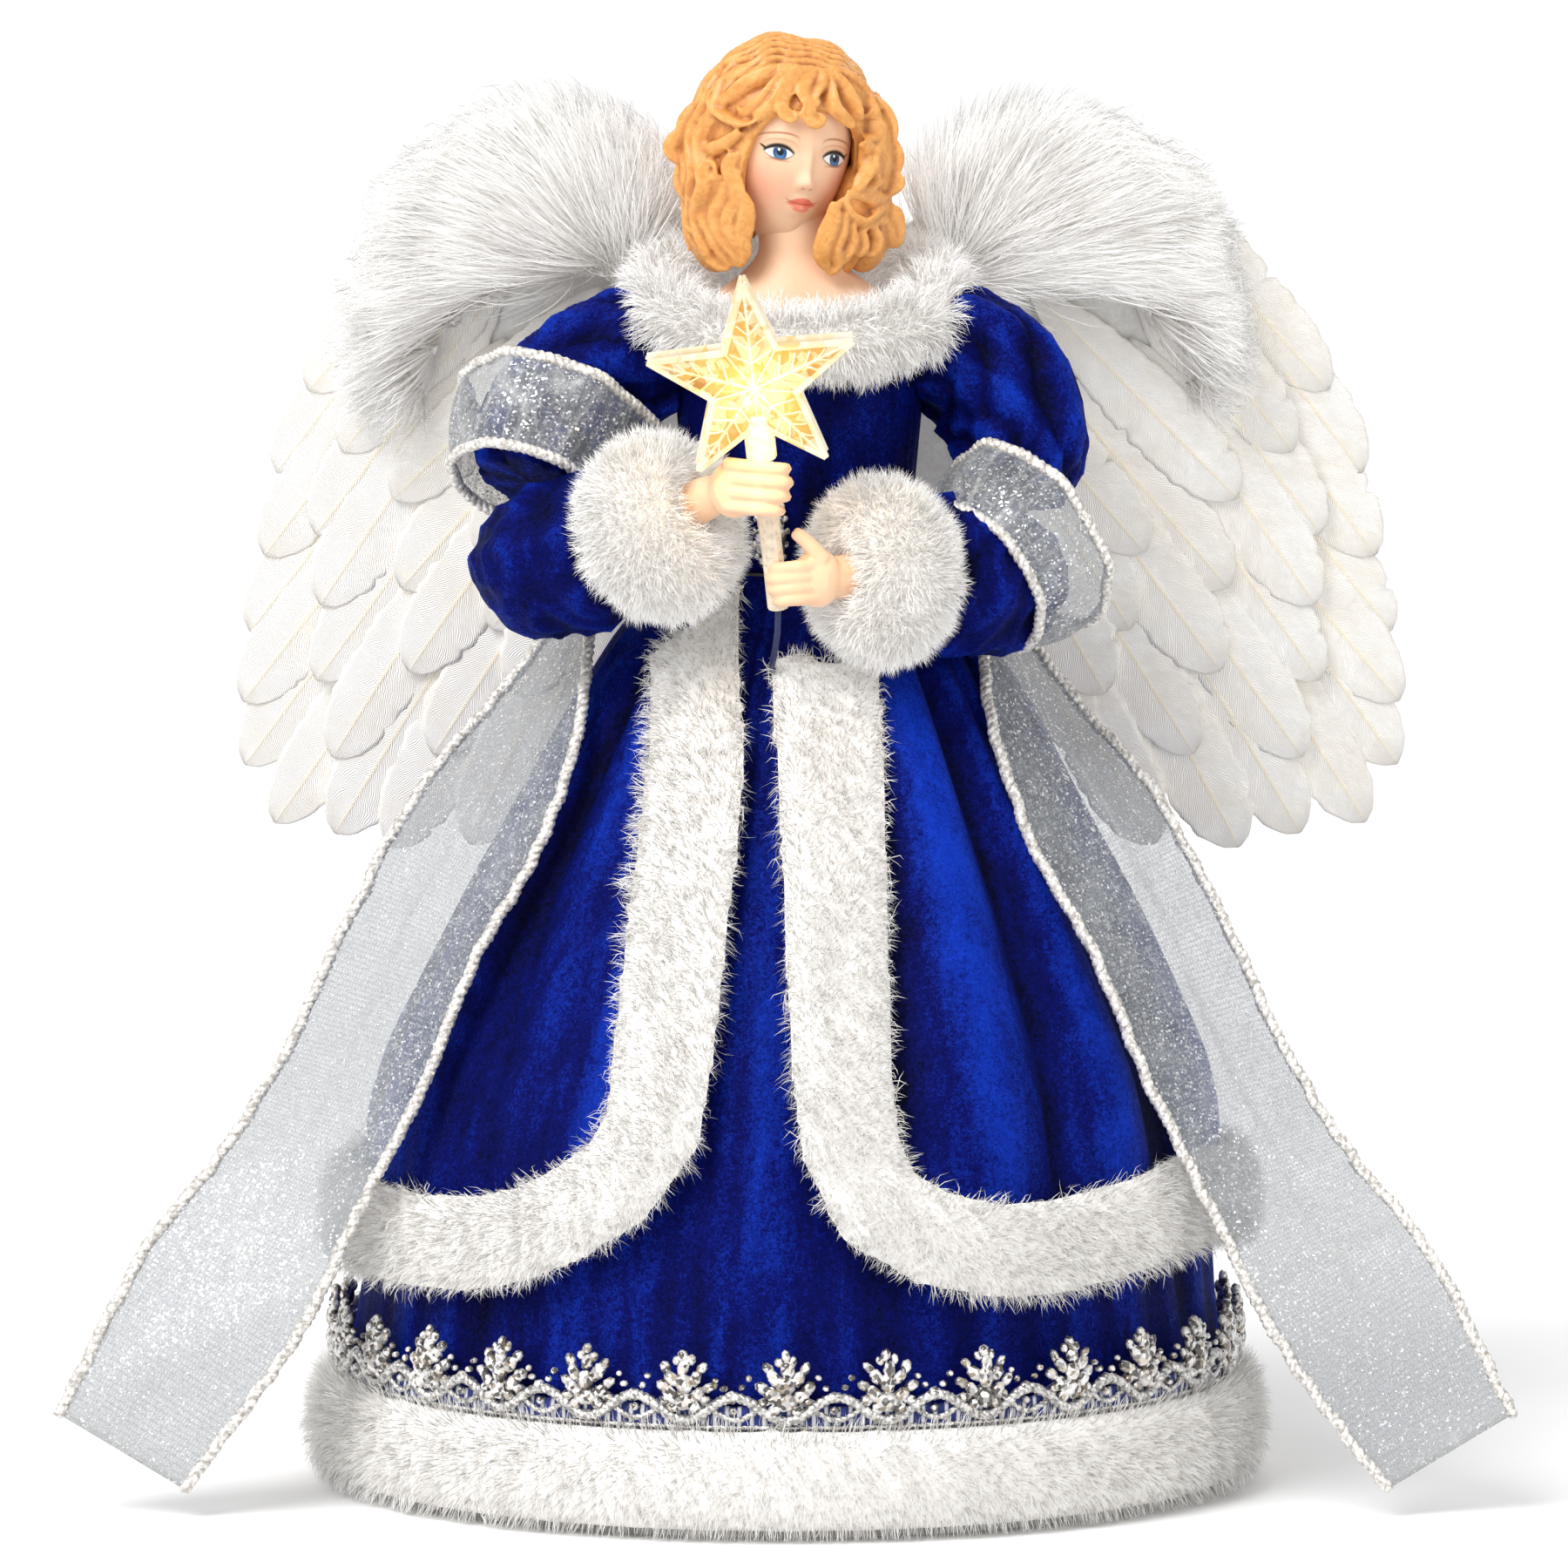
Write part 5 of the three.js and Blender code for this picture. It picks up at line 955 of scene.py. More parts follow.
BELL = np.array([
    [0, 1, 1], [0.075, 0.966, 1], [0.27, 0.92, 1], [0.4, 0.855, 1], [0.6, 0.68, 1], [0.785, 0.5, 1],
    [0.9, 0.385, 0.95], [0.96, 0.315, 0.87], [1, 0.2475, 0.775],
])
BELL_HEIGHT = WAIST - SKIRT_HEM
LEFT_BAND = np.array([
    [-37, 0.955], [-31, 0.9], [-23.5, 0.785], [-20.3, 0.62], [-18.8, 0.46], [-18.8, 0.37], [-22.5, 0.305],
    [-32, 0.245], [-43, 0.21], [-58, 0.2], [-76, 0.205], [-94, 0.21], [-112, 0.21], [-130, 0.21], [-148, 0.21],
    [-164, 0.21], [-179.6, 0.21],
])
RIGHT_BAND = np.array([
    [8, 0.915], [7.8, 0.87], [7.8, 0.77], [7.4, 0.62], [7.4, 0.46], [7.9, 0.36], [11.5, 0.275],
    [21, 0.225], [32, 0.21], [47, 0.22], [64, 0.235], [82, 0.23], [100, 0.22], [118, 0.212], [136, 0.21],
    [154, 0.21], [167, 0.21], [179.6, 0.21],
])


def bell_row(share, column):
    """One column of the bell at a height share, with its corners eased."""
    return sum(np.interp(share + d, BELL[:, 0], BELL[:, column]) for d in (-0.02, 0, 0.02)) / 3


def bell_fold(angle, share):
    swell = np.sin(np.pi * np.clip(share, 0, 1))
    return 3.2 * swell * (0.55 * np.cos(13 * angle + 0.6) + 0.45 * np.cos(7 * angle + 2.1))


def bell_point(angle, share, out):
    reach = bell_fold(angle, share) + out
    radius = bell_row(share, 1) * SKIRT_RADIUS
    x = OFFSET * np.clip(share, 0, 1) + (radius + reach) * np.sin(angle)
    y = -(radius * bell_row(share, 2) + reach) * np.cos(angle)
    return np.stack([x, y, SKIRT_HEM + share * BELL_HEIGHT], axis=1)


def bell_places(piece):
    """Angle round the skirt and height share of each point."""
    points = points_of(piece)
    share = (points[:, 2] - SKIRT_HEM) / BELL_HEIGHT
    return np.arctan2(points[:, 0] - OFFSET * np.clip(share, 0, 1), -points[:, 1]), share


def gathers(angle, share, depth, seed, count=34):
    """Uneven gathers with round crests and narrow valleys, from the waist to the hem."""
    rng = np.random.default_rng(seed)
    total = np.zeros_like(angle)
    for _ in range(4):
        waves = round(count * rng.uniform(0.6, 1.3))
        phase = rng.uniform(0, TURN)
        drift = rng.uniform(-1.2, 1.2)
        ridge = np.abs(np.sin((waves * angle + phase + drift * np.sin(2.2 * share + phase)) / 2)) ** 0.7
        total += (2.2 * ridge - 1.5) * rng.uniform(0.5, 1.0)
    return depth * total / 2.6


VELVET = crushed_velvet("crushed_velvet", 9.0)
PANEL_VELVET = crushed_velvet("panel_velvet", 8.0)


def panel_fold(angle, share):
    return np.minimum(gathers(angle, share, 1.5, 21, 30), 0.9) * np.clip((1 - share) * 12, 0.2, 1)


def make_underskirt():
    def surface(u, v):
        angle = TURN * u
        return bell_point(angle, v, -0.1 + panel_fold(angle, v) * np.clip(v * 6, 0, 1))

    skirt = weld(net("skirt_panel", 290, 50, surface))
    angle, share = bell_places(skirt)
    # The crest mark follows the folds: painted highlight on their crests and painted shade in their hollows
    mark(skirt, "crest", np.clip(0.46 + 0.14 * bell_fold(angle, share) + 0.30 * panel_fold(angle, share), 0, 1))
    apply_modifier(skirt, "SOLIDIFY", thickness=1.2 * MM, offset=-1.0)
    smooth(skirt)
    settle(skirt, PANEL_VELVET, stands_for=("underskirt",))
    return skirt


def hem_share(angle):
    """Height share of the coat's hem at an angle, from the fur bands' middle line."""
    turned = np.degrees(angle)
    left = np.interp(-turned, -LEFT_BAND[5:, 0], LEFT_BAND[5:, 1])
    right = np.interp(turned, RIGHT_BAND[5:, 0], RIGHT_BAND[5:, 1])
    return np.where(turned < 0, left, right)


def front_edge(band, share):
    rows = band[:6][::-1]
    return np.radians(np.interp(share, rows[:, 1], rows[:, 0]))


def coat_fold(angle, share):
    """Deep soft folds that open from the waist, with finer gathers near it."""
    broad = gathers(angle, share, 6.0, 33, 15) * np.clip((1.02 - share) * 5, 0.25, 1)
    return broad + gathers(angle, share, 1.0, 35, 40) * np.clip((share - 0.45) * 3, 0.15, 1)


def make_coat():
    def surface(u, v):
        start, end = front_edge(RIGHT_BAND, 0.4), front_edge(LEFT_BAND, 0.4) + TURN
        base = in_turn(start + (end - start) * u)
        share = 1 + (hem_share(base) - 1) * v
        right, left = front_edge(RIGHT_BAND, share), front_edge(LEFT_BAND, share) + TURN
        turned = in_turn(right + (left - right) * u)
        swell = np.sin(np.pi * np.clip(share, 0, 1))
        fold = coat_fold(turned, share)
        sides = np.clip(np.minimum(u, 1 - u) * 14, 0.15, 1)
        edge = sides * np.clip(v * 7 + 0.25, 0, 1) * np.clip((1 - v) * 7, 0.25, 1)
        return bell_point(turned, share, 2.5 + 2.2 * swell + np.maximum(fold + 1.8, -0.8) * edge)

    coat = weld(net("coat_cloth", 300, 52, surface))
    angle, share = bell_places(coat)
    # The crest mark follows the folds: painted highlight on their crests and painted shade in their hollows
    mark(coat, "crest", np.clip(0.50 + 0.05 * bell_fold(angle, share) + 0.13 * coat_fold(angle, share), 0, 1))
    apply_modifier(coat, "SOLIDIFY", thickness=0.9 * MM, offset=-1.0)
    smooth(coat)
    settle(coat, VELVET, stands_for=("coat",))
    return coat


make_underskirt()
make_coat()


# ---------------------------------------------------------------- bodice and sleeves

TORSO = np.array([
    [0, 0.84, 0.83, 0], [0.3, 0.87, 0.83, 0], [0.52, 0.92, 0.88, 0.05], [0.73, 0.98, 1, 0.12], [0.89, 1, 0.88, 0.04],
    [1, 0.8, 0.62, 0],
])
ARMS = {
    "left": {
        "upper": [[-0.1, 0, 1.228], [-0.2, 0.008, 1.215], [-0.262, 0.045, 1.15], [-0.276, 0.075, 1.1]],
        "lower": [[-0.318, 0.09, 1.015], [-0.26, 0.14, 1.022], [-0.19, 0.186, 1.045]],
        "ruffle": [[-0.278, 0.085, 1.095], [-0.245, 0.03, 1.175]],
        "forearm": [[-0.15, 0.217, 1.065], [-0.09, 0.268, 1.105], [-0.06, 0.3, 1.12]],
        "palm": [-0.056, 0.302, 1.121],
        "thumb": [[-0.06, 0.285, 1.115], [-0.036, 0.28, 1.135], [-0.02, 0.277, 1.14]],
        "knuckle": [-0.045, 0.322, 1.147], "reach": 0.046, "drop": 0.0153,
    },
    "right": {
        "upper": [[0.128, 0, 1.236], [0.212, 0.008, 1.222], [0.254, 0.03, 1.155], [0.252, 0.07, 1.09]],
        "lower": [[0.28, 0.078, 1.01], [0.222, 0.137, 1.003], [0.154, 0.188, 1.018]],
        "ruffle": [[0.205, 0.148, 1.005], [0.262, 0.09, 1.045]],
        "forearm": [[0.12, 0.215, 1.02], [0.06, 0.262, 1.02], [0.035, 0.276, 1.02]],
        "palm": [0.034, 0.279, 1.021],
        "thumb": [[0.04, 0.283, 1.04], [0.022, 0.287, 1.062], [0.008, 0.287, 1.073]],
        "knuckle": [0.026, 0.292, 1.035], "reach": -0.042, "drop": 0.0118,
    },
}


def spots(rows):
    """Places given as shares of the waist's height: right, forward and up."""
    rows = np.atleast_2d(np.asarray(rows, float)) * WAIST
    return np.stack([rows[:, 0], -rows[:, 1], rows[:, 2]], axis=1)


def make_bodice():
    def surface(u, v):
        high = WAIST + 0.5 + v * (TORSO_TOP - 1.0 - WAIST)
        share = np.clip((high - TORSO_FOOT) / 94.0, 0, 1)
        angle = TURN * u
        wide = np.interp(share, TORSO[:, 0], TORSO[:, 1]) * TORSO_WIDE + 1.75
        deep = np.interp(share, TORSO[:, 0], TORSO[:, 2]) * TORSO_DEEP + 1.75
        ahead = np.interp(share, TORSO[:, 0], TORSO[:, 3]) * TORSO_DEEP
        pucker = gathers(angle, share, 0.5, 41, 46) * np.clip(1.3 - v, 0.3, 1)
        return np.stack([
            OFFSET + (wide + pucker) * np.sin(angle), -ahead - (deep + pucker) * np.cos(angle), high], axis=1)

    bodice = weld(net("bodice_cloth", 150, 44, surface))
    # The crest mark here is soft random streaks down the bodice, painted as the light and shade of folds
    mark(bodice, "crest", np.clip(0.36 + 0.22 * wave_noise(points_of(bodice) * (1, 1, 0.35), 11, 43), 0, 1))
    apply_modifier(bodice, "SOLIDIFY", thickness=1.0 * MM, offset=-1.0)
    smooth(bodice)
    settle(bodice, VELVET, stands_for=("bodice",))


def limb_places(points, places, lean):
    """Share along a limb, angle round it and the outward direction, for each point."""
    shares = np.linspace(0, 1, 61)
    path = three_curve(spots(places), shares)
    side, lift = frames_along(path, np.asarray(lean, float))
    gaps = points[:, None, :] - path[None, :, :]
    nearest = (gaps ** 2).sum(axis=2).argmin(axis=1)
    away = gaps[np.arange(len(points)), nearest]
    x = (away * side[nearest]).sum(axis=1)
    y = (away * lift[nearest]).sum(axis=1)
    outward = unit(side[nearest] * x[:, None] + lift[nearest] * y[:, None])
    return shares[nearest], np.arctan2(y, x), outward


def puff_creases(points, share, angle, seed):
    """Broad puckers round the puff, fine ones at its ends and a crumple all over."""
    ends = np.clip(1 - 2.6 * np.minimum(share, 1 - share), 0.30, 1)
    swing = 1.4 * np.sin(2.2 * share * np.pi + seed)
    broad = 2.0 * np.abs(np.sin(3.5 * angle + swing)) ** 0.8 - 1.2 + 0.5 * np.cos(5 * angle - swing + 1.0)
    fine = 0.6 * np.cos(19 * angle + 2.0 * np.sin(3 * share * np.pi + seed)) * ends
    crumple = 0.7 - 1.2 * np.abs(wave_noise(points, 13, seed + 3, 6)) ** 0.8
    return 1.3 * broad + 0.8 * fine + 0.7 * crumple


def forearm_creases(points, share, angle, seed):
    """Rings of slack cloth along the forearm, and a crumple all over."""
    sag = np.cos(TURN * share * 2.3 + 1.6 * np.cos(angle + seed)) * 0.9
    crumple = 0.8 - 1.3 * np.abs(wave_noise(points, 12, seed + 9, 6)) ** 0.8
    return 0.7 * sag + 0.8 * crumple + 0.4 * np.cos(6 * angle + 2 * share)


def velvet_sleeve(node, name, places, lean, creases, seed, crest):
    """A padded tube of velvet along a limb, lifted in creases that catch the light, with painted highlight on the
    lifted crests and painted shade in the hollows.
    """
    sleeve = copy_of(node, name, voxel=1.0, softening=5)
    points = points_of(sleeve)
    share, angle, out = limb_places(points, places, lean)
    lifted = creases(points, share, angle, seed)
    move_points(sleeve, points + out * lifted[:, None])
    smooth(sleeve)
    # The crest mark paints highlight where the cloth is lifted and shade where it sinks
    mark(sleeve, "crest", np.clip(crest[0] + crest[1] * lifted, 0, 1))
    settle(sleeve, VELVET, stands_for=(node,))


def make_sleeves():
    for side, arm in ARMS.items():
        seed = 51 if side == "left" else 57
        velvet_sleeve(f"sleeve_upper_{side}", f"puff_{side}", arm["upper"], (0, 1, 0), puff_creases, seed,
                      (0.44, 0.22))
        velvet_sleeve(f"sleeve_lower_{side}", f"forearm_sleeve_{side}", arm["lower"], (0, 0, 1), forearm_creases,
                      seed, (0.40, 0.26))


make_bodice()
make_sleeves()

SHEER = sheer_glitter("sheer_glitter", 0.40, 0.36)
RUFFLE_SHEER = sheer_glitter("ruffle_glitter", 0.26, 0.40)
BRAID = pearl_braid("pearl_braid", (0.50, 0.47, 0.43), (0.93, 0.90, 0.86), 0.2)


def braid(name, path, thickness=1.0, pitch=3.4, wobble=0.45):
    """Two strands twisted round each other, as the wired pearl edge of a ribbon."""
    path = np.asarray(path, float)
    lengths = np.concatenate([[0], np.cumsum(np.linalg.norm(np.diff(path, axis=0), axis=1))])
    count = max(12, int(lengths[-1] / 0.7))
    at = np.linspace(0, lengths[-1], count)
    fine = np.stack([np.interp(at, lengths, path[:, k]) for k in range(3)], axis=1)
    side, lift = frames_along(fine, np.array((0.0, 0.3, 1.0)))
    turn = TURN * at / pitch
    strands = []
    for half in (0, np.pi):
        wave = wobble * (np.cos(turn + half)[:, None] * side + np.sin(turn + half)[:, None] * lift)
        strands.append(tube(f"{name}_{half:.0f}", fine + wave, thickness * 0.5, sides=5))
    return smooth(join(name, strands))


def settle_ribbon(cloth, edges, paint, node):
    """A sheer ribbon with the wired pearl braids along its edges."""
    settle(cloth, paint, stands_for=(node,))
    for edge in edges:
        settle(edge, BRAID, stands_for=(node,))


def make_elbow_ruffles():
    for side, arm in ARMS.items():
        foot, top = spots(arm["ruffle"])
        axis = unit((top - foot)[None])[0]
        across = np.cross((0, 0, 1.0), axis)
        across = across / np.linalg.norm(across)
        lift = np.cross(axis, across)

        def surface(u, v):
            angle = TURN * u
            flute = 0.8 * np.cos(3 * angle + 0.7) + 0.7 * np.cos(7 * angle + 2.0) + 0.35 * np.cos(13 * angle)
            flute = flute * (0.45 + 0.5 * v)
            radius = 22.0 + 5.0 * v + 1.8 * np.sin(np.pi * v) + flute
            middle = foot + (top - foot) * v[:, None]
            return middle + radius[:, None] * (np.cos(angle)[:, None] * across + np.sin(angle)[:, None] * lift)

        cloth = net(f"ruffle_mesh_{side}", 240, 16, surface)
        wrinkle = np.exp(-(wave_noise(points_of(cloth), 15, 61, 4) / 0.10) ** 2)
        mark(cloth, "crease", 0.5 * wrinkle)
        weld(cloth)
        apply_modifier(cloth, "SOLIDIFY", thickness=0.25 * MM, offset=0.0)
        smooth(cloth)
        turn = np.linspace(0, 1, 241)
        edges = [
            braid(f"ruffle_braid_{side}_{end}", surface(turn, np.full(241, float(end))), 2.3, 4.4, 0.55)
            for end in (0, 1)
        ]
        settle_ribbon(cloth, edges, RUFFLE_SHEER, f"elbow_ruffle_{side}")


make_elbow_ruffles()


# ---------------------------------------------------------------- hands

FINGER_REACH = (1, 1.06, 1.0, 0.86)


def finger(arm, i):
    """A bent finger with its two knuckles, from the back of the hand round to its tip."""
    x, y, z = arm["knuckle"]
    high = z - i * arm["drop"]
    reach = arm["reach"] * FINGER_REACH[i]
    line = spots([
        [x - arm["reach"] * 0.45, y - 0.014, high + 0.002], [x + reach * 0.05, y - 0.002, high + 0.001],
        [x + reach * 0.45, y + 0.004, high], [x + reach * 0.85, y - 0.001, high - 0.002],
        [x + reach, y - 0.013, high - 0.003],
    ])
    bend = np.linspace(0, 1, 22)
    knuckles = 0.18 * np.exp(-((bend - 0.38) / 0.07) ** 2), 0.15 * np.exp(-((bend - 0.72) / 0.06) ** 2)
    return tube(f"finger_{i}", three_curve(line, bend), 1.9 - 0.35 * bend + knuckles[0] + knuckles[1], 12)


def make_hands():
    paint = satin_skin("hand_skin")
    steps = np.linspace(0, 1, 12)
    for side, arm in ARMS.items():
        girth = np.interp(steps, [0, 0.4, 0.8, 1], [6.6, 5.6, 4.6, 5.4])
        parts = [tube("wrist", three_curve(spots(arm["forearm"]), steps), girth, 20, flatten=1.1)]
        parts.append(round_ball(spots(arm["palm"])[0], (6.6, 4.0, 7.8), 24, 16))
        parts += [finger(arm, i) for i in range(4)]
        girth = np.interp(steps, [0, 0.5, 0.9, 1], [2.7, 2.0, 1.8, 1.3])
        parts.append(tube("thumb", three_curve(spots(arm["thumb"]), steps), girth, 12))
        hand = join(f"moulded_hand_{side}", parts)
        apply_modifier(hand, "REMESH", mode="VOXEL", voxel_size=0.5 * MM)
        apply_modifier(hand, "SMOOTH", factor=0.5, iterations=3)
        smooth(hand)
        settle(hand, paint, stands_for=(f"hand_{side}",))


make_hands()


# ---------------------------------------------------------------- head and hair

HEAD_RISE = 46.5
HEAD_MIDDLE = np.array([0, 0, HEAD_RISE])
HEAD_WIDE, HEAD_DEEP, HEAD_HIGH = 17, 19.5, 24
HEAD_TURNED = np.array(Matrix.Rotation(0.13, 3, "Y") @ Matrix.Rotation(0.13, 3, "Z"))
FACE_TURN = 0.234


def on_head(points):
    return (points - HEAD_MIDDLE) @ HEAD_TURNED.T + HEAD_MIDDLE + np.array([0.2, 0, HEAD_BASE])


# Bumps and hollows of the face: sideways, height, half width, half height and depth, as shares of the head
FACE = [
    (0, -0.285, 0.10, 0.075, 0.14), (0, -0.12, 0.07, 0.17, 0.07), (-0.10, -0.315, 0.055, 0.045, 0.06),
    (0.10, -0.315, 0.055, 0.045, 0.06), (-0.43, 0.0, 0.22, 0.12, -0.07), (0.43, 0.0, 0.22, 0.12, -0.07),
    (-0.455, -0.035, 0.15, 0.075, 0.045), (0.455, -0.035, 0.15, 0.075, 0.045), (-0.45, 0.13, 0.25, 0.07, 0.025),
    (0.45, 0.13, 0.25, 0.07, 0.025), (0.02, -0.462, 0.14, 0.04, 0.055), (0.02, -0.54, 0.11, 0.045, 0.060),
    (0.02, -0.495, 0.20, 0.014, -0.025), (0, -0.40, 0.03, 0.05, -0.012), (0, -0.83, 0.22, 0.13, 0.09),
    (0, -0.64, 0.20, 0.05, -0.02), (-0.5, -0.33, 0.26, 0.22, 0.05), (0.5, -0.33, 0.26, 0.22, 0.05),
    (0, 0.45, 0.6, 0.35, 0.02),
]
# The bust plate and the neck from the shoulders up: share of the height, and shares of the full width and depth
PLATE = np.array([
    [0, 1, 1], [0.18, 0.92, 0.92], [0.34, 0.6, 0.76], [0.5, 0.4, 0.63], [0.75, 0.385, 0.62], [1, 0.385, 0.64],
])
PLATE_WIDE, PLATE_DEEP, PLATE_HIGH = 24, 15, 33.3


def make_head():
    put_down()
    bpy.ops.mesh.primitive_uv_sphere_add(segments=170, ring_count=130, radius=1, location=(0, 0, 0))
    skull = bpy.context.object
    p = points_of(skull) * MM
    low = np.maximum(0, -p[:, 2])
    c, s = math.cos(FACE_TURN), math.sin(FACE_TURN)
    side, ahead = c * p[:, 0] + s * p[:, 1], -s * p[:, 0] + c * p[:, 1]
    high = p[:, 2] + 0.027 * side + 0.05
    bump = np.zeros(len(p))
    for x, z, wide, tall, deep in FACE:
        bump += np.clip(-ahead * 3, 0, 1) * deep * np.exp(-((side - x) / wide) ** 2 - ((high - z) / tall) ** 2)
    shaped = np.stack([
        p[:, 0] * HEAD_WIDE * (1 - 0.2 * low ** 2) + 1.4 * low ** 1.5, p[:, 1] * HEAD_DEEP * (1 - 0.12 * low),
        HEAD_RISE + p[:, 2] * HEAD_HIGH - 4.6 * low ** 1.5], axis=1)
    shaped = shaped + (ahead * HEAD_DEEP * bump)[:, None] * np.array([-s, c, 0])
    move_points(skull, on_head(shaped))
    # The paint of the face lies on a map seen from the front; the back of the head is sent far off it
    flat = np.stack([0.5 + 0.5 * side, np.where(ahead < 0.1, 0.5 + 0.5 * high, 9.0)], axis=1)
    layer = skull.data.uv_layers.active.data
    layer.foreach_set("uv", flat[corners_of(skull)].astype(np.float32).ravel())
    smooth(skull)
    settle(skull, satin_skin("face_skin", painted=True), stands_for=("head",))
    skull.name = "moulded_face"


def make_neck():
    def eased(share, column):
        """The plate's profile, with its corners rounded."""
        nearby = (-0.06, -0.03, 0, 0.03, 0.06)
        return sum(np.interp(share + d, PLATE[:, 0], PLATE[:, column]) for d in nearby) / 5

    def surface(u, v):
        share = np.clip((v - 0.06) / 0.88, 0, 1)
        cap = np.clip(np.minimum(v, 1 - v) / 0.06, 0, 1)
        angle = TURN * u
        middle = OFFSET + (0.2 - OFFSET) * share ** 2
        return np.stack([
            middle + cap * eased(share, 1) * PLATE_WIDE * np.sin(angle),
            -cap * eased(share, 2) * PLATE_DEEP * np.cos(angle) - 1.5 * share, HEAD_BASE + share * PLATE_HIGH], axis=1)

    neck = smooth(weld(net("moulded_neck", 64, 50, surface)))
    settle(neck, satin_skin("neck_skin"), stands_for=("head",))


LOCK_LEAN = (0.2, 1.0, 0.1)


def lock(path, radius):
    """One moulded lock of three strands side by side, thick in the middle and tapered at both ends."""
    share = np.linspace(0, 1, len(path))
    girth = radius * np.clip(np.sin(np.pi * np.clip(share * 0.90 + 0.08, 0, 1)), 0.12, 1) ** 0.5
    side, _ = frames_along(path, np.array(LOCK_LEAN))
    strands = []
    for offset, size in ((-0.62, 0.56), (0.0, 0.66), (0.62, 0.56)):
        middle = path + side * (girth * offset)[:, None]
        strands.append(tube("strand", middle, girth * size, 7, lean=LOCK_LEAN, flatten=0.8))
    return join("lock", strands)


def on_front(places):
    """Places on the front of the hair for points drawn across and down from its top left corner."""
    x = -37.3 + 0.484 * places[:, 0]
    y = np.zeros(len(places))
    for _ in range(4):
        z = 388.2 - 0.488 * places[:, 1] - 0.13 * y
        wide = np.interp(z, [330, 355], [27.5, 24.5])
        deep = np.interp(z, [318, 355], [14, 22.5])
        rise = np.maximum(0, (z - 355.2) / 27.5)
        y = -deep * np.sqrt(np.maximum(0.04, 1 - ((x - 0.2) / wide) ** 2 - rise ** 2))
    return np.stack([x, y, z], axis=1)


# The locks of the front, drawn across and down: the first number of each is its radius in millimetres
FRONT_LOCKS = [
    [1.7, (84, 30), (76, 31), (66, 34), (56, 38), (48, 44), (40, 50)],
    [1.6, (85, 31), (78, 33), (73, 38), (68, 44), (62, 50), (54, 54), (50, 50)],
    [1.6, (88, 31), (82, 34), (77, 40), (73, 47), (66, 54), (60, 57)],
    [1.4, (90, 31), (84, 36), (78, 42), (75, 48), (76, 54), (79, 57), (82, 56), (81, 52)],
    [1.4, (93, 31), (88, 37), (86, 42), (90, 50), (89, 56), (93, 60), (97, 58), (96, 54)],
    [1.3, (95, 31), (96, 38), (92, 46), (96, 50)],
    [1.5, (98, 31), (101, 38), (102, 46), (104, 52), (108, 56), (112, 60), (114, 63)],
    [1.6, (100, 31), (107, 38), (112, 46), (116, 54), (118, 58)], [1.7, (101, 30), (112, 36), (120, 44), (124, 50)],
    [1.6, (60, 30), (50, 34), (42, 40), (38, 48), (44, 56), (54, 60), (62, 58)],
    [1.7, (56, 22), (44, 30), (37, 38), (36, 46)], [1.6, (38, 46), (30, 50), (24, 56), (22, 62), (28, 66), (34, 64)],
    [1.4, (36, 56), (30, 60), (22, 64), (17, 67), (14, 72), (17, 77), (21, 76), (22, 71), (19, 70)],
    [1.5, (52, 64), (44, 70), (36, 74), (31, 78), (30, 84), (34, 88), (39, 86), (38, 81), (35, 82)],
    [1.8, (30, 68), (26, 76), (22, 84), (21, 92), (26, 98), (32, 97), (34, 92)],
    [1.6, (48, 76), (46, 84), (50, 92), (54, 98)],
    [1.7, (36, 90), (30, 100), (29, 110), (33, 118), (34, 128), (40, 136), (46, 139)],
    [1.8, (42, 88), (38, 98), (34, 108), (38, 118), (42, 128), (48, 138)],
    [1.8, (46, 90), (44, 100), (40, 110), (44, 120), (50, 130), (52, 138)],
    [1.8, (49, 92), (51, 102), (47, 112), (50, 120), (55, 128), (52, 138)],
    [1.7, (52, 96), (56, 106), (55, 116), (53, 126), (54, 134)], [1.5, (28, 102), (25, 108), (26, 115), (29, 118)],
    [1.6, (120, 44), (128, 50), (133, 58), (134, 66), (130, 70)], [1.5, (122, 54), (127, 60), (124, 66), (120, 68)],
    [1.6, (128, 64), (134, 70), (137, 78), (135, 85), (130, 88)],
    [1.6, (118, 70), (124, 76), (122, 84), (117, 92), (114, 96)],
    [1.6, (122, 72), (130, 80), (126, 90), (120, 95)], [1.5, (124, 90), (132, 89), (138, 91), (134, 95), (128, 92)],
    [1.6, (110, 98), (120, 98), (130, 102), (134, 98)],
    [1.6, (108, 100), (112, 110), (120, 114), (128, 108), (133, 104)],
    [1.6, (120, 116), (128, 110), (136, 108), (138, 116), (137, 124), (133, 126)],
    [1.7, (104, 102), (102, 112), (98, 122), (96, 132), (100, 140)],
    [1.8, (108, 108), (106, 118), (102, 128), (104, 136), (100, 142)],
    [1.7, (112, 114), (112, 124), (108, 132), (110, 136)], [1.6, (118, 118), (118, 126), (115, 132)],
    [1.6, (124, 116), (126, 122), (124, 128), (120, 131)], [1.5, (130, 112), (132, 120), (133, 126)],
]
# Directions from the middle of the head: along the parting from front to back, and where the combed locks end each side
PARTING = [[0.25, -0.62, 0.75], [0.21, -0.15, 0.97], [0.14, 0.35, 0.93], [0.05, 0.72, 0.69]]
COMBED = [
    ([[-0.74, -0.56, 0.38], [-0.86, -0.18, 0.48], [-0.84, 0.28, 0.42], [-0.60, 0.72, 0.30]], 0.050),
    ([[0.84, -0.44, 0.34], [0.92, -0.08, 0.38], [0.86, 0.36, 0.34], [0.62, 0.72, 0.28]], 0.030),
]


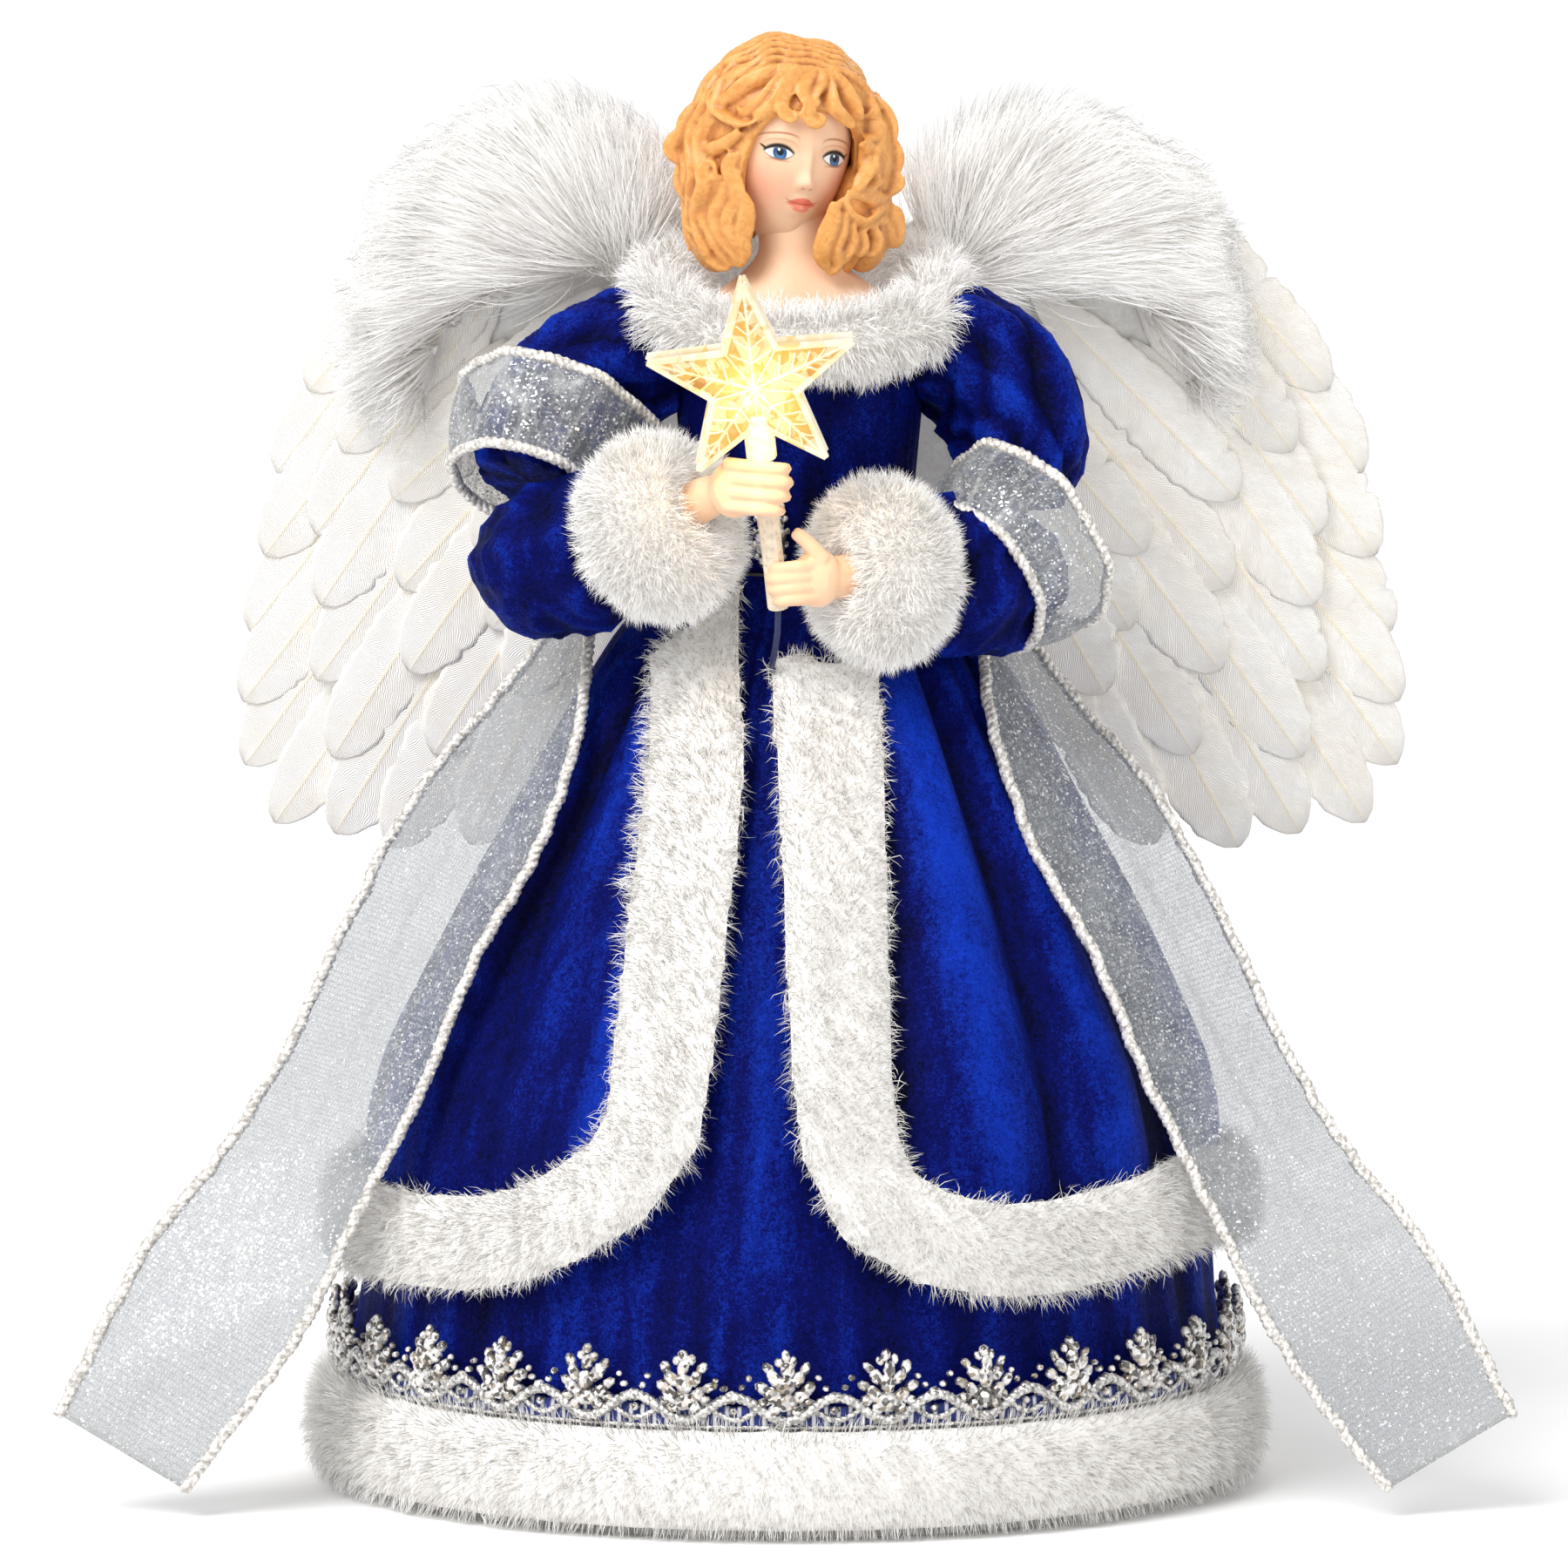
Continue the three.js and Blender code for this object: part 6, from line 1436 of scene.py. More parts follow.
def crown_locks():
    """Waved locks combed from the parting down to each side, over the round of the head."""
    t = np.linspace(0, 1, 30)[:, None]
    places = np.linspace(0, 1, 15)
    starts = unit(three_curve(np.array(PARTING), places))
    locks = []
    for ends, size in COMBED:
        feet = unit(three_curve(np.array(ends), places))
        for k, (start, foot) in enumerate(zip(starts, feet)):
            across = unit(np.cross(start, foot)[None])
            wave = size * np.sin(TURN * 2.3 * t + 0.35 * k) * np.clip(t * 5, 0, 1)
            way = unit(start * np.cos(np.pi / 2 * t) + foot * np.sin(np.pi / 2 * t) + across * wave)
            lift = 1 + 0.012 * np.sin(TURN * 2.3 * t + 0.35 * k + 1.5)
            locks.append(lock(way * lift * np.array([23.6, 22.0, 26.6]) + np.array([0.2, 0, 355.2]), 2.0))
    return locks


def hanging_locks():
    """Waved locks over the back and sides of the head, from the crown to the nape."""
    t = np.linspace(0, 1, 44)
    locks = []
    for k, azimuth in enumerate(np.arange(62, 300, 11.0)):
        drop = 58 + 100 * t
        a = np.radians(azimuth + 4.5 * np.sin(TURN * 2.2 * t) * np.clip(t * 5, 0, 1) + 1.5 * (k % 2))
        d = np.radians(np.minimum(drop, 100))
        out = 0.5 * np.sin(TURN * 2.2 * t + 1.6) - 0.10 * np.maximum(0, drop - 125)
        x, y = (24.5 + out) * np.sin(d) * np.sin(a), -(23 + out) * np.sin(d) * np.cos(a)
        z = HEAD_RISE + 27.5 * np.cos(d) - 0.45 * np.maximum(0, drop - 100) + 1.5 * (k % 3 - 1) * t
        locks.append(lock(on_head(np.stack([x, y, z], axis=1)), 2.8))
    return locks


def make_hair():
    hairline = np.array([[0, 24], [20, 22], [34, 16], [44, 4], [50, -15], [56, -40], [72, -62], [180, -62]])

    def surface(u, v):
        turn = 360 * u - 180
        around = np.abs((turn - 14 + 180) % 360 - 180)
        low = np.interp(around, hairline[:, 0], hairline[:, 1])
        a, h = np.radians(turn), np.radians(low + (90 - low) * v)
        return on_head(np.stack([
            23 * np.cos(h) * np.sin(a), -20.9 * np.cos(h) * np.cos(a), HEAD_RISE + 26.2 * np.sin(h)], axis=1))

    cap = weld(net("hair_cap", 120, 40, surface))
    apply_modifier(cap, "SOLIDIFY", thickness=3.5 * MM, offset=-1.0)
    parts = [cap] + crown_locks() + hanging_locks()
    t = np.linspace(0, 1, 30)
    for radius, *places in FRONT_LOCKS:
        drawn = np.array([(x, y, 0) for x, y in places], float)
        parts.append(lock(on_front(three_curve(drawn, t)[:, :2]), radius * 1.3))
    # Balls that fill the bunches of locks beside the neck and the cheeks
    for side in (-1, 1):
        inward = 0 if side < 0 else 1.8
        parts.append(round_ball((18.5 * side + inward, -1, 335), (8, 8.5, 15), 28, 20))
        parts.append(round_ball((22 * side + 0.6 * inward, -1, 352), (6, 9, 14), 28, 20))
    hair = join("moulded_hair", parts)
    apply_modifier(hair, "REMESH", mode="VOXEL", voxel_size=0.6 * MM)
    apply_modifier(hair, "SMOOTH", factor=0.5, iterations=1)
    smooth(hair)
    # The groove mark lets the hair's finish paint shade in its grooves
    mark(hair, "groove", hollows(hair))
    settle(hair, moulded_hair(), stands_for=("hair",))


make_head()
make_neck()
make_hair()


# ---------------------------------------------------------------- star and wand

WAND_HEAD = np.array([-8.5, -82.0, 301.0])
WAND_FOOT = np.array([-2.0, -64.0, 239.0])
WAND_AXIS = (WAND_HEAD - WAND_FOOT) / np.linalg.norm(WAND_HEAD - WAND_FOOT)
STAR_ACROSS = np.cross((0, 1, 0), WAND_AXIS)
STAR_ACROSS = STAR_ACROSS / np.linalg.norm(STAR_ACROSS)
STAR_BACK = np.cross(WAND_AXIS, STAR_ACROSS)
STAR_TIP, STAR_WAIST = 29.0, 12.4


def on_star(rows):
    rows = np.asarray(rows, float)
    return WAND_HEAD + rows[:, :1] * STAR_ACROSS + rows[:, 1:2] * STAR_BACK + rows[:, 2:3] * WAND_AXIS


def star_edge(turn):
    """Radius of the star's outline at an angle from the top."""
    part = np.abs(np.mod(turn / TURN * 5 + 0.5, 1) - 0.5) * 2 * np.pi / 5
    tip = np.array([0.0, STAR_TIP])
    waist = np.array([STAR_WAIST * math.sin(math.pi / 5), STAR_WAIST * math.cos(math.pi / 5)])
    edge = waist - tip
    normal = np.array([-edge[1], edge[0]]) / np.linalg.norm(edge)
    if normal[0] * tip[0] + normal[1] * tip[1] < 0:
        normal = -normal
    return normal @ tip / (normal[0] * np.sin(part) + normal[1] * np.cos(part))


def star_shell(name, toward, paint):
    """One domed half of the star, raised along its arms."""
    def surface(u, v):
        turn = TURN * u
        edge = star_edge(turn)
        arm = np.cos(5 * turn) * 0.5 + 0.5
        high = 6.0 - 4.0 * v ** 0.9 + 0.9 * arm * np.clip(v * 3, 0, 1) * np.clip((1 - v) * 6, 0, 1)
        return on_star(np.stack([edge * v * np.sin(turn), toward * high, edge * v * np.cos(turn)], axis=1))

    shell = smooth(weld(net(f"star_{name}_shell", 200, 30, surface), 0.02), 40)
    settle(shell, paint, stands_for=(f"star_{name}",))


def star_facets(crown, tip, toward):
    """The small bars across one arm, slanting back from its middle rib."""
    bars = []
    sideways = np.array([tip[2], 0, -tip[0]]) / np.hypot(tip[0], tip[2])
    for share in (0.36, 0.50, 0.64, 0.78):
        middle = crown + (tip - crown) * share + np.array([0, toward * 0.3, 0])
        inner = crown + (tip - crown) * (share - 0.10)
        for half in (-1, 1):
            end = middle + half * sideways * (1 - share) * 8.4 + np.array([0, -toward * 1.0 * (1 - share), 0])
            bent = (inner + end) / 2 + np.array([0, toward * 0.25, 0])
            path = np.array([inner + half * sideways * 0.3, bent, end])
            bars.append(tube("facet", on_star(three_curve(path, np.linspace(0, 1, 6))), 0.27, 6))
    return bars


def star_rim(name, toward, paint):
    """The raised rim, ribs and facets on one half of the star."""
    parts = []
    corners = [((STAR_TIP if k % 2 == 0 else STAR_WAIST) - 0.9, k * math.pi / 5) for k in range(10)]
    outline = np.array([[r * math.sin(a), toward * 2.3, r * math.cos(a)] for r, a in corners])
    for k in range(10):
        a, b = outline[k], outline[(k + 1) % 10]
        parts.append(tube("rim", on_star(a + (b - a) * np.linspace(-0.01, 1.01, 8)[:, None]), 1.0, 10))
    crown = np.array([0, toward * 6.4, 0])
    for k in range(10):
        tip = outline[k] * np.array([0.96, 1, 0.96]) + np.array([0, toward * 0.5, 0])
        line = crown + (tip - crown) * np.linspace(0, 1, 20)[:, None]
        parts.append(tube("rib", on_star(line), 0.45 if k % 2 == 0 else 0.32, 8))
        if k % 2 == 0:
            parts += star_facets(crown, tip, toward)
    rim = smooth(join(f"star_{name}_rim", parts), 50)
    settle(rim, paint, stands_for=(f"star_{name}",))


def make_star():
    paint = lit_star("lit_star", ((0.52, 0.20, 0.03), (0.92, 0.50, 0.11), (1.0, 0.84, 0.50)), 0.36)
    edge_paint = lit_star("star_rim", ((0.95, 0.70, 0.32), (1.0, 0.86, 0.58), (1.0, 0.95, 0.80)), 0.50)
    for name, toward in (("front", -1), ("back", 1)):
        star_shell(name, toward, paint)
        star_rim(name, toward, edge_paint)


def dress_wand():
    redress("wand_tube", frosted_tube("frosted_tube", (0.34, 0.24, 0.12)))
    bright = frosted_tube("bright_tube", (0.95, 0.72, 0.34))
    redress("wand_ferrule", bright)
    redress("wand_neck", bright)
    redress("star_lamp", lamp_glass())


def redress(node, paint):
    piece = NODES[node]
    piece.data.materials.clear()
    piece.data.materials.append(paint)


make_star()
dress_wand()


# ---------------------------------------------------------------- beaded trim and brooch

CRYSTAL = crystal()
TRIM_FOOT = 29.35
TRIM_INNER = SKIRT_RADIUS + 0.35
CLUSTERS = 28
# Sideways, height, outward lift, half width, half height and turn of each bead: the stem of a leaf cluster, and the
# leaves of its right side
STEM = [
    (0, 3.4, 3.0, 2.3, 2.3, 0), (0, 8.0, 2.9, 1.9, 2.6, 0), (0.3, 12.3, 2.3, 1.5, 2.2, 0),
    (-0.2, 15.6, 1.7, 1.1, 1.5, 0),
]
LEAVES = [
    (3.8, 5.2, 2.4, 1.5, 2.6, -0.75), (6.3, 7.3, 1.9, 1.2, 2.1, -0.95), (3.3, 9.8, 2.3, 1.4, 2.4, -0.6),
    (5.0, 12.2, 1.8, 1.0, 1.7, -0.6), (3.2, 1.8, 2.6, 1.4, 1.4, 0), (5.9, 3.8, 2.1, 1.1, 1.1, 0),
    (2.0, 14.2, 1.9, 0.9, 1.3, -0.3),
]
# Share of the way to the next cluster, height and radius of the loose beads
LOOSE = [(0.5, 0.2, 1.5), (0.5, -3.4, 1.0), (0.40, 2.6, 0.8), (0.60, 2.6, 0.8), (0.33, 5.0, 0.75), (0.67, 5.0, 0.75)]


def trim_point(angle, height, out):
    radius = TRIM_INNER + out
    return np.stack([radius * np.sin(angle), -radius * np.cos(angle), height * np.ones_like(angle)], axis=1)


def bead_model(rings=5, segments=7):
    put_down()
    bpy.ops.mesh.primitive_uv_sphere_add(segments=segments, ring_count=rings, radius=MM, location=(0, 0, 0))
    bpy.ops.object.shade_smooth()
    return bpy.context.object


def make_trim():
    rng = np.random.default_rng(91)
    turn = np.linspace(0, 1, CLUSTERS * 12 + 1)
    angle = TURN * turn

    def crest(a):
        return TRIM_FOOT + 8.2 + 2.2 * np.cos(CLUSTERS * a)

    def band(u, v):
        a = TURN * u
        return trim_point(a, TRIM_FOOT + v * (crest(a) - TRIM_FOOT), 0.9 + 0.4 * np.sin(np.pi * v))

    tape = weld(net("trim_tape", CLUSTERS * 12, 8, band))
    apply_modifier(tape, "SOLIDIFY", thickness=0.8 * MM, offset=-1.0)
    smooth(tape)
    settle(tape, blue_tape(), stands_for=("beaded_trim",))
    cords = []
    for k, (rise, wave, out, thick) in enumerate(((6.0, 3.4, 2.0, 1.2), (5.6, -3.2, 2.3, 2.1), (0.7, 0.0, 1.4, 0.8))):
        height = TRIM_FOOT + rise + wave * np.cos(CLUSTERS * angle)
        cords.append(braid(f"trim_cord_{k}", trim_point(angle, height, out), thick, 3.2, 0.25 * thick))
    cord = join("trim_cords", cords)
    silver = pearl_braid("silver_cord", (0.34, 0.33, 0.32), (0.90, 0.88, 0.85), 0.75)
    settle(cord, silver, stands_for=("beaded_trim",))
    cluster = STEM + [(side * x, *shape, side * lean) for side in (-1, 1) for x, *shape, lean in LEAVES]
    step = TURN * TRIM_INNER / CLUSTERS
    between = [(step * share, 4.6 + rise, 1.7, size, size, 0) for share, rise, size in LOOSE]
    beads = []
    for k in range(CLUSTERS):
        base = TURN * k / CLUSTERS
        for x, z, out, half, tall, lean in cluster + between:
            a = base + (x * 0.95 + rng.normal() * 0.25) / TRIM_INNER
            lean = lean + rng.normal() * 0.18
            half, tall = half * rng.uniform(1.1, 1.5), tall * rng.uniform(1.05, 1.3)
            outward = np.array([math.sin(a), -math.cos(a), 0])
            across = np.array([math.cos(a), math.sin(a), 0])
            up = np.array([0, 0, 1.0])
            along = up * math.cos(lean) + across * -math.sin(lean)
            sideways = across * math.cos(lean) + up * math.sin(lean)
            place = trim_point(np.array([a]), TRIM_FOOT + 4.0 + z + rng.normal() * 0.2, out)[0]
            beads.append(seat(place, sideways, along, outward, (half, tall, min(half, 1.5))))
    jewels = strewn("trim_jewels", bead_model(), beads)
    settle(jewels, CRYSTAL, stands_for=("beaded_trim",))


# Height, count and radius of the jewels in each row of the brooch
BROOCH_ROWS = [
    (-9.0, 1, 1.6), (-6.0, 2, 1.7), (-2.8, 2, 2.0), (0.6, 2, 2.2), (4.0, 2, 1.9), (7.2, 2, 1.5), (9.6, 1, 1.2),
]


def facing_front(place, half):
    """A bead set upright on the front of the bodice."""
    return seat(place, (1, 0, 0), (0, 0, 1), (0, -1, 0), half)


def make_brooch():
    beads = []
    middle = np.array([-4.0, -25.4, WAIST + 10.4])
    for high, count, size in BROOCH_ROWS:
        for k in range(count):
            x = (k - (count - 1) / 2) * size * 2.0
            half = (size * 0.95, size * 1.15, size * 0.8)
            beads.append(facing_front(middle + (x, 0.25 * abs(x) - 0.6, high), half))
        if count == 2:
            beads.append(facing_front(middle + (0, -1.0, high + 1.6), (0.9, 0.9, 0.9)))
            for side in (-1, 1):
                beads.append(facing_front(middle + (side * size * 2.0, 0.4, high + 1.2), (0.8, 1.0, 0.8)))
    brooch = strewn("waist_jewels", bead_model(7, 10), beads)
    settle(brooch, CRYSTAL, stands_for=("waist_brooch",))


make_trim()
make_brooch()


# ---------------------------------------------------------------- wings

# Length of each row's feathers, then the reach and height of each tip as shares of the wing's, and its slope in degrees
FEATHER_ROWS = {
    "back": (1.0, [
        [0.87, 0.8, 50], [0.93, 0.735, 52], [0.955, 0.67, 53], [0.985, 0.61, 52], [1, 0.555, 51], [1, 0.505, 53],
        [0.95, 0.46, 57]]),
    "outer": (0.92, [
        [0.81, 0.755, 52], [0.86, 0.69, 54], [0.855, 0.635, 55], [0.865, 0.575, 55], [0.84, 0.515, 56],
        [0.84, 0.455, 58], [0.74, 0.445, 63]]),
    "inner": (0.84, [[0.72, 0.72, 46], [0.71, 0.65, 50], [0.7, 0.585, 54], [0.66, 0.52, 58], [0.6, 0.45, 63]]),
    "body": (0.76, [[0.57, 0.68, 52], [0.55, 0.62, 57], [0.51, 0.57, 61], [0.48, 0.525, 65]]),
}
ROW_FRONT = {"back": 1.95, "outer": -1.5, "inner": -3.0, "body": -4.5}
# Side and span of each wing
WINGS = {"left": (-1, 152.0), "right": (1, 164.0)}
FEATHER_LENGTH = 98.0
VANE_SHARES = [0, 0.06, 0.25, 0.55, 0.8, 0.9, 0.955, 0.985, 1]
VANE_WIDTHS = [0.06, 0.30, 0.72, 0.98, 0.93, 0.76, 0.52, 0.29, 0.04]


def on_wing(side, rows):
    turned = np.array(Matrix.Rotation(side * 0.14, 3, "Z") @ Matrix.Rotation(0.15, 3, "X"))
    return np.asarray(rows, float) @ turned.T + np.array([OFFSET, WING_PLANE, WING_PIVOT])


def one_feather(name, side, tip, slope, length, depth, rng):
    """A vane with a notched edge and a raised quill, cupped a little and closed at its back."""
    down = math.radians(slope)
    along = np.array([side * math.cos(down), 0, -math.sin(down)])
    across = np.cross(along, (0, 1, 0))
    start = np.array([side * tip[0], depth, tip[1]]) - along * length
    half = 11.0 * rng.uniform(0.92, 1.06)
    splits = rng.uniform(0.35, 0.92, 3)
    wavy = rng.uniform(0, 6.28)
    bow = rng.uniform(-2.0, 2.0)

    def surface(u, v):
        wide = np.interp(v, VANE_SHARES, VANE_WIDTHS)
        edge = np.abs(2 * u - 1)
        jag = 1 + 0.026 * np.sin(v * 97 + wavy) * edge ** 3 + 0.02 * np.sin(v * 61 + 2 * wavy) * edge ** 2
        for split in splits:
            jag -= 0.14 * np.exp(-((v - split) / 0.010) ** 2) * edge ** 2 * (u > 0.5 if split > 0.6 else u < 0.5)
        x = (2 * u - 1) * half * wide * jag
        y = v * length
        quill = -0.36 * np.exp(-(x / 0.8) ** 2) * (1 - 0.7 * v)
        cup = 0.40 * edge ** 2 * wide
        ripple = 0.10 * np.sin(v * 40 + 3 * edge + wavy) * edge
        curve = bow * np.sin(np.pi * v) * 0.6
        lifted = np.array([0, 1.0, 0]) * (quill + cup + ripple)[:, None]
        return on_wing(side, start + along * y[:, None] + across * (x + curve)[:, None] + lifted)

    return net(name, 14, 56, surface)


def make_feathers():
    paint = feather_vane()
    for wing, (side, span) in WINGS.items():
        for row, (share, tips) in FEATHER_ROWS.items():
            rng = np.random.default_rng(len(row) * 7 + side)
            parts = []
            for i, (reach, high, slope) in enumerate(tips):
                tip = (reach * span, high * WING_HIGH - WING_PIVOT)
                depth = ROW_FRONT[row] + (0.35 if i % 2 else 0.0)
                parts.append(one_feather("vane", side, tip, slope, share * FEATHER_LENGTH, depth, rng))
            feathers = weld(join(f"feathers_{row}_{wing}", parts), 0.002)
            apply_modifier(feathers, "SOLIDIFY", thickness=0.28 * MM, offset=0.0)
            smooth(feathers)
            settle(feathers, paint, stands_for=(f"wing_feathers_{row}_{wing}",))


# The left tuft's edge seen from the front, across and up
FLUFF_EDGE = np.array([
    (-48.8, 363.2), (-60.3, 366.7), (-72.9, 365.5), (-82, 359.7), (-92.5, 350.4), (-102.8, 343.5), (-108.6, 338.8),
    (-112, 319), (-115.5, 309.8), (-116.6, 296), (-119, 286.6), (-115.5, 278.5), (-108.6, 275), (-97, 275),
    (-78.7, 277), (-60, 284), (-46, 296), (-32.7, 312), (-29, 347),
])
FLUFF_MIDDLE = np.array([-72.0, 322.0])
FLUFF_SIZE = {-1: 1.0, 1: 1.03}


def fluff_reach(side, points):
    """How far each point is from the tuft's middle, seen from the front, and how far the tuft's edge is there."""
    edge = FLUFF_EDGE - FLUFF_MIDDLE
    turns = np.arctan2(edge[:, 1], edge[:, 0])
    order = np.argsort(turns)
    away = np.stack([-side * points[:, 0] / FLUFF_SIZE[side], points[:, 2]], axis=1) - FLUFF_MIDDLE
    reach = np.hypot(away[:, 0], away[:, 1])
    rim = np.hypot(edge[:, 0], edge[:, 1])[order]
    far = np.interp(np.arctan2(away[:, 1], away[:, 0]), turns[order], rim, period=TURN)
    return reach, far


def drawn_to(side, points, far):
    """Brings points that lie past a share of the tuft's reach back to it."""
    middle = np.array([-side * FLUFF_MIDDLE[0] * FLUFF_SIZE[side], 0, FLUFF_MIDDLE[1]])
    reach, edge = fluff_reach(side, points)
    pull = np.minimum(1, edge * far / np.maximum(reach, 1e-6))
    scaled = points.copy()
    for axis in (0, 2):
        scaled[:, axis] = middle[axis] + (points[:, axis] - middle[axis]) * pull
    return scaled


def make_fluff():
    for wing, (side, _) in WINGS.items():
        def flow(roots, side=side):
            away = roots - np.array([side * 42.0, 0, 312.0])
            away[:, 1] = 0
            return 1.4 * unit(away) + np.array([0, -0.10, -0.25])

        def kept_in(tips, rng, side=side):
            return drawn_to(side, tips, rng.uniform(0.88, 1.08, len(tips)))

        def held_in(points, side=side):
            return drawn_to(side, points, 0.80)

        furred(f"wing_fluff_{wing}", 22500, 32, voxel=2.0, drawn_in=3.5, fill=0.8, hold=held_in, comb=flow, tuft=4.5,
               gather=0.55, paint=GLOWING_PLUSH, ruffle=0.24, width=0.34, stations=4, stand=0.45, lift=0.25,
               confine=kept_in, seed=81 + side)


make_feathers()
make_fluff()


# ---------------------------------------------------------------- ribbons

# Rows down a streamer: sideways, ahead and height of its outer and its inner edge, as shares of the whole
TAILS = [
    [[0.047, -0.355, 1.036], [0.047, -0.33, 1.106]], [[0.184, -0.21, 1.038], [0.163, -0.155, 1.11]],
    [[0.252, -0.12, 1], [0.21, 0.02, 1.035]], [[0.335, -0.14, 0.935], [0.262, 0.16, 0.972]],
    [[0.413, -0.05, 0.86], [0.287, 0.5, 0.855]], [[0.498, 0.1, 0.785], [0.34, 0.64, 0.735]],
    [[0.593, 0.25, 0.655], [0.42, 0.75, 0.625]], [[0.687, 0.42, 0.5], [0.5, 0.84, 0.475]],
    [[0.781, 0.58, 0.385], [0.587, 0.9, 0.34]], [[0.882, 0.75, 0.29], [0.675, 0.96, 0.2]],
    [[1, 0.92, 0.112], [0.828, 1, 0.032]],
]


def make_tails():
    fine = np.linspace(0, 1, 161)
    for wing, side in (("left", -1), ("right", 1)):
        edges = []
        for edge in (0, 1):
            rows = np.array([pair[edge] for pair in TAILS])
            places = np.stack([side * rows[:, 0] * TAIL_WIDE, -rows[:, 1] * TAIL_DEEP, rows[:, 2] * TAIL_TOP], axis=1)
            edges.append(three_curve(places, fine))

        def surface(u, v):
            i = np.rint(v * 160).astype(int)
            flat = edges[0][i] * (1 - u[:, None]) + edges[1][i] * u[:, None]
            along = unit(np.gradient(edges[0] + edges[1], axis=0))[i]
            normal = unit(np.cross(edges[1][i] - edges[0][i], along)) * side
            wave = 0.55 * np.sin(26 * v + 4 * u) * np.clip(v * 4, 0, 1) + 0.35 * np.sin(71 * v + 9 * u)
            return flat + normal * (0.45 + wave * np.sin(np.pi * u))[:, None]

        mesh = net(f"tail_mesh_{wing}", 26, 160, surface)
        share = np.zeros((len(mesh.data.vertices), 2))
        uv = np.empty(len(mesh.data.loops) * 2, dtype=np.float32)
        mesh.data.uv_layers.active.data.foreach_get("uv", uv)
        share[corners_of(mesh)] = uv.reshape(-1, 2)
        long_crease = np.exp(-((share[:, 0] - 0.42 - 0.03 * np.sin(9 * share[:, 1])) / 0.018) ** 2) * 0.5
        end_crease = np.exp(-((share[:, 1] - 0.865) / 0.0035) ** 2) * 0.8
        end = np.exp(-((1 - share[:, 1]) / 0.006) ** 2) * 0.6
        mark(mesh, "crease", np.clip(long_crease + end_crease + end, 0, 1))
        apply_modifier(mesh, "SOLIDIFY", thickness=0.22 * MM, offset=0.0)
        smooth(mesh)
        wires = []
        for k, u in enumerate((0.0, 1.0)):
            path = surface(np.full(161, u), fine)
            kink = 0.35 * np.stack([wave_noise(path, 7, 90 + 3 * k + a) for a in range(3)], axis=1)
            wires.append(braid(f"tail_braid_{wing}_{k}", path + kink, 2.4, 4.6, 0.6))
        settle_ribbon(mesh, wires, SHEER, f"ribbon_tail_{wing}")


def make_knot():
    """The streamers' knot: a short loop of the same ribbon drawn tight, with its wired edges."""
    def surface(u, v):
        angle = TURN * u
        pinch = 0.72 + 0.28 * np.abs(2 * v - 1) ** 1.5
        pleat = 0.35 * np.cos(14 * angle + 3 * v)
        x = (8.6 * pinch + pleat) * np.cos(angle)
        y = 29.64 + (5.0 * pinch + pleat) * np.sin(angle)
        return np.stack([x, y, 244.6 + 16.6 * v + 0.6 * np.sin(3 * angle)], axis=1)

    loop = weld(net("ribbon_loop", 120, 24, surface))
    mark(loop, "crease", np.full(len(loop.data.vertices), 0.25))
    apply_modifier(loop, "SOLIDIFY", thickness=0.3 * MM, offset=0.0)
    smooth(loop)
    turn = np.linspace(0, 1, 121)
    wires = [braid(f"loop_braid_{end}", surface(turn, np.full(121, float(end))), 1.7, 3.8, 0.45) for end in (0, 1)]
    settle_ribbon(loop, wires, SHEER, "ribbon_knot")


make_knot()
make_tails()


# ---------------------------------------------------------------- frame parts that show as they are

def dress_frame():
    card = moulded("white_card", (0.70, 0.68, 0.64), (0.84, 0.83, 0.80), 0.8, patch=2.5, depth=0.06, scratch=0.15)
    case = moulded("case_plastic", (0.78, 0.78, 0.76), (0.88, 0.88, 0.87), 0.42, patch=9.0, depth=0.03, scratch=0.25)
    black = moulded(
        "cell_sleeve", (0.015, 0.017, 0.020), (0.035, 0.038, 0.045), 0.38, patch=6.0, depth=0.02, scratch=0.1)
    steel = moulded(
        "spring_steel", (0.42, 0.43, 0.44), (0.62, 0.63, 0.64), 0.3, 1.0, patch=2.0, depth=0.02, scratch=0.4)
    sheath = moulded("lead_sheath", (0.006, 0.010, 0.060), (0.012, 0.022, 0.11), 0.5, patch=3.0, depth=0.02)
    for paint, nodes in (
        (card, ("skirt_cone", "torso_core", "wing_bracket", "wing_board_left", "wing_board_right")),
        (case, ("battery_case", "battery_cover")),
        (black, ("battery_cell_left", "battery_cell_right", "switch_slider", "switch_body")),
        (steel, ("contact_left", "contact_right", "contact_bridge")),
        (sheath, ("lamp_lead",)),
    ):
        for node in nodes:
            redress(node, paint)


dress_frame()


# ---------------------------------------------------------------- floor, light and camera

FLOOR_WIDE = 14
WORLD_LIGHT = 0.66
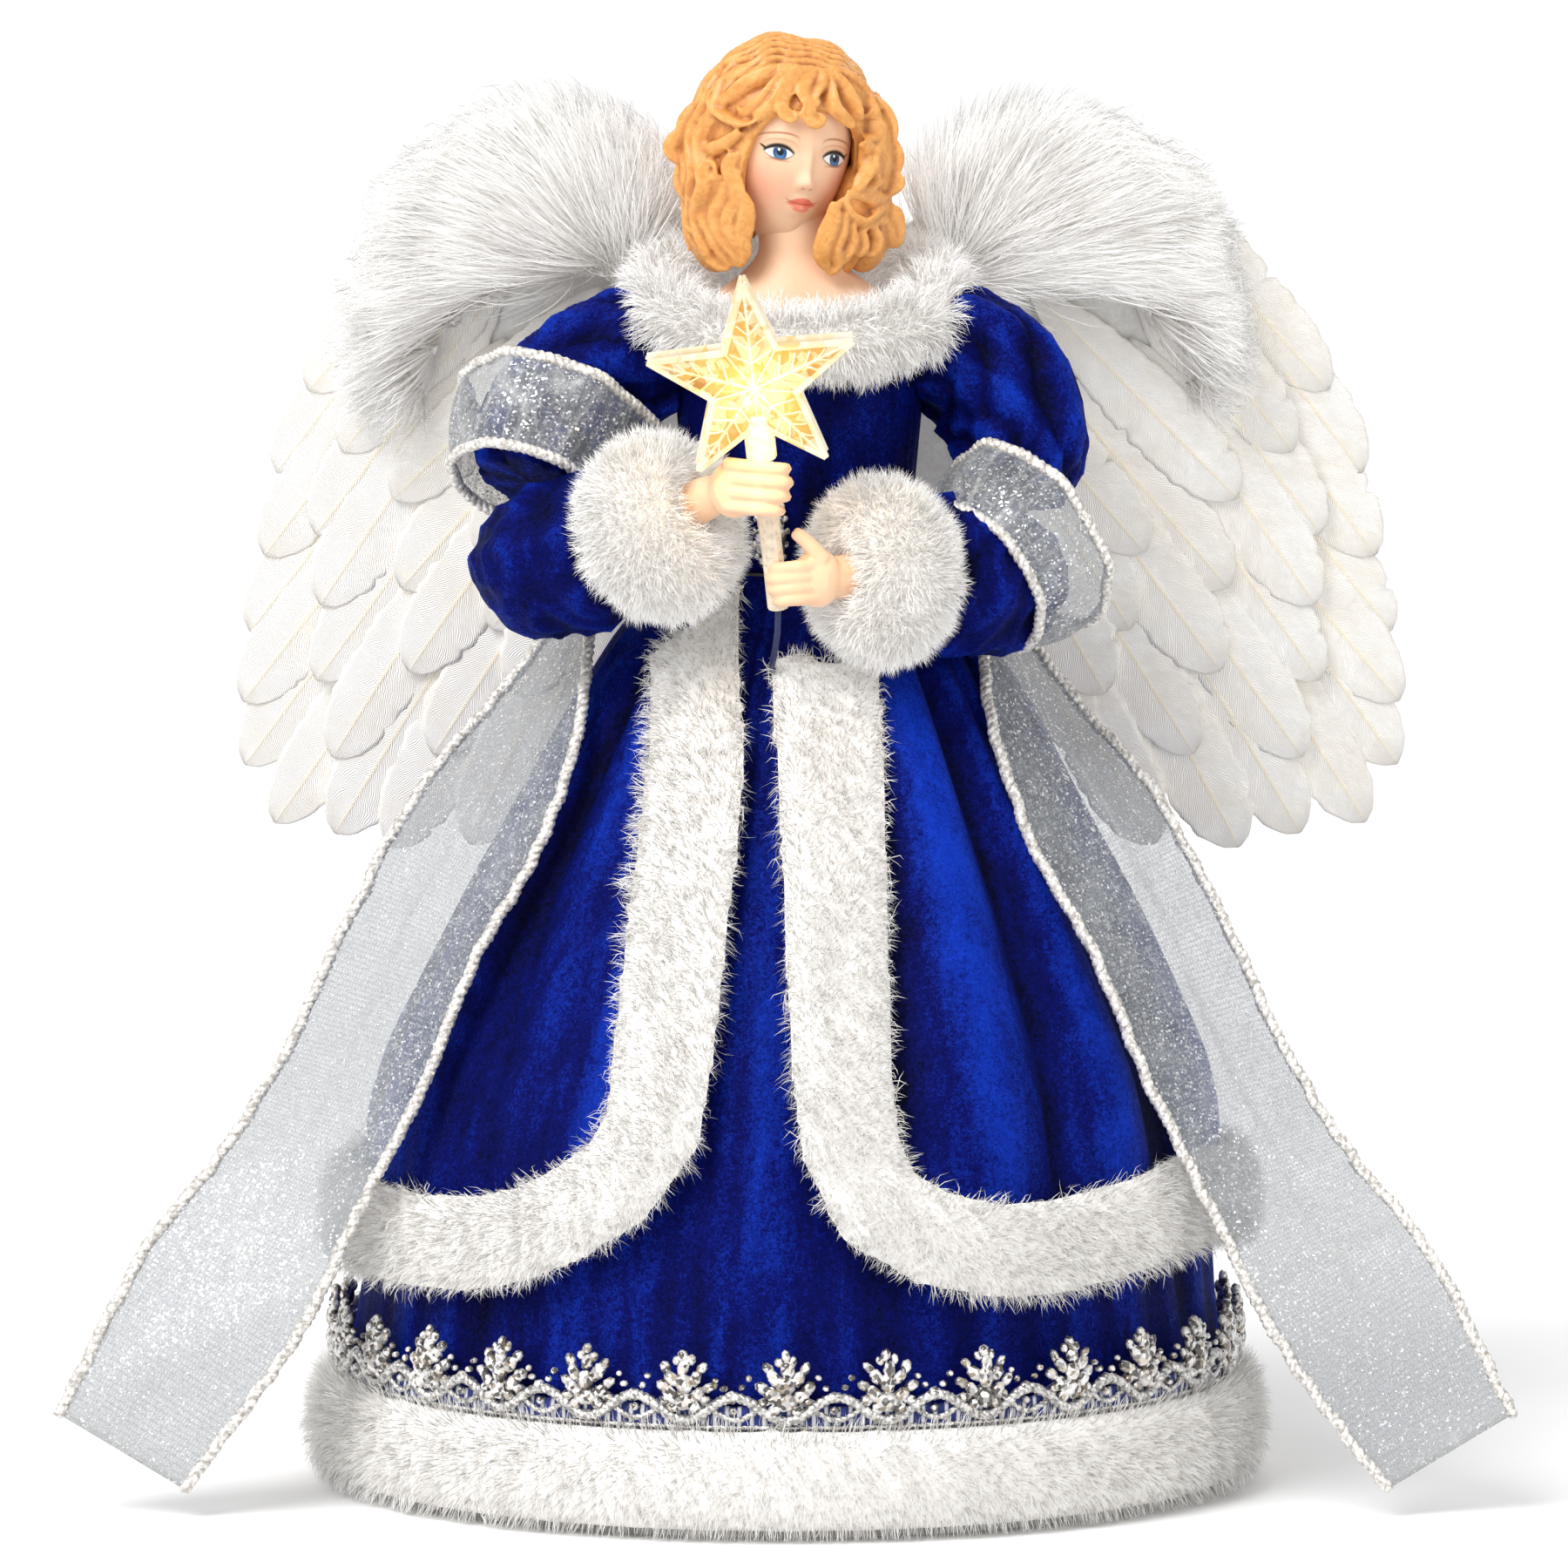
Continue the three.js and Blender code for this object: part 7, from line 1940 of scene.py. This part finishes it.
# Name, kind, place, size and power of each lamp; a sun's size is an angle
LAMPS = (
    ("wash", "SUN", (-0.9, -1.2, 2.0), 0.55, 1.95), ("key", "AREA", (-1.2, -1.5, 1.5), 1.0, 12),
    ("fill", "AREA", (1.5, -1.3, 0.8), 1.2, 4), ("back", "AREA", (0.4, 1.6, 0.9), 1.0, 6),
)
LAMPS_AIM = Vector((0, 0, 0.2))
STAR_GLOW_PLACE = (-0.0075, -0.098, 0.294)
STAR_GLOW_POWER = 0.045
CAMERA_AIM = Vector((-0.0005, 0, 0.184))
CAMERA_RISE = math.radians(7.4)
CAMERA_DISTANCE = 8.0
SENSOR_WIDE = 36
FRAME_WIDE = 0.414


def lay_floor():
    put_down()
    bpy.ops.mesh.primitive_grid_add(x_subdivisions=2, y_subdivisions=2, size=FLOOR_WIDE, location=(0, 0, 0))
    floor = bpy.context.object
    floor.name = "floor"
    paint, w, shader, place = blank("floor_paper", 0.9)
    tone = w.noise(place, 400, 2)
    wire(w, shader, Base_Color=w.blend(tone, (0.91, 0.91, 0.91), (0.94, 0.94, 0.94)))
    floor.data.materials.append(paint)


def set_lights():
    world = bpy.data.worlds.new("studio")
    scene.world = world
    world.use_nodes = True
    background = world.node_tree.nodes["Background"]
    background.inputs["Color"].default_value = (1, 1, 1, 1)
    background.inputs["Strength"].default_value = WORLD_LIGHT
    for name, kind, place, size, power in LAMPS:
        lamp = bpy.data.lights.new(name, kind)
        if kind == "SUN":
            lamp.angle = size
        else:
            lamp.size = size
        lamp.energy = power
        stand = bpy.data.objects.new(name, lamp)
        stand.location = place
        stand.rotation_euler = (LAMPS_AIM - Vector(place)).to_track_quat("-Z", "Y").to_euler()
        scene.collection.objects.link(stand)
    glow = bpy.data.lights.new("star_glow", "POINT")
    glow.energy = STAR_GLOW_POWER
    glow.color = (1.0, 0.62, 0.22)
    glow.shadow_soft_size = 0.006
    stand = bpy.data.objects.new("star_glow", glow)
    stand.location = STAR_GLOW_PLACE
    scene.collection.objects.link(stand)


def aim_camera():
    lens = bpy.data.cameras.new("camera")
    camera = bpy.data.objects.new("camera", lens)
    scene.collection.objects.link(camera)
    scene.camera = camera
    away = Vector((0, -math.cos(CAMERA_RISE), math.sin(CAMERA_RISE)))
    camera.location = CAMERA_AIM + CAMERA_DISTANCE * away
    camera.rotation_euler = (CAMERA_AIM - camera.location).to_track_quat("-Z", "Y").to_euler()
    lens.sensor_fit = "HORIZONTAL"
    lens.sensor_width = SENSOR_WIDE
    lens.lens = SENSOR_WIDE * CAMERA_DISTANCE / FRAME_WIDE
    lens.clip_end = 60


lay_floor()
set_lights()
aim_camera()
scene.view_settings.view_transform = "Standard"
